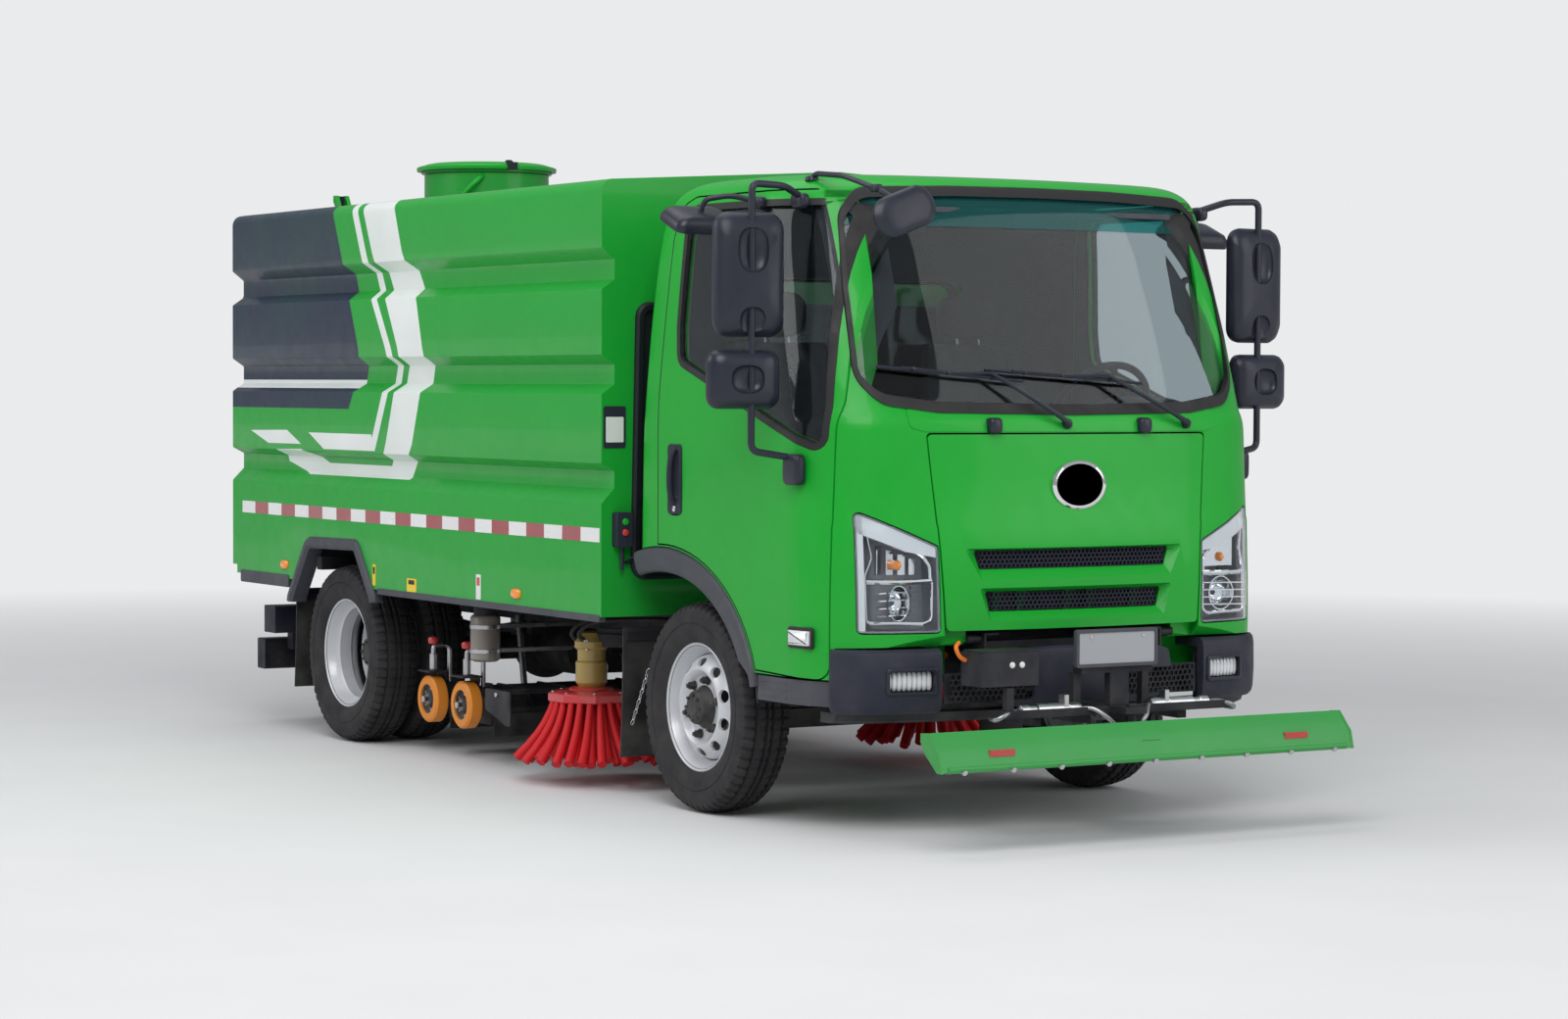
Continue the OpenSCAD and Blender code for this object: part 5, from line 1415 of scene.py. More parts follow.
# ---- hopper body --------------------------------------------------------------------------------


@dataclass
class Hopper:
    """The green body: channelled walls, skirts, filler, tape, lamps, tailgate and control box."""

    half: float = 1.037
    back: float = -1.070
    front: float = 2.460
    wall: float = 0.025
    floor: float = 0.790
    skirt: float = 0.683
    top: float = 2.279
    crown: float = 0.095
    depth: float = 0.054
    neck: tuple[float, float] = (-0.600, 0.285)
    neck_top: float = 2.524
    tape_lengths: int = 23
    channels: tuple = ((2.060, 2.018, 1.942, 1.905), (1.662, 1.626, 1.551, 1.514), (1.256, 1.229, 1.162, 1.107))

    def half_outline(self) -> Points:
        """Returns the left half of the cross-section, from the skirt to the roof's crown."""
        line = [(self.half, self.skirt)]
        for over, deep_over, deep_under, under in reversed(self.channels):
            line += [(self.half, under), (self.half - self.depth, deep_under), (self.half - self.depth, deep_over),
                     (self.half, over)]
        line = bent(np.array(line + [(self.half, self.top - 0.060)]), 0.008, 2, closed=False)
        shoulder = bent([(self.half, self.top - 0.060), (self.half, self.top + 0.034), (0.0, self.top + self.crown)],
                        0.085, 9, closed=False)
        return np.vstack([line, shoulder[1:]])

    def section(self, low: float, inset: float = 0.0) -> Points:
        """Returns the closed cross-section in y and z above low, drawn in by inset."""
        right = self.half_outline()
        right = right[right[:, 1] > low + 1e-4]
        loop = np.vstack([[(self.half, low)], right, (right[:-1] * (-1, 1))[::-1], [(-self.half, low)]])
        return offset(loop, -inset) if inset else loop

    def arch(self, grow: float) -> Points:
        """Returns the rear wheel opening in x and z, grown outwards."""
        line = [(-0.470, 0.10), (-0.440, 0.600), (-0.245, 0.850), (0.252, 0.858), (0.425, 0.640), (0.480, 0.10)]
        line = bent(line, 0.05, 5)
        return offset(line, grow) if grow else line

    def shell(self) -> None:
        """Builds the walls, roof, skirts and floor, with the filler neck on the roof."""
        outer = Form().prism(self.section(self.skirt), self.back, self.front, Plane.YZ)
        hold = Form().prism(self.section(self.floor + 0.025, self.wall), self.back - 0.1, self.front - 0.045, Plane.YZ)
        under = self.half - self.wall
        below = Form().block((self.back - 0.1, -under, 0.3), (self.front - 0.020, under, self.floor))
        wheels = Form().prism(self.arch(0.0), -self.half - 0.1, self.half + 0.1)
        middle, radius = self.neck
        neck_hole = Form().spun([(2.2, radius - 0.012), (2.9, radius - 0.012)], (middle, 0, 0), "Z", 72)
        for form in (hold, below, wheels, neck_hole):
            form.marked(1)
        neck = Form().spun([(2.32, radius), (self.neck_top - 0.018, radius), (self.neck_top - 0.012, radius + 0.014),
                            (self.neck_top, radius + 0.014)], (middle, 0, 0), "Z", 72)
        body = carve(outer, [(Cut.PLUS, neck), (Cut.LESS, hold), (Cut.LESS, below), (Cut.LESS, wheels),
                             (Cut.LESS, neck_hole)], "hopper")
        body.build("hopper_walls", [LIVERY, BLACK], "hopper", "green_paint", ["hopper_body"], angle=22)
        under_parts = Form()
        for side in (1, -1):
            under_parts.block((-0.87, side * 0.32, 0.70), (self.front - 0.06, side * 0.38, self.floor + 0.004))
            under_parts.block((-0.958, side * 0.334, 0.745), (-0.902, side * 0.366, self.floor + 0.004))
        for x in np.arange(-0.75, 2.3, 0.51):
            if abs(x - 0.8) > 0.15:
                under_parts.block((x, -1.005, self.floor - 0.055), (x + 0.05, 1.005, self.floor + 0.004))
        for y in (-0.220, -0.136):
            under_parts.block((-0.54, y, 0.705), (-0.46, y + 0.016, self.floor + 0.004))
        under_parts.build("hopper_bearers", [BLACK], "hopper", "frame_black", bevel=0.003)

    def front_wall(self) -> None:
        """Builds the black recess in the wall behind the cab, its hatch, label and control box."""
        x = self.front
        recess = Form()
        frame = bent([(-0.915, 0.82), (0.915, 0.82), (0.895, 1.860), (-0.895, 1.860)], 0.06, 6)
        inner = offset(frame, -0.030)
        rings = [np.column_stack([np.full(len(line), x + d), line]) for line, d in
                 ((frame, -0.004), (frame, 0.014), (offset(frame, -0.010), 0.020), (inner, 0.018), (inner, 0.004))]
        recess.loft(rings)
        recess.build("front_wall_panel", [BLACK], "hopper", "dark_plastic", angle=35)
        label = slab((-1.030, 1.313, -0.935, 1.470), x - 0.001, x + 0.003, 0.008, 2)
        label.finish(1).prism(box_outline(-1.020, 1.335, -0.945, 1.430, 0.004, 2), x, x + 0.0038, Plane.YZ)
        label.finish(0).prism(box_outline(-0.992, 0.945, -0.928, 1.075, 0.008, 3), x - 0.001, x + 0.045, Plane.YZ)
        for k, z in enumerate((1.040, 1.000)):
            knob = [(0.044, 0.013), (0.050, 0.013), (0.054, 0.010), (0.055, 0.0)]
            label.finish(2 + k).spun(knob, (x, -0.960, z), "X", 20)
        label.finish(0).tube([(x + 0.02, -0.960, 0.950), (x + 0.02, -0.960, 0.860)], 0.008, 10)
        label.build("front_wall_switches", [PLASTIC, WHITE, GREEN, RED_PAINT], "hopper", "dark_plastic",
                    bevel=0.001)

    def trims(self) -> None:
        """Builds the marker tape, the arch trims, the side lamps and the small plates."""
        side = Form()
        for k in range(self.tape_lengths):
            start = TAPE.start + TAPE.pitch * k
            side.block((start, self.half - 0.0005, 0.962), (start + 0.1495, self.half + 0.0012, 1.015))
        side.pair().build("marker_tape", [TAPE], "hopper", "bright_steel")
        trim = Form()
        outer, inner = self.arch(0.030), self.arch(-0.020)
        keep = [i for i in range(len(outer)) if outer[i, 1] > 0.45]
        a, b = outer[keep], inner[keep]
        order = np.argsort(a[:, 0] + (a[:, 1] < 0.8) * np.sign(a[:, 0]) * (0.8 - a[:, 1]))
        a, b = a[order], b[order]
        y = self.half
        rings = [np.array([(p[0], y - 0.030, p[1]), (p[0], y + 0.004, p[1]),
                           (0.8 * p[0] + 0.2 * q[0], y + 0.016, 0.8 * p[1] + 0.2 * q[1]),
                           (0.3 * p[0] + 0.7 * q[0], y + 0.018, 0.3 * p[1] + 0.7 * q[1]),
                           (q[0], y + 0.006, q[1]), (q[0], y - 0.060, q[1])]) for p, q in zip(a, b)]
        trim.loft(rings)
        lip = bent([(-1.02, 0.645), (-0.470, 0.645), (-0.470, 0.700), (-1.02, 0.700)], 0.01, 2)
        trim.prism(lip, y - 0.028, y + 0.004)
        lip = bent([(0.470, 0.664), (self.front - 0.01, 0.664), (self.front - 0.01, 0.690), (0.470, 0.690)], 0.006, 2)
        trim.prism(lip, y - 0.024, y + 0.003)
        trim.pair().build("hopper_arch_trims", [GREY_PLASTIC], "hopper", "dark_plastic", angle=35)
        marks = Form()
        for x, z in ((-0.515, 0.745), (1.763, 0.735)):
            marks.finish(1).ball((x, y, z), (0.036, 0.016, 0.020), 0.7, 12, 24)
        for x, z, w, h, mark in ((0.434, 0.744, 0.030, 0.090, 2), (0.805, 0.719, 0.090, 0.055, 2),
                                 (1.428, 0.744, 0.042, 0.100, 3)):
            marks.finish(mark).prism(box_outline(x - w / 2, z - h / 2, x + w / 2, z + h / 2, 0.004, 2),
                                     y - 0.001, y + 0.0015)
            marks.finish(mark + 2).prism(box_outline(x - w * 0.32, z + h * 0.05, x + w * 0.32, z + h * 0.38, 0.003, 2),
                                         y, y + 0.002)
        marks.pair().build("hopper_side_marks", [RUBBER, AMBER_LENS, YELLOW_LABEL, WHITE, RUBBER, RED_PAINT], "hopper",
                           "bright_steel")

    def lid(self) -> None:
        """Builds the domed filler lid, its clamp ring, handle and hinge."""
        x, r = self.neck[0], self.neck[1] + 0.030
        z = self.neck_top
        lid = Form()
        lid.spun([(0.0, r - 0.02), (0.0, r - 0.003), (0.004, r), (0.014, r), (0.020, r - 0.006), (0.024, r - 0.022),
                  (0.030, r - 0.040), (0.034, r - 0.060), (0.038, 0.18), (0.040, 0.08), (0.041, 0.0)],
                 (x, 0, z + 0.0003), "Z", 72)
        lid.block((x - r - 0.022, -0.040, z + 0.002), (x - r + 0.030, 0.040, z + 0.022))
        lid.spun([(-0.002, r - 0.004), (-0.002, r + 0.004), (0.010, r + 0.006), (0.016, r + 0.003),
                  (0.016, r - 0.004)], (x, 0, z + 0.001), "Z", 72, loop=True)
        lid.pin((x - r - 0.022, -0.040, z + 0.012), (x - r - 0.022, 0.040, z + 0.012), 0.013, 20, 0.002)
        clamp = Form().block((x + r - 0.012, -0.024, z - 0.002), (x + r + 0.009, 0.024, z + 0.030))
        clamp.tube(smooth([(x + r + 0.006, 0, z + 0.024), (x + r - 0.02, 0, z + 0.034),
                           (x + r - 0.07, 0, z + 0.036)], 5), 0.007, 10)
        lid.join(clamp.marked(1).turned("Z", -5, (x, 0, 0)))
        lid.build("filler_lid_dome", [GREEN, BLACK], "filler_lid", "green_paint", ["filler_lid"], angle=35)
        hinge = Form()
        for y in (-0.060, 0.044):
            hinge.block((x - r - 0.036, y, z - 0.040), (x - self.neck[1] + 0.015, y + 0.016, z - 0.006))
            hinge.block((x - r - 0.036, y, z - 0.040), (x - r - 0.008, y + 0.016, z + 0.022))
        hinge.pin((x - r - 0.022, -0.062, z + 0.012), (x - r - 0.022, 0.062, z + 0.012), 0.007, 16)
        turn = np.radians(np.linspace(-50, -30, 11))
        reach = self.neck[1] + np.array([-0.002, 0.016, 0.030, 0.036, 0.038, 0.038, 0.038, 0.036, 0.030, 0.016, -0.002])
        hinge.finish(1).tube(np.column_stack([x + reach * np.cos(turn), reach * np.sin(turn),
                                              np.linspace(z - 0.150, z - 0.030, 11)]), 0.013, 12)
        hinge.build("filler_hinge", [BLACK, GREEN], "hopper", "green_paint", bevel=0.002)

    def tailgate(self) -> None:
        """Builds the rear door: a pressed panel with a frame, ribs, latches, reflectors and top hinges."""
        back, face = -1.140, self.back - 0.002
        gate = Form().prism(self.section(0.7205, 0.0005), back + 0.018, face, Plane.YZ)
        press = bent([(-0.90, 0.80), (0.90, 0.80), (0.90, 2.20), (-0.90, 2.20)], 0.05, 5)
        recess = Form().loft([np.column_stack([np.full(len(line), d), line]) for line, d in
                              ((offset(press, 0.03), back - 0.01), (offset(press, 0.012), back + 0.012),
                               (press, back + 0.034))])
        ribs = Form()
        for z in (1.10, 1.50, 1.90):
            ribs.block((back + 0.020, -0.88, z - 0.03), (back + 0.040, 0.88, z + 0.03))
        for y in (-0.45, 0.0, 0.45):
            ribs.block((back + 0.024, y - 0.025, 0.82), (back + 0.040, y + 0.025, 2.18))
        body = carve(gate, [(Cut.LESS, recess), (Cut.PLUS, ribs)], "gate")
        body.build("tailgate_panel", [LIVERY], "tailgate", "green_paint", ["tailgate"], bevel=0.004, angle=28)
        extra = Form()
        pin = (self.back - 0.012, self.top + self.crown + 0.032)
        for y in (0.502, -0.526):
            ear = [(face - 0.004, self.top + 0.020), (pin[0] + 0.012, pin[1] - 0.006), (pin[0] + 0.012, pin[1] + 0.012),
                   (pin[0] - 0.012, pin[1] + 0.012), (back + 0.036, self.top + 0.060), (back + 0.036, self.top + 0.020)]
            extra.prism(np.array(ear), y, y + 0.024)
        for y in (-0.86, 0.86):
            extra.pin((back + 0.012, y, 0.90), (back + 0.012, y, 1.95), 0.011, 12)
            for z in (0.90, 1.42, 1.95):
                extra.block((back + 0.002, y - 0.025, z - 0.03), (back + 0.030, y + 0.025, z + 0.03))
        extra.tube(bent([(back + 0.016, 0.70, 1.25), (back + 0.004, 0.70, 1.25), (back + 0.004, 0.70, 1.45),
                         (back + 0.016, 0.70, 1.45)], 0.006, 3, closed=False), 0.006, 10)
        for z in (1.05, 1.85):
            for side in (1, -1):
                extra.finish(1).prism(box_outline(side * 0.955 - 0.03, z - 0.10, side * 0.955 + 0.03, z + 0.10, 0.01),
                                      back + 0.014, back + 0.0185, Plane.YZ)
        extra.build("tailgate_fittings", [BLACK, RED_LENS], "tailgate", "frame_black", bevel=0.002)
        hinge = Form()
        for y in (0.480, 0.530, -0.498, -0.548):
            plate = [(self.back + 0.060, self.top + 0.050), (pin[0] + 0.015, pin[1] + 0.015),
                     (pin[0] - 0.015, pin[1] + 0.015), (pin[0] - 0.015, pin[1] - 0.013),
                     (self.back + 0.002, self.top + 0.080), (self.back + 0.010, self.top + 0.030)]
            hinge.prism(np.array(plate), y, y + 0.018)
        for side in (1, -1):
            hinge.pin((pin[0], side * 0.478, pin[1]), (pin[0], side * 0.550, pin[1]), 0.009, 16)
        hinge.build("tailgate_hinges", [GREEN], "hopper", "green_paint", bevel=0.002)

    def build(self) -> None:
        """Builds the whole body."""
        self.shell()
        self.front_wall()
        self.trims()
        self.lid()
        self.tailgate()


# ---- wheels -----------------------------------------------------------------------------------


@dataclass
class Wheel:
    """One road wheel: a dished steel rim with hand holes, nuts and hub, and a lugged tyre."""

    radius: float = 0.383
    width: float = 0.200
    rim: float = 0.235
    rim_width: float = 0.152
    nuts: int = 6
    holes: int = 10
    centre_z: float = 0.383

    def tyre(self, x: float, y: float) -> Form:
        """Returns the tyre: a carcass profile turned about the axle, with tread blocks."""
        half, top = self.width / 2, self.radius
        tread = [(-half * 0.80, top - 0.010), (-half * 0.60, top - 0.0055), (-half * 0.56, top - 0.016),
                 (-half * 0.50, top - 0.016), (-half * 0.46, top - 0.002), (-half * 0.20, top - 0.0005),
                 (-half * 0.16, top - 0.013), (-half * 0.08, top - 0.013), (-half * 0.04, top),
                 (half * 0.04, top), (half * 0.08, top - 0.013), (half * 0.16, top - 0.013),
                 (half * 0.20, top - 0.0005), (half * 0.46, top - 0.002), (half * 0.50, top - 0.016),
                 (half * 0.56, top - 0.016), (half * 0.60, top - 0.0055), (half * 0.80, top - 0.010)]
        wall = [(half * 0.93, top - 0.020), (half * 0.99, top - 0.040), (half * 1.0, top - 0.060),
                (half * 0.995, top - 0.074), (half * 0.965, top - 0.0765), (half * 0.96, top - 0.080),
                (half * 0.985, top - 0.083), (half * 0.965, top - 0.105), (half * 0.90, top - 0.128),
                (half * 0.80, self.rim + 0.008), (half * 0.72, self.rim - 0.012)]
        far = [(-a, r) for a, r in reversed(wall)]
        inside = [(half * 0.55, self.rim - 0.004), (half * 0.80, top - 0.090), (half * 0.70, top - 0.040),
                  (-half * 0.70, top - 0.040), (-half * 0.80, top - 0.090), (-half * 0.55, self.rim - 0.004)]
        rows = far + tread + wall

        def cuts(angle: Points, row: Points) -> Points:
            """Returns the sipes and shoulder blocks: square waves round the tyre."""
            first, last = len(far), len(far) + len(tread)
            shoulder = ((row >= first - 2) & (row < first + 2)) | ((row >= last - 2) & (row < last + 2))
            rib = (row >= first + 2) & (row < last - 2)
            wave = np.sin(angle * 60.0)
            return -0.008 * shoulder * (wave > 0.35) - 0.004 * rib * (wave > 0.86)
        return Form().spun(rows + inside, (x, y, self.centre_z), "Y", 360, loop=True, wave=cuts)

    def disc(self, x: float, y: float, side: int, dish: float, hub: float) -> Form:
        """Returns a rim about (x, y): its drop centre, and a disc dished out by dish.

        Args:
            x: the axle's place.
            y: the middle of the tyre.
            side: 1 where the outside faces left.
            dish: from the tyre's middle to the disc's bolting face, outwards.
            hub: radius of the middle hole.

        Returns:
            The rim.
        """
        w, r = self.rim_width / 2, self.rim
        barrel = [(-w, r), (-w - 0.003, r - 0.004), (-w, r - 0.008), (-w + 0.014, r - 0.017), (-w + 0.030, r - 0.021),
                  (-w + 0.045, r - 0.040), (w - 0.055, r - 0.040), (w - 0.036, r - 0.021), (w - 0.014, r - 0.017),
                  (w, r - 0.008), (w + 0.003, r - 0.004), (w, r)]
        skin = [(w - 0.002, r - 0.001), (w - 0.016, r - 0.011), (w - 0.034, r - 0.015), (w - 0.054, r - 0.033),
                (-w + 0.045, r - 0.034), (-w + 0.030, r - 0.015), (-w + 0.014, r - 0.011), (-w + 0.002, r - 0.002)]
        plate = [(dish - 0.030, 0.192), (dish - 0.012, 0.186), (dish + 0.010, 0.168), (dish + 0.022, 0.152),
                 (dish + 0.024, 0.138), (dish + 0.018, 0.128), (dish + 0.004, 0.116), (dish, 0.108), (dish, hub)]
        back = [(a - 0.010, b - 0.004 * (b < 0.19)) for a, b in plate[::-1]]
        sheet = round_axle(plate + back, (x, y, self.centre_z), side, 96, loop=True)
        for k in range(self.holes):
            a = 2 * math.pi * (k + 0.5) / self.holes
            turn = np.radians(np.linspace(0, 360, 20, endpoint=False))
            along, across = 0.163 + 0.0155 * np.cos(turn), 0.0245 * np.sin(turn)
            outline = np.column_stack([along * math.cos(a) - across * math.sin(a) + x,
                                       along * math.sin(a) + across * math.cos(a) + self.centre_z])
            drill = Form().prism(outline, y + side * dish - 0.07, y + side * dish + 0.07)
            sheet = carve(sheet, [(Cut.LESS, drill)], "disc")
        sheet.marked(0)
        return sheet.join(round_axle(barrel + skin, (x, y, self.centre_z), side, 96, loop=True))

    def nut_ring(self, x: float, y: float, side: int, pitch: float, reach: float) -> Form:
        """Returns the wheel nuts with studs and washers, on a bolt circle of radius pitch at the disc's face y."""
        ring = Form()
        for u, v in circle(self.nuts, pitch, 0.25, (x, self.centre_z)):
            for radius, start, end, sides in ((0.0185, -0.002, 0.004, 20), (0.0150, 0.002, 0.002 + reach, 6),
                                              (0.0085, 0.0, reach + 0.012, 12)):
                ring.pin((u, y + side * start, v), (u, y + side * end, v), radius, sides)
        return ring


@dataclass
class RoadWheels:
    """Front wheels and rear twins."""

    wheel: Wheel = field(default_factory=Wheel)
    front_y: float = 0.834
    rear_y: float = 0.893
    twin_step: float = 0.230
    disc_plane: float = 0.778

    def front(self) -> None:
        """Builds both front wheels: disc bulged outwards and dark hub."""
        w = self.wheel
        for name, side in SIDES:
            y = side * self.front_y
            body = f"front_wheel_{name}"
            rim = w.disc(AXLES.base, y, side, 0.050, 0.080)
            rim.build(f"front_rim_{name}_disc", [WHEEL], body, "wheel_silver", [f"front_rim_{name}"], angle=35)
            hub = w.nut_ring(AXLES.base, y + side * 0.050, side, 0.103, 0.020)
            cap = [(0.000, 0.090), (0.040, 0.088), (0.046, 0.080), (0.052, 0.072), (0.074, 0.064), (0.090, 0.060),
                   (0.096, 0.052), (0.098, 0.036), (0.104, 0.030), (0.105, 0.0)]
            hub.join(round_axle(cap, (AXLES.base, y, w.centre_z), side, 48))
            for u, v in circle(8, 0.046, 0.0, (AXLES.base, w.centre_z)):
                hub.pin((u, y + side * 0.094, v), (u, y + side * 0.106, v), 0.006, 6)
            hub.build(f"front_hub_{name}", [CAST], body, "cast_iron", angle=35)
            w.tyre(AXLES.base, y).build(f"front_tyre_{name}_tread", [TYRE], body, "tyre_rubber",
                                              [f"front_tyre_{name}"], angle=30)

    def rear(self) -> None:
        """Builds the twin rear wheels, bolted back to back on dark hubs."""
        w = self.wheel
        for name, side in SIDES:
            body = f"rear_wheels_{name}"
            outer, inner = side * self.rear_y, side * (self.rear_y - self.twin_step)
            face = side * self.disc_plane
            rims = w.disc(0.0, outer, side, side * (face - outer) + 0.006, 0.085)
            rims.join(w.disc(0.0, inner, -side, -side * (face - inner) + 0.006, 0.085))
            rims.build(f"rear_rims_{name}_discs", [WHEEL], body, "wheel_silver", [f"rear_rims_{name}"], angle=35)
            hub = w.nut_ring(0.0, face + side * 0.006, side, 0.103, 0.022)
            cap = [(-0.06, 0.084), (0.040, 0.082), (0.046, 0.074), (0.050, 0.062), (0.092, 0.058), (0.096, 0.050),
                   (0.098, 0.0)]
            hub.join(round_axle(cap, (0.0, face, w.centre_z), side, 48))
            for u, v in circle(8, 0.044, 0.0, (0.0, w.centre_z)):
                hub.pin((u, face + side * 0.090, v), (u, face + side * 0.104, v), 0.006, 6)
            hub.build(f"rear_hub_{name}", [CAST], body, "cast_iron", angle=35)
            tyres = w.tyre(0.0, outer).join(w.tyre(0.0, inner))
            tyres.build(f"rear_tyres_{name}_tread", [TYRE], body, "tyre_rubber", [f"rear_tyres_{name}"], angle=30)

    def build(self) -> None:
        """Builds all road wheels."""
        self.front()
        self.rear()


# ---- sweeping gear ------------------------------------------------------------------------------


@dataclass
class SideBrush:
    """A side brush on its arm: ochre motor column, red plate and bundles of bristle."""

    centre: tuple[float, float] = (1.920, 0.790)
    plate_radius: float = 0.170
    plate: tuple[float, float] = (0.318, 0.372)
    bundles: int = 24
    spread: float = 0.292
    foot: float = 0.088

    def bristles(self) -> Form:
        """Returns the bundles: bent tapering tubes that lean outwards from three rings of holes."""
        form = Form()
        for ring, (radius, count, reach) in enumerate(((0.145, self.bundles, self.spread), (0.118, 18, 0.245),
                                                       (0.090, 12, 0.190))):
            for k in range(count):
                a = 2 * math.pi * (k + 0.37 * ring) / count
                lean = 0.10 * math.sin(7.3 * k + 2 * ring)
                path = []
                for t in np.linspace(0, 1, 6):
                    r = radius + (reach - radius) * (0.35 * t + 0.65 * t ** 2)
                    b = a + lean * t
                    low = self.foot + 0.012 * math.sin(3.1 * k + ring)
                    path.append((r * math.cos(b), r * math.sin(b), self.plate[0] + 0.01 + (low - self.plate[0]) * t))
                form.tube(path, np.array([0.012, 0.0135, 0.015, 0.0165, 0.018, 0.0195]), 8)
        return form

    def hub(self) -> Form:
        """Returns the octagonal plate with its clamping ring, bolts and boss."""
        form = Form()
        corners = np.radians(np.arange(8) * 45 + 22.5)
        low, high = self.plate
        outline = bent(np.column_stack([np.cos(corners), np.sin(corners)]) * self.plate_radius, 0.012, 3)
        rings = [np.column_stack([offset(outline, -d), np.full(len(outline), z)]) for d, z in
                 ((0.006, low), (0.0, low + 0.005), (0.0, low + 0.030), (0.005, low + 0.036), (0.040, high - 0.008),
                  (0.048, high - 0.008))]
        form.loft(rings)
        form.spun([(high - 0.03, 0.090), (high - 0.004, 0.088), (high, 0.082), (high + 0.004, 0.060),
                   (high + 0.004, 0.0)], (0, 0, 0), "Z", 40)
        form.finish(1)
        for spot in circle(8, 0.148, 0.5):
            form.pin((*spot, low + 0.030), (*spot, low + 0.042), 0.009, 6)
        return form

    def arm(self) -> Form:
        """Returns the arm and the motor column, drawn about the brush for the left side."""
        x, y = self.centre
        form = Form()
        form.spun([(0.376, 0.050), (0.392, 0.062), (0.470, 0.062), (0.478, 0.055), (0.520, 0.055), (0.528, 0.066),
                   (0.552, 0.066), (0.560, 0.058), (0.585, 0.046), (0.592, 0.030), (0.592, 0.0)], (x, y, 0), "Z", 32)
        for spot in circle(4, 0.056, 0.5, (x, y)):
            form.finish(1).pin((*spot, 0.520), (*spot, 0.560), 0.008, 6)
        pivot = (2.220, 0.560)
        form.finish(2)
        form.spun([(0.500, 0.036), (0.504, 0.040), (0.618, 0.040), (0.622, 0.036)], (*pivot, 0), "Z", 28)
        way = np.array(pivot) - (x, y)
        length = float(np.hypot(*way))
        way = way / length
        square = np.array([way[1], -way[0]])
        for w, low, high in ((0.030, 0.532, 0.582), (0.018, 0.582, 0.604)):
            line = [(np.array((x, y)) + way * a + square * b) for a, b in
                    ((0.03, -w), (length - 0.02, -w * 1.2), (length - 0.02, w * 1.2), (0.03, w))]
            form.prism(np.array(line), low, high, Plane.XY)
        return form

    def hoses(self) -> Form:
        """Returns the two hydraulic hoses from the motor to the frame end of the arm."""
        x, y = self.centre
        form = Form()
        for k, (dx, dy) in enumerate(((0.030, 0.050), (-0.030, 0.050))):
            path = [(x + dx, y + dy - 0.01, 0.545), (x + dx, y + dy + 0.020, 0.585), (x + dx + 0.04, y + 0.03, 0.628),
                    (x + 0.14, y - 0.06 - 0.02 * k, 0.640), (2.190, 0.600 - 0.05 * k, 0.640),
                    (2.235, 0.560 - 0.02 * k, 0.618)]
            form.tube(smooth(path, 6), 0.009, 10)
            form.finish(1).pin((x + dx, y + dy - 0.014, 0.535), (x + dx, y + dy - 0.004, 0.562), 0.013, 6)
            form.finish(0)
        return form

    def build(self) -> None:
        """Builds both side brushes."""
        place = (*self.centre, 0.0)
        brush, plate = self.bristles().shifted(place), self.hub().shifted(place)
        arm, hoses = self.arm(), self.hoses()
        for name, side in SIDES:
            brush.sided(side).build(f"brush_{name}_bristles", [BRISTLE], f"brush_{name}", "red_bristle",
                               [f"side_brush_{name}"], angle=50)
            plate.sided(side).build(f"brush_{name}_plate", [RED_PAINT, STEEL], f"brush_{name}", "red_bristle", angle=30)
            arm.sided(side).build(f"brush_{name}_motor", [YELLOW, STEEL, BLACK], f"brush_arm_{name}", "yellow_paint",
                             [f"brush_arm_{name}"], angle=30)
            hoses.sided(side).build(f"brush_{name}_hoses", [RUBBER, STEEL], f"brush_arm_{name}", "dark_rubber")


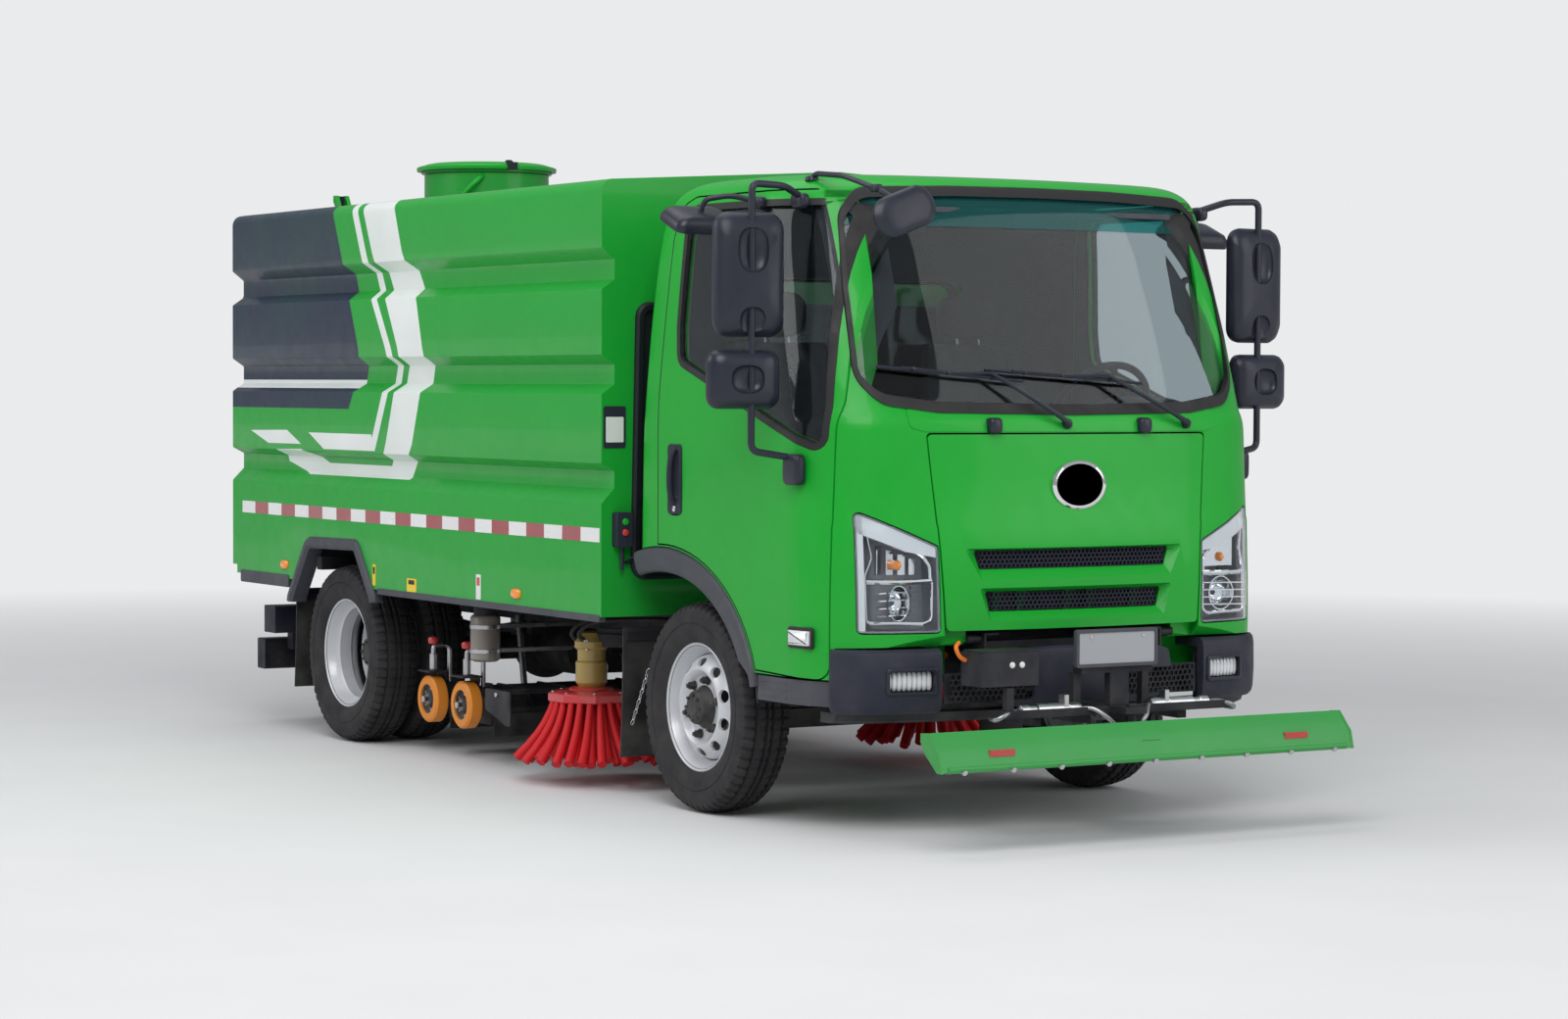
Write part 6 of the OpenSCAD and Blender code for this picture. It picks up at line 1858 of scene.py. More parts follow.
@dataclass
class Nozzle:
    """The suction nozzle: its box, casters on brackets, deflector and the air duct above."""

    middle: float = 0.800
    lift: float = 0.130
    half: float = 0.760
    caster_y: float = 0.860
    caster_x: tuple = (("front", 0.960), ("rear", 0.640))
    caster_z: float = 0.230

    def box(self) -> None:
        """Builds the hood with its stiffening ribs, rubber skirt and spout."""
        x, low = self.middle, self.lift
        hood = np.array([
                (x - 0.200, low + 0.012), (x - 0.190, low + 0.012), (x - 0.190, low + 0.076), (x - 0.124, low + 0.140),
                (x + 0.124, low + 0.140), (x + 0.190, low + 0.076), (x + 0.190, low + 0.012), (x + 0.200, low + 0.012),
                (x + 0.200, low + 0.082), (x + 0.130, low + 0.150), (x - 0.130, low + 0.150), (x - 0.200, low + 0.082)])
        form = Form().prism(hood, -self.half, self.half)
        for y in np.linspace(-self.half, self.half, 9):
            rib = [(x - 0.205, low + 0.030), (x + 0.205, low + 0.030), (x + 0.205, low + 0.086),
                   (x + 0.134, low + 0.156), (x - 0.134, low + 0.156), (x - 0.205, low + 0.086)]
            form.join(carve(Form().prism(rib, y - 0.005, y + 0.005),
                            [(Cut.LESS, Form().prism(offset(hood[1:7], 0.004), y - 1, y + 1))], "rib"))
        cheek = offset(hood[[0, 7, 8, 9, 10, 11]], -0.002)
        for end in (-1, 1):
            form.prism(cheek, end * self.half - 0.006, end * self.half + 0.004)
        form.build("nozzle_hood", [BLACK], "nozzle", "frame_black", ["suction_nozzle"])
        skirt = Form()
        for dx in (-0.208, 0.200):
            skirt.block((x + dx, -self.half, low - 0.035), (x + dx + 0.008, self.half, low + 0.060))
        skirt.build("nozzle_skirt", [RUBBER], "nozzle", "dark_rubber", bevel=0.002)
        spout = Form().spun([(low + 0.145, 0.120), (low + 0.175, 0.108), (low + 0.180, 0.105), (low + 0.450, 0.105),
                             (low + 0.452, 0.098), (low + 0.150, 0.098)], (x, 0.110, 0), "Z", 48, loop=True)
        spout.build("nozzle_spout", [DULL_STEEL], "nozzle", "bright_steel")

    def bracket(self, x: float) -> Form:
        """Returns a caster's fork, its bright post with a red knob and the arm that carries it."""
        y, z = self.caster_y, self.caster_z
        form = Form()
        cheek = bent([(x - 0.030, z - 0.025), (x + 0.030, z - 0.025), (x + 0.030, z + 0.060), (x + 0.055, z + 0.115),
                      (x - 0.055, z + 0.115), (x - 0.030, z + 0.060)], 0.012, 3)
        form.prism(cheek, y - 0.040, y - 0.036)
        form.block((x - 0.055, y - 0.044, z + 0.113), (x + 0.055, y + 0.044, z + 0.121))
        form.block((x - 0.020, self.half - 0.010, z + 0.030), (x + 0.020, y - 0.036, z + 0.070))
        form.block((x - 0.026, self.half - 0.008, z - 0.02), (x + 0.026, self.half + 0.004, z + 0.085))
        form.pin((x, y - 0.045, z), (x, y + 0.045, z), 0.009, 16)
        for dy in (-0.047, 0.041):
            form.finish(1).pin((x, y + dy, z), (x, y + dy + 0.008, z), 0.015, 6)
        form.pin((x, y, z + 0.121), (x, y, z + 0.190), 0.016, 20, 0.002)
        loop = [(x, y, z + 0.180), (x, y, z + 0.225), (x, y - 0.075, z + 0.225), (x, y - 0.075, z + 0.050)]
        form.tube(bent_path(loop, 0.030), 0.010, 12)
        form.finish(2).spun([(0.230, 0.012), (0.232, 0.020), (0.250, 0.023), (0.258, 0.019), (0.262, 0.0)], (x, y, z),
                            "Z", 20)
        return form.finish(0)

    def casters(self) -> None:
        """Builds the four casters and their brackets."""
        posts = Form()
        for end, x in self.caster_x:
            posts.join(self.bracket(x))
            for name, side in SIDES:
                wheel = Form()
                c = (x, side * self.caster_y, self.caster_z)
                wheel.spun([(-0.030, 0.062), (-0.030, 0.088), (-0.022, 0.098), (0.022, 0.098), (0.030, 0.088),
                            (0.030, 0.062)], c, "Y", 48, loop=True)
                wheel.finish(1).spun([(-0.026, 0.012), (-0.026, 0.030), (-0.012, 0.036), (-0.012, 0.056),
                                      (-0.024, 0.063), (0.024, 0.063), (0.012, 0.056), (0.012, 0.036), (0.026, 0.030),
                                      (0.026, 0.012)], c, "Y", 40, loop=True)
                for u, v in circle(5, 0.046, 0.0, (c[0], c[2])):
                    wheel.finish(2).pin((u, c[1] - 0.018, v), (u, c[1] + 0.018, v), 0.006, 6)
                for low, high in ((-0.0275, -0.0265), (0.0265, 0.0275)):
                    wheel.finish(3).pin((x, c[1] + low, c[2]), (x, c[1] + high, c[2]), 0.024, 24)
                wheel.build(f"caster_{end}_{name}_wheel", [ORANGE, CAST, STEEL, DULL_STEEL], f"caster_{end}_{name}",
                            "orange_tread", [f"caster_{end}_{name}"])
        posts.pair().build("caster_brackets", [BLACK, STEEL, RED_PAINT], "nozzle", "frame_black", bevel=0.0015)

    def fittings(self) -> None:
        """Builds the lift links, the deflector plates, the canister and the duct's clamps."""
        links = Form()
        for side in (1, -1):
            links.tube([(0.52, side * 0.40, 0.56), (0.62, side * 0.42, 0.245)], 0.014, 12)
            links.block((0.60, side * 0.40, 0.205), (0.66, side * 0.44, 0.262))
        links.build("nozzle_links", [DULL_STEEL], "nozzle", "bright_steel", bevel=0.002)
        fixed = Form()
        fixed.spun([(0.440, 0.114), (0.790, 0.114), (0.790, 0.1058), (0.440, 0.1058)], (0.800, 0.110, 0), "Z", 56,
                   loop=True)
        for z in (0.455, 0.560, 0.700):
            fixed.finish(1).spun([(z, 0.113), (z, 0.118), (z + 0.012, 0.118), (z + 0.012, 0.113)], (0.800, 0.110, 0),
                                 "Z", 56, loop=True)
        fixed.finish(0).block((0.770, 0.218, 0.570), (0.830, 0.322, 0.600))
        fixed.build("air_duct", [RUBBER, STEEL], "chassis", "dark_rubber", ["suction_duct"])
        can = Form()
        can.spun([(0.408, 0.0), (0.410, 0.048), (0.420, 0.062), (0.590, 0.062), (0.600, 0.056), (0.604, 0.045),
                  (0.604, 0.0)], (1.010, 0.800, 0), "Z", 40)
        can.finish(2).spun([(0.600, 0.047), (0.612, 0.050), (0.646, 0.050), (0.654, 0.044), (0.656, 0.0)],
                           (1.010, 0.800, 0), "Z", 32)
        can.finish(1)
        for z in (0.445, 0.545):
            can.spun([(z, 0.0610), (z, 0.0648), (z + 0.018, 0.0648), (z + 0.018, 0.0610)], (1.010, 0.800, 0), "Z", 40,
                     loop=True)
            can.block((0.995, 0.37, z), (1.025, 0.745, z + 0.018))
        panel = bent([(1.215, 0.235), (1.400, 0.180), (1.440, 0.180), (1.440, 0.320), (1.215, 0.320)], 0.012, 3)
        can.finish(2).prism(panel, 0.895, 0.903)
        can.block((1.300, 0.37, 0.300), (1.340, 0.897, 0.318))
        can.finish(3).pin((1.320, 0.901, 0.300), (1.320, 0.909, 0.300), 0.011, 6)
        can.pair().build("canisters_and_deflectors", [BEIGE, STEEL, BLACK, STEEL], "chassis", "frame_black",
                         bevel=0.002, angle=40)

    def build(self) -> None:
        """Builds the nozzle and what stands round it."""
        self.box()
        self.casters()
        self.fittings()


# ---- front and rear ends ----------------------------------------------------------------------------


@dataclass
class FrontEnd:
    """Bumper with fog lamps, bracket box, blank plate, valves, hoses and the spray bar."""

    low: float = 0.430
    high: float = 0.652
    half: float = 0.912

    def face(self, y: Points | float) -> Points:
        """Returns x of the bumper's front at y."""
        t = np.minimum(np.abs(y) / 0.950, 1.0)
        return 4.080 - 0.120 * t ** 2 - 0.160 * t ** 14

    def outline(self, back: float) -> Points:
        """Returns the bumper's plan: its bowed front, its ends and a straight back."""
        t = np.sin(np.linspace(-math.pi / 2, math.pi / 2, 61)) * self.half
        front = np.column_stack([self.face(t), t])
        return np.vstack([front, [(back, self.half - 0.004), (back, 0.004 - self.half)]])

    def bumper(self) -> None:
        """Builds the bumper: lofted skin, lamp pockets, honeycomb panels and a folded lip."""
        flat = self.outline(3.862)
        count = len(flat) - 2
        rows = []
        for z, drawn in ((self.low, 0.030), (self.low + 0.012, 0.014), (self.low + 0.030, 0.006),
                         (self.low + 0.10, 0.0), (self.high - 0.030, 0.002), (self.high - 0.010, 0.008),
                         (self.high, 0.022)):
            ring = flat.copy()
            ring[:count, 0] -= drawn
            ring[:, 1] = np.sign(ring[:, 1]) * np.minimum(np.abs(ring[:, 1]), self.half - drawn * 0.6)
            rows.append(np.column_stack([ring, np.full(len(ring), z)]))
        body = Form().loft(rows)
        middle = Form().block((3.7, -0.56, 0.36), (4.058, 0.56, 0.70))
        steps = [(Cut.LESS, middle)]
        for side in (1, -1):
            pocket = box_outline(0.584, 0.504, 0.756, 0.582, 0.012, 4) * (side, 1)
            steps.append((Cut.LESS, Form().prism(pocket, 3.96, 4.2, Plane.YZ)))
            mesh = box_outline(0.200, 0.468, 0.540, 0.560, 0.02, 4) * (side, 1)
            steps.append((Cut.LESS, Form().prism(mesh, 3.98, 4.2, Plane.YZ)))
            for low, high, depth in ((0.20, 0.58, 4.00), (0.579, 0.80, 3.95)):
                steps.append((Cut.LESS, Form().block((3.80, side * low, 0.40), (depth, side * high, 0.62))))
        body = carve(body, steps, "bumper")
        body.build("bumper_moulding", [PLASTIC], "chassis", "dark_plastic", ["front_bumper"], angle=30)
        lamp = Form()
        for k in range(9):
            y = 0.598 + 0.0180 * k
            x = float(self.face(y))
            lamp.ball((x - 0.026, y, 0.543), (0.012, 0.0090, 0.033), 0.7, 8, 10)
        frame = carve(Form().loft([np.column_stack([self.face(line[:, 0]) + d, line]) for line, d in
                                   ((box_outline(0.577, 0.497, 0.763, 0.589, 0.016, 4), -0.040),
                                    (box_outline(0.577, 0.497, 0.763, 0.589, 0.016, 4), 0.003),
                                    (box_outline(0.581, 0.501, 0.759, 0.585, 0.014, 4), 0.006))]),
                      [(Cut.LESS, slab((0.588, 0.508, 0.752, 0.578), 3.9, 4.3, 0.01))], "bezel")
        lamp.join(frame.marked(1))
        x = float(self.face(0.745))
        lamp.finish(2).block((x - 0.040, 0.580, 0.502), (x - 0.032, 0.760, 0.584))
        lamp.pair().build("fog_lamps", [WHITE_LENS, HOUSING, DULL_STEEL], "chassis", "clear_lens", angle=35)
        mesh = Form()
        for side in (1, -1):
            for outside, inside in honeycomb(0.022, 0.005, 0.320, 0.088):
                rows = [np.column_stack([self.face(line[:, 0] + side * 0.37) - d, line + (side * 0.37, 0.514)])
                        for line, d in ((outside, 0.022), (inside, 0.022), (inside, 0.032))]
                mesh.add(np.vstack(rows), grid_faces(3, 6, False, True))
            x = float(self.face(0.38)) - 0.050
            mesh.block((x, side * 0.20, 0.462), (x + 0.004, side * 0.54, 0.566))
        mesh.build("bumper_mesh", [BLACK], "chassis", "dark_plastic", angle=20)
        chin = Form()
        t = np.linspace(-0.88, 0.88, 41)
        line = np.column_stack([self.face(t) - 0.060, t])
        back = line[::-1] - (0.10, 0)
        chin.loft([np.column_stack([np.vstack([line - (d, 0), back]), np.full(82, z)]) for z, d in
                   ((0.395, 0.04), (0.405, 0.012), (0.432, 0.0))])
        chin.build("bumper_chin", [BLACK], "chassis", "dark_plastic")

    def bracket(self) -> None:
        """Builds the control box, the blank plate and the frame in front of the bumper."""
        form = Form()
        boxes = [((4.17, -0.575, 0.540), (4.300, -0.345, 0.655)), ((4.175, -0.568, 0.652), (4.294, -0.352, 0.661)),
                 ((4.262, -0.480, 0.428), (4.292, 0.480, 0.456)), ((3.935, -0.060, 0.434), (4.010, 0.060, 0.548)),
                 ((4.010, -0.045, 0.434), (4.390, 0.045, 0.457)), ((4.258, -0.040, 0.457), (4.291, 0.040, 0.600)),
                 ((4.266, -0.470, 0.456), (4.292, -0.440, 0.535)), ((4.215, -0.045, 0.300), (4.255, 0.045, 0.400)),
                 ((4.215, -0.160, 0.425), (4.245, -0.130, 0.570)), ((4.215, 0.130, 0.425), (4.245, 0.160, 0.570))]
        boxes += [((4.06, y - 0.018, 0.395), (4.24, y + 0.018, 0.425)) for y in (-0.31, -0.10, 0.10, 0.31)]
        for low, high in boxes:
            form.block(low, high)
        for y in (-0.455, -0.415):
            form.finish(1).spun([(0.0, 0.011), (0.004, 0.011), (0.008, 0.007), (0.009, 0.0)],
                                (4.2995, y, 0.612), "X", 24)
        sleeve = [(4.20, -0.575, 0.625), (4.20, -0.600, 0.640), (4.20, -0.615, 0.670), (4.18, -0.59, 0.685)]
        form.finish(2).tube(smooth(sleeve, 5), 0.0075, 10)
        form.finish(0).pin((4.360, 0.0, 0.333), (4.360, 0.0, 0.436), 0.0155, 24)
        form.spun([(0.456, 0.0), (0.456, 0.020), (0.466, 0.020), (0.468, 0.016), (0.468, 0.0)], (4.360, 0, 0), "Z", 6)
        form.build("front_frame", [BLACK, WHITE, HAZARD_ORANGE], "chassis", "frame_black", ["front_bracket"],
                   bevel=0.003, angle=35)
        plate = carve(slab((-0.194, 0.592, 0.150, 0.722), 4.290, 4.309, 0.010),
                      [(Cut.LESS, slab((-0.182, 0.604, 0.138, 0.710), 4.0, 4.4, 0.006))], "border")
        plate.finish(1).prism(box_outline(-0.183, 0.603, 0.139, 0.711, 0.006), 4.290, 4.3055, Plane.YZ)
        for y in (-0.132, 0.088):
            plate.finish(2).pin((4.304, y, 0.696), (4.309, y, 0.696), 0.006, 12)
        plate.finish(3).block((4.240, -0.160, 0.570), (4.2905, 0.140, 0.594))
        plate.build("front_plate", [GREY_PLASTIC, PALE_GREY, STEEL, BLACK], "chassis", "frame_black", bevel=0.0015)

    def valves(self) -> None:
        """Builds the bright spray valves and the braided hoses that loop to the bar."""
        form = Form()
        for side in (1, -1):
            body = [(0.150, 0.010), (0.150, 0.020), (0.166, 0.024), (0.200, 0.024), (0.204, 0.020), (0.222, 0.020),
                    (0.226, 0.024), (0.330, 0.024), (0.334, 0.018), (0.360, 0.018), (0.364, 0.022), (0.396, 0.022),
                    (0.400, 0.012)]
            form.join(round_axle(body, (4.262, 0, 0.450), side, 28))
            form.block((4.245, side * 0.205, 0.462), (4.280, side * 0.222, 0.500))
        form.build("spray_valves_turned", [STEEL], "chassis", "bright_steel", ["spray_valves"])
        hose = Form()
        for side in (1, -1):
            path = smooth([(4.262, side * 0.400, 0.450), (4.275, side * 0.440, 0.452), (4.292, side * 0.480, 0.442),
                           (4.280, side * 0.505, 0.428), (4.240, side * 0.500, 0.428)], 8)
            hose.tube(path, 0.0085, 12)
            path = smooth([(4.262, side * 0.150, 0.450), (4.300, side * 0.115, 0.450), (4.335, side * 0.080, 0.420),
                           (4.330, side * 0.045, 0.392), (4.255, side * 0.030, 0.392)], 8)
            hose.tube(path, 0.0085, 12)
        hose.build("braided_hoses", [Brushed("braid", (0.45, 0.46, 0.47), 0.35)], "chassis", "bright_steel")

    def spray_bar(self) -> None:
        """Builds the folded spray bar: a leaning pale green blade with folded ends, jets and a pivot."""
        form = Form()
        lean = np.array([(4.405, 0.404), (4.418, 0.412), (4.480, 0.345), (4.496, 0.288), (4.488, 0.284),
                         (4.468, 0.340), (4.411, 0.400)])
        form.prism(lean, -0.864, 0.864)
        for side in (1, -1):
            form.prism(np.array([(4.372, 0.408), (4.420, 0.412), (4.482, 0.346), (4.498, 0.284), (4.470, 0.284),
                                 (4.400, 0.340), (4.372, 0.380)]), side * 0.866 - 0.004, side * 0.866 + 0.004)
        form.tube([(4.486, -0.84, 0.294), (4.486, 0.84, 0.294)], 0.012, 14)
        for y in np.linspace(-0.78, 0.78, 9):
            form.finish(1).pin((4.488, y, 0.290), (4.504, y, 0.284), 0.010, 6)
        for side in (1, -1):
            form.finish(2).block((4.474, side * 0.62 - 0.05, 0.330), (4.486, side * 0.62 + 0.05, 0.352))
        form.finish(3).block((4.330, -0.038, 0.332), (4.474, 0.038, 0.353))
        collar = Form().spun([(0.331, 0.0165), (0.331, 0.036), (0.335, 0.040), (0.386, 0.040), (0.390, 0.036),
                              (0.390, 0.0165)], (4.360, 0, 0), "Z", 36, loop=True)
        form.join(collar.marked(3))
        for y in (-0.024, 0.024):
            form.finish(1).pin((4.430, y, 0.352), (4.430, y, 0.361), 0.008, 6)
        form.build("spray_bar_blade", [PALE_GREEN, STEEL, RED_LENS, BLACK], "spray_bar", "pale_green_paint",
                   ["spray_bar"], angle=35)

    def build(self) -> None:
        """Builds the whole front end."""
        self.bumper()
        self.bracket()
        self.valves()
        self.spray_bar()


@dataclass
class Mirrors:
    """Door mirrors on their tubes, kerb mirrors over the doors and the front mirror."""

    def head(self, size: Point, bulge: float, oval: bool = False) -> Form:
        """Returns a mirror facing back, about zero: a domed shell, a rim and the glass.

        Args:
            size: its width and height.
            bulge: how far the shell bulges forward.
            oval: whether the outline is an oval.

        Returns:
            The mirror, the shell in finish 0 and the glass in finish 1.
        """
        w, h = size[0] / 2, size[1] / 2
        line = bent([(-w, -h), (w, -h), (w, h), (-w, h)], min(w, h) * (0.98 if oval else 0.42), 8)
        rings = []
        for d, share in ((-0.004, 1.0), (0.012, 1.015), (0.45 * bulge, 0.98), (0.75 * bulge, 0.88),
                         (0.92 * bulge, 0.70), (0.99 * bulge, 0.42), (bulge, 0.12)):
            rings.append(np.column_stack([np.full(len(line), d), line * share]))
        form = Form().loft(rings)
        glass = offset(line, -0.008)
        return form.finish(1).loft([np.column_stack([np.full(len(glass), d), glass]) for d in (-0.0055, -0.002)])

    def bracket(self, points: Iterable[Point], radius: float = 0.012) -> Form:
        """Returns a bent tube through points."""
        return Form().tube(bent_path(points, 0.03), radius, 12)

    def build(self) -> None:
        """Builds the mirrors of both doors and the one on the roof."""
        form = Form()
        heads = (((3.618, 1.094, 1.928), (0.255, 0.420), ((0.085, 0.058, 0.080), (-0.165, 0.050, 0.055))),
                 ((3.618, 1.114, 1.570), (0.262, 0.200), ((0.0, 0.062, 0.050),)))
        for place, size, scoops in heads:
            head = self.head(size, 0.062)
            cuts = [(Cut.LESS, Form().ball((0.068, 0.0, z), (0.034, w, h), 0.8)) for z, w, h in scoops]
            form.join(carve(head, cuts, "scoop").turned("Z", 8.0).shifted(place))
        form.finish(0).join(self.bracket([(3.590, 0.850, 2.196), (3.640, 0.960, 2.236), (3.656, 1.098, 2.240),
                                          (3.656, 1.098, 1.325), (3.690, 0.975, 1.305)], 0.0125))
        form.ball((3.590, 0.866, 2.190), (0.042, 0.022, 0.026), 0.6)
        form.ball((3.715, 0.962, 1.262), (0.050, 0.022, 0.054), 0.4)
        form.ball((3.378, 0.912, 2.190), (0.045, 0.020, 0.022), 0.6)
        form.join(self.bracket([(3.378, 0.920, 2.196), (3.340, 1.000, 2.215), (3.300, 1.080, 2.200),
                                (3.285, 1.090, 2.150)], 0.010))
        form.join(self.head((0.250, 0.170), 0.055).turned("Y", -68).shifted((3.268, 1.085, 2.110)))
        for name, side in SIDES:
            form.sided(side).build(f"mirrors_{name}_housing", [HOUSING, MIRROR], f"door_{name}", "dark_plastic",
                                   [f"mirrors_{name}"], angle=35)
        front = Form()
        foot = np.array([AXLES.base + 0.575, -0.790, 2.264])
        front.spun([(0.0, 0.024), (0.012, 0.022), (0.016, 0.014), (0.018, 0.0)], foot, "Z", 20)
        path = [foot + (0, 0, 0.006), foot + (0.030, 0.0, 0.022), (3.740, -0.785, 2.272), (3.940, -0.765, 2.216),
                (4.040, -0.735, 2.160)]
        front.join(self.bracket(path, 0.010))
        front.ball((3.925, -0.767, 2.221), (0.022, 0.016, 0.014), 0.5)
        dome = self.head((0.250, 0.140), 0.034, oval=True)
        front.join(dome.turned("X", 20).turned("Y", -10).shifted((4.040, -0.731, 2.137)))
        front.build("front_mirror_housing", [HOUSING, MIRROR], "cab", "dark_plastic", ["front_mirror"], angle=35)


def bent_path(points: Iterable[Point], radius: float, steps: int = 6) -> Points:
    """Returns a path in space with its corners rounded by quadratic curves."""
    p = np.asarray(list(points), float)
    out = [p[0]]
    for a, b, c in zip(p[:-2], p[1:-1], p[2:]):
        first, last = (a - b) / np.linalg.norm(a - b), (c - b) / np.linalg.norm(c - b)
        reach = min(radius, np.linalg.norm(a - b) * 0.45, np.linalg.norm(c - b) * 0.45)
        start, end = b + first * reach, b + last * reach
        for t in np.linspace(0, 1, steps + 1):
            out.append((1 - t) ** 2 * start + 2 * t * (1 - t) * b + t ** 2 * end)
    out.append(p[-1])
    return np.array(out)


@dataclass
class RearEnd:
    """Underrun bar, tail lamps, mud flaps and the dressing of the frame's own parts."""

    def lamps(self) -> None:
        """Builds the tail lamps: a dark box with red, amber and clear chambers."""
        form = Form()
        form.block((-0.985, 0.720, 0.413), (-0.860, 0.940, 0.536))
        form.block((-1.000, 0.780, 0.330), (-0.940, 0.820, 0.414))
        for k, mark in enumerate((1, 1, 2, 3)):
            y = 0.728 + 0.052 * k
            form.finish(mark).ball((-0.986, y + 0.025, 0.4745), (0.010, 0.0245, 0.052), 0.35, 10, 16)
        form.pair().build("tail_lamp_boxes", [PLASTIC, RED_LENS, AMBER_LENS, WHITE_LENS], "chassis", "red_lens",
                          ["tail_lamps"], bevel=0.002, angle=40)

    def flaps(self) -> None:
        """Builds the rubber mud flaps behind the wheels, with clamping bars."""
        form = Form()
        for x, low, high, inner, outer in ((2.440, 0.150, 0.640, 0.700, 0.930), (-0.470, 0.200, 0.640, 0.580, 1.000)):
            u = np.linspace(0, 1, 9)
            front = np.column_stack([x - 0.010 - 0.020 * u ** 2, high + (low - high) * u])
            outline = np.vstack([front, (front + (0.007, 0))[::-1]])
            form.finish(0).prism(outline, inner, outer)
            form.finish(1).block((x - 0.018, inner + 0.01, high - 0.05), (x - 0.010, outer - 0.01, high - 0.02))
            form.block((x - 0.004, inner - 0.08, high - 0.05), (x + 0.004, outer - 0.01, high - 0.02))
            form.block((x - 0.010, 0.375, high - 0.055), (x + 0.010, inner + 0.02, high - 0.015))
        form.pair().build("mud_flaps", [RUBBER, BLACK], "chassis", "dark_rubber", bevel=0.0015)
        chain = Form()
        for k in range(11):
            c = np.array([2.455 + 0.012 * k, 0.900, 0.285 + 0.020 * k])
            turn = np.radians(np.linspace(0, 360, 13))
            ring = np.column_stack([0.0125 * np.cos(turn), 0.006 * np.sin(turn), np.zeros(13)])
            if k % 2:
                ring = ring[:, [0, 2, 1]]
            tilt = np.array(Matrix.Rotation(math.radians(-59), 3, "Y"))
            chain.tube(ring @ tilt.T + c, 0.0022, 6)
        chain.pair().build("flap_chains", [STEEL], "chassis", "bright_steel")

    def underrun(self) -> None:
        """Builds the rear bar: a channel with end caps and red reflectors."""
        form = Form()
        bar = bent([(-1.090, 0.240), (-1.000, 0.240), (-1.000, 0.380), (-1.090, 0.380)], 0.010, 3)
        form.prism(bar, -0.930, 0.930)
        for side in (1, -1):
            form.block((-1.000, side * 0.325, 0.300), (-0.860, side * 0.375, 0.541))
            form.finish(1).block((-1.094, side * 0.80, 0.290), (-1.089, side * 0.90, 0.330))
            form.finish(0)
        form.build("underrun_bar", [BLACK, RED_LENS], "chassis", "frame_black", ["rear_underrun"], bevel=0.003,
                   angle=35)

    def dress(self) -> None:
        """Gives the frame's own parts that stay in sight their finishes."""
        for finish, nodes in ((BLACK, ("chassis_frame", "tip_ram_barrel")),
                              (CAST, ("front_axle", "rear_axle", "knuckle_left", "knuckle_right")),
                              (BATTERY, ("traction_battery",)), (STEEL, ("tip_ram_rod", "tie_rod"))):
            for node in nodes:
                slots = bpy.data.objects[node].data.materials
                slots.clear()
                slots.append(finish.material())

    def wiring(self) -> None:
        """Builds the battery's lid, its bolts and the orange sleeved leads along the frame."""
        form = Form()
        low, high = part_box("traction_battery")
        a, b = low[0] - AXLES.rear, high[0] - AXLES.rear
        form.block((a + 0.02, low[1] + 0.02, high[2] - 0.004), (b - 0.02, high[1] - 0.02, high[2] + 0.012))
        for x in np.arange(a + 0.10, b - 0.05, 0.16):
            for y in (low[1] + 0.035, high[1] - 0.035):
                form.finish(1).pin((x, y, high[2] + 0.011), (x, y, high[2] + 0.018), 0.008, 6)
            for near, far in ((low[1] - 0.006, low[1] + 0.002), (high[1] - 0.002, high[1] + 0.006)):
                form.finish(0).block((x - 0.012, near, low[2] + 0.02), (x + 0.012, far, high[2] - 0.05))
        form.build("battery_lid", [BATTERY, STEEL], "chassis", "battery_case", bevel=0.003)
        leads = Form()
        for k, y in enumerate((-0.40, -0.43)):
            leads.tube(smooth([(2.30, y, 0.600), (2.60, y - 0.01, 0.590), (3.00, y, 0.560 + 0.02 * k), (3.30, y, 0.600),
                               (3.80, y + 0.01, 0.610)], 8), 0.012, 10)
        leads.build("orange_leads", [HAZARD_ORANGE], "chassis", "orange_tread")

    def build(self) -> None:
        """Builds the rear end and dresses what stays of the frame."""
        self.lamps()
        self.flaps()
        self.underrun()
        self.dress()
        self.wiring()


PARTS = (Cab, Hopper, RoadWheels, SideBrush, Nozzle, FrontEnd, Mirrors, RearEnd)


# ---- studio ------------------------------------------------------------------------------------


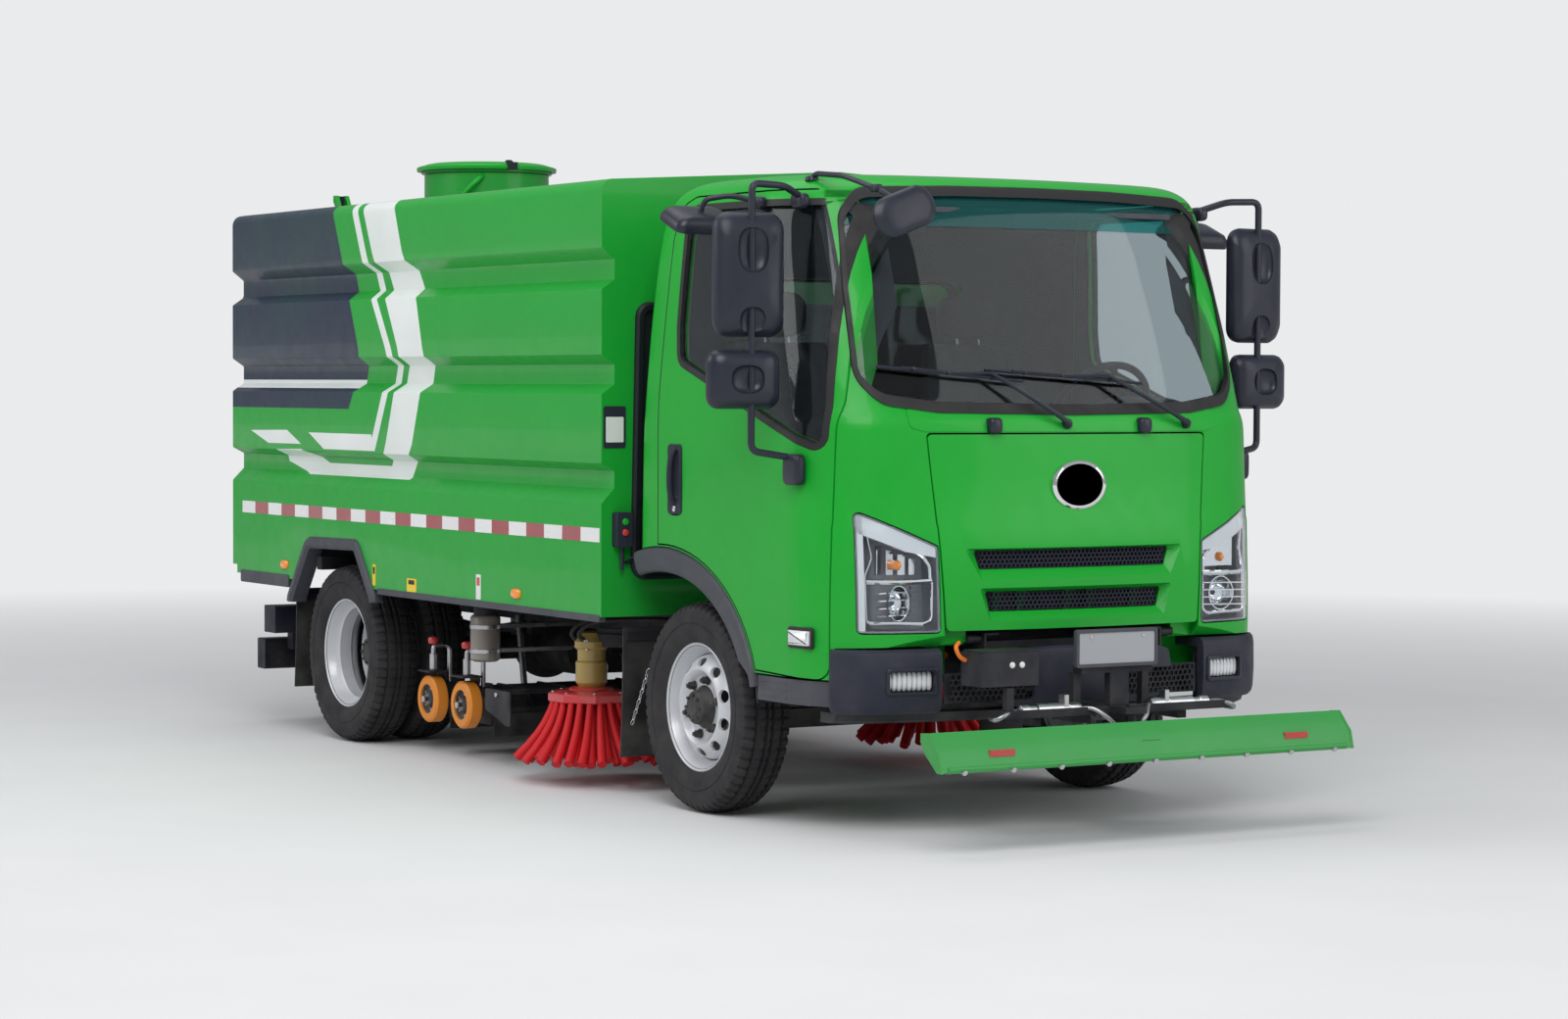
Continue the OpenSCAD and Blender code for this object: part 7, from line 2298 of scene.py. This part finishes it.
@dataclass
class Studio:
    """The camera, the floor and the lights."""

    eye: tuple[float, float, float] = (12.350, -7.236, 1.553)
    heading: float = 30.98
    dip: float = 2.03
    roll: float = 0.22
    lens: float = 80.98
    shift: float = 0.0058
    backdrop: tuple[float, float, float] = (0.90, 0.905, 0.915)
    glow: float = 0.92

    def camera(self) -> None:
        """Sets the camera, which looks down a little past the truck's right front corner."""
        data = bpy.data.cameras.new("camera")
        data.lens, data.sensor_width, data.shift_x = self.lens, 36.0, self.shift
        data.clip_end = 200.0
        camera = bpy.data.objects.new("camera", data)
        turn, dip = math.radians(self.heading), math.radians(self.dip)
        look = Vector((-math.cos(turn) * math.cos(dip), math.sin(turn) * math.cos(dip), -math.sin(dip)))
        camera.matrix_world = (Matrix.Translation(self.eye) @ look.to_track_quat("-Z", "Y").to_matrix().to_4x4()
                               @ Matrix.Rotation(math.radians(self.roll), 4, "Z"))
        bpy.context.scene.collection.objects.link(camera)
        bpy.context.scene.camera = camera

    def floor(self) -> None:
        """Lays a pale floor."""
        mesh = bpy.data.meshes.new("floor")
        mesh.from_pydata([(-40, -40, 0), (40, -40, 0), (40, 40, 0), (-40, 40, 0)], [], [[0, 1, 2, 3]])
        floor = bpy.data.objects.new("floor", mesh)
        graph = Graph("pale_floor")
        graph.set(Roughness=0.85)
        tone = graph.mix(graph.noise(1.5, 3), (0.70, 0.70, 0.71, 1), (0.75, 0.75, 0.755, 1))
        squares = [graph.maths("MULTIPLY", graph.axis(i), graph.axis(i)) for i in (0, 1)]
        far = graph.span(graph.maths("SQRT", graph.maths("ADD", *squares)), 4.5, 13.0)
        graph.feed(graph.shader.inputs["Base Color"], graph.mix(far, tone, (0.0, 0.0, 0.0, 1)))
        graph.set(Emission_Color=(*self.backdrop, 1.0), Specular_IOR_Level=0.0)
        graph.feed(graph.shader.inputs["Emission Strength"], graph.maths("MULTIPLY", far, self.glow))
        mesh.materials.append(graph.material)
        bpy.context.scene.collection.objects.link(floor)

    def lights(self) -> None:
        """Lights the truck softly: a high key from its front right, a fill, a side light and a top light."""
        for name, place, size, power in (
                ("key", (7.5, -5.0, 8.0), 6.0, 560.0), ("fill", (8.5, 5.0, 4.5), 6.0, 200.0),
                ("side", (-3.0, -8.0, 5.5), 5.0, 220.0), ("top", (-1.0, -1.0, 9.5), 7.0, 260.0)):
            data = bpy.data.lights.new(name, "AREA")
            data.energy, data.size, data.shape = power, size, "SQUARE"
            lamp = bpy.data.objects.new(name, data)
            aim = Vector((0.3, 0.0, 1.1)) - Vector(place)
            lamp.matrix_world = Matrix.Translation(place) @ aim.to_track_quat("-Z", "Y").to_matrix().to_4x4()
            bpy.context.scene.collection.objects.link(lamp)

    def sky(self) -> None:
        """Gives a soft even surround, and shows it pale to the camera and through glass."""
        world = bpy.data.worlds.new("surround")
        world.use_nodes = True
        tree = world.node_tree
        tree.nodes.clear()
        out = tree.nodes.new("ShaderNodeOutputWorld")
        mix = tree.nodes.new("ShaderNodeMixShader")
        path = tree.nodes.new("ShaderNodeLightPath")
        seen = tree.nodes.new("ShaderNodeMath")
        seen.operation, seen.use_clamp = "ADD", True
        tree.links.new(path.outputs["Is Camera Ray"], seen.inputs[0])
        tree.links.new(path.outputs["Is Transmission Ray"], seen.inputs[1])
        for k, (colour, strength) in enumerate((((0.93, 0.95, 1.0), 0.36), (self.backdrop, self.glow))):
            shade = tree.nodes.new("ShaderNodeBackground")
            shade.inputs["Color"].default_value = (*colour, 1)
            shade.inputs["Strength"].default_value = strength
            tree.links.new(shade.outputs[0], mix.inputs[k + 1])
        tree.links.new(seen.outputs[0], mix.inputs[0])
        tree.links.new(mix.outputs[0], out.inputs[0])
        bpy.context.scene.world = world

    def build(self) -> None:
        """Sets up the whole studio and the colour management."""
        self.camera()
        self.floor()
        self.lights()
        self.sky()
        bpy.context.scene.view_settings.view_transform = "Standard"


def axle_places() -> Axles:
    """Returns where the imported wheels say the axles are."""
    places = [sum(corner[0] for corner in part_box(node)) / 2 for node in ("rear_rims_left", "front_rim_left")]
    return Axles(*places)


def main() -> None:
    """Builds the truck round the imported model, part by part."""
    global AXLES
    logging.basicConfig(level=logging.INFO, format="%(name)s: %(message)s")
    for leftover in list(bpy.data.objects):
        bpy.data.objects.remove(leftover)
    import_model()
    AXLES = axle_places()
    Studio().build()
    for part in PARTS:
        LOG.info("building %s", part.__name__)
        part().build()


if __name__ == "__main__":
    main()
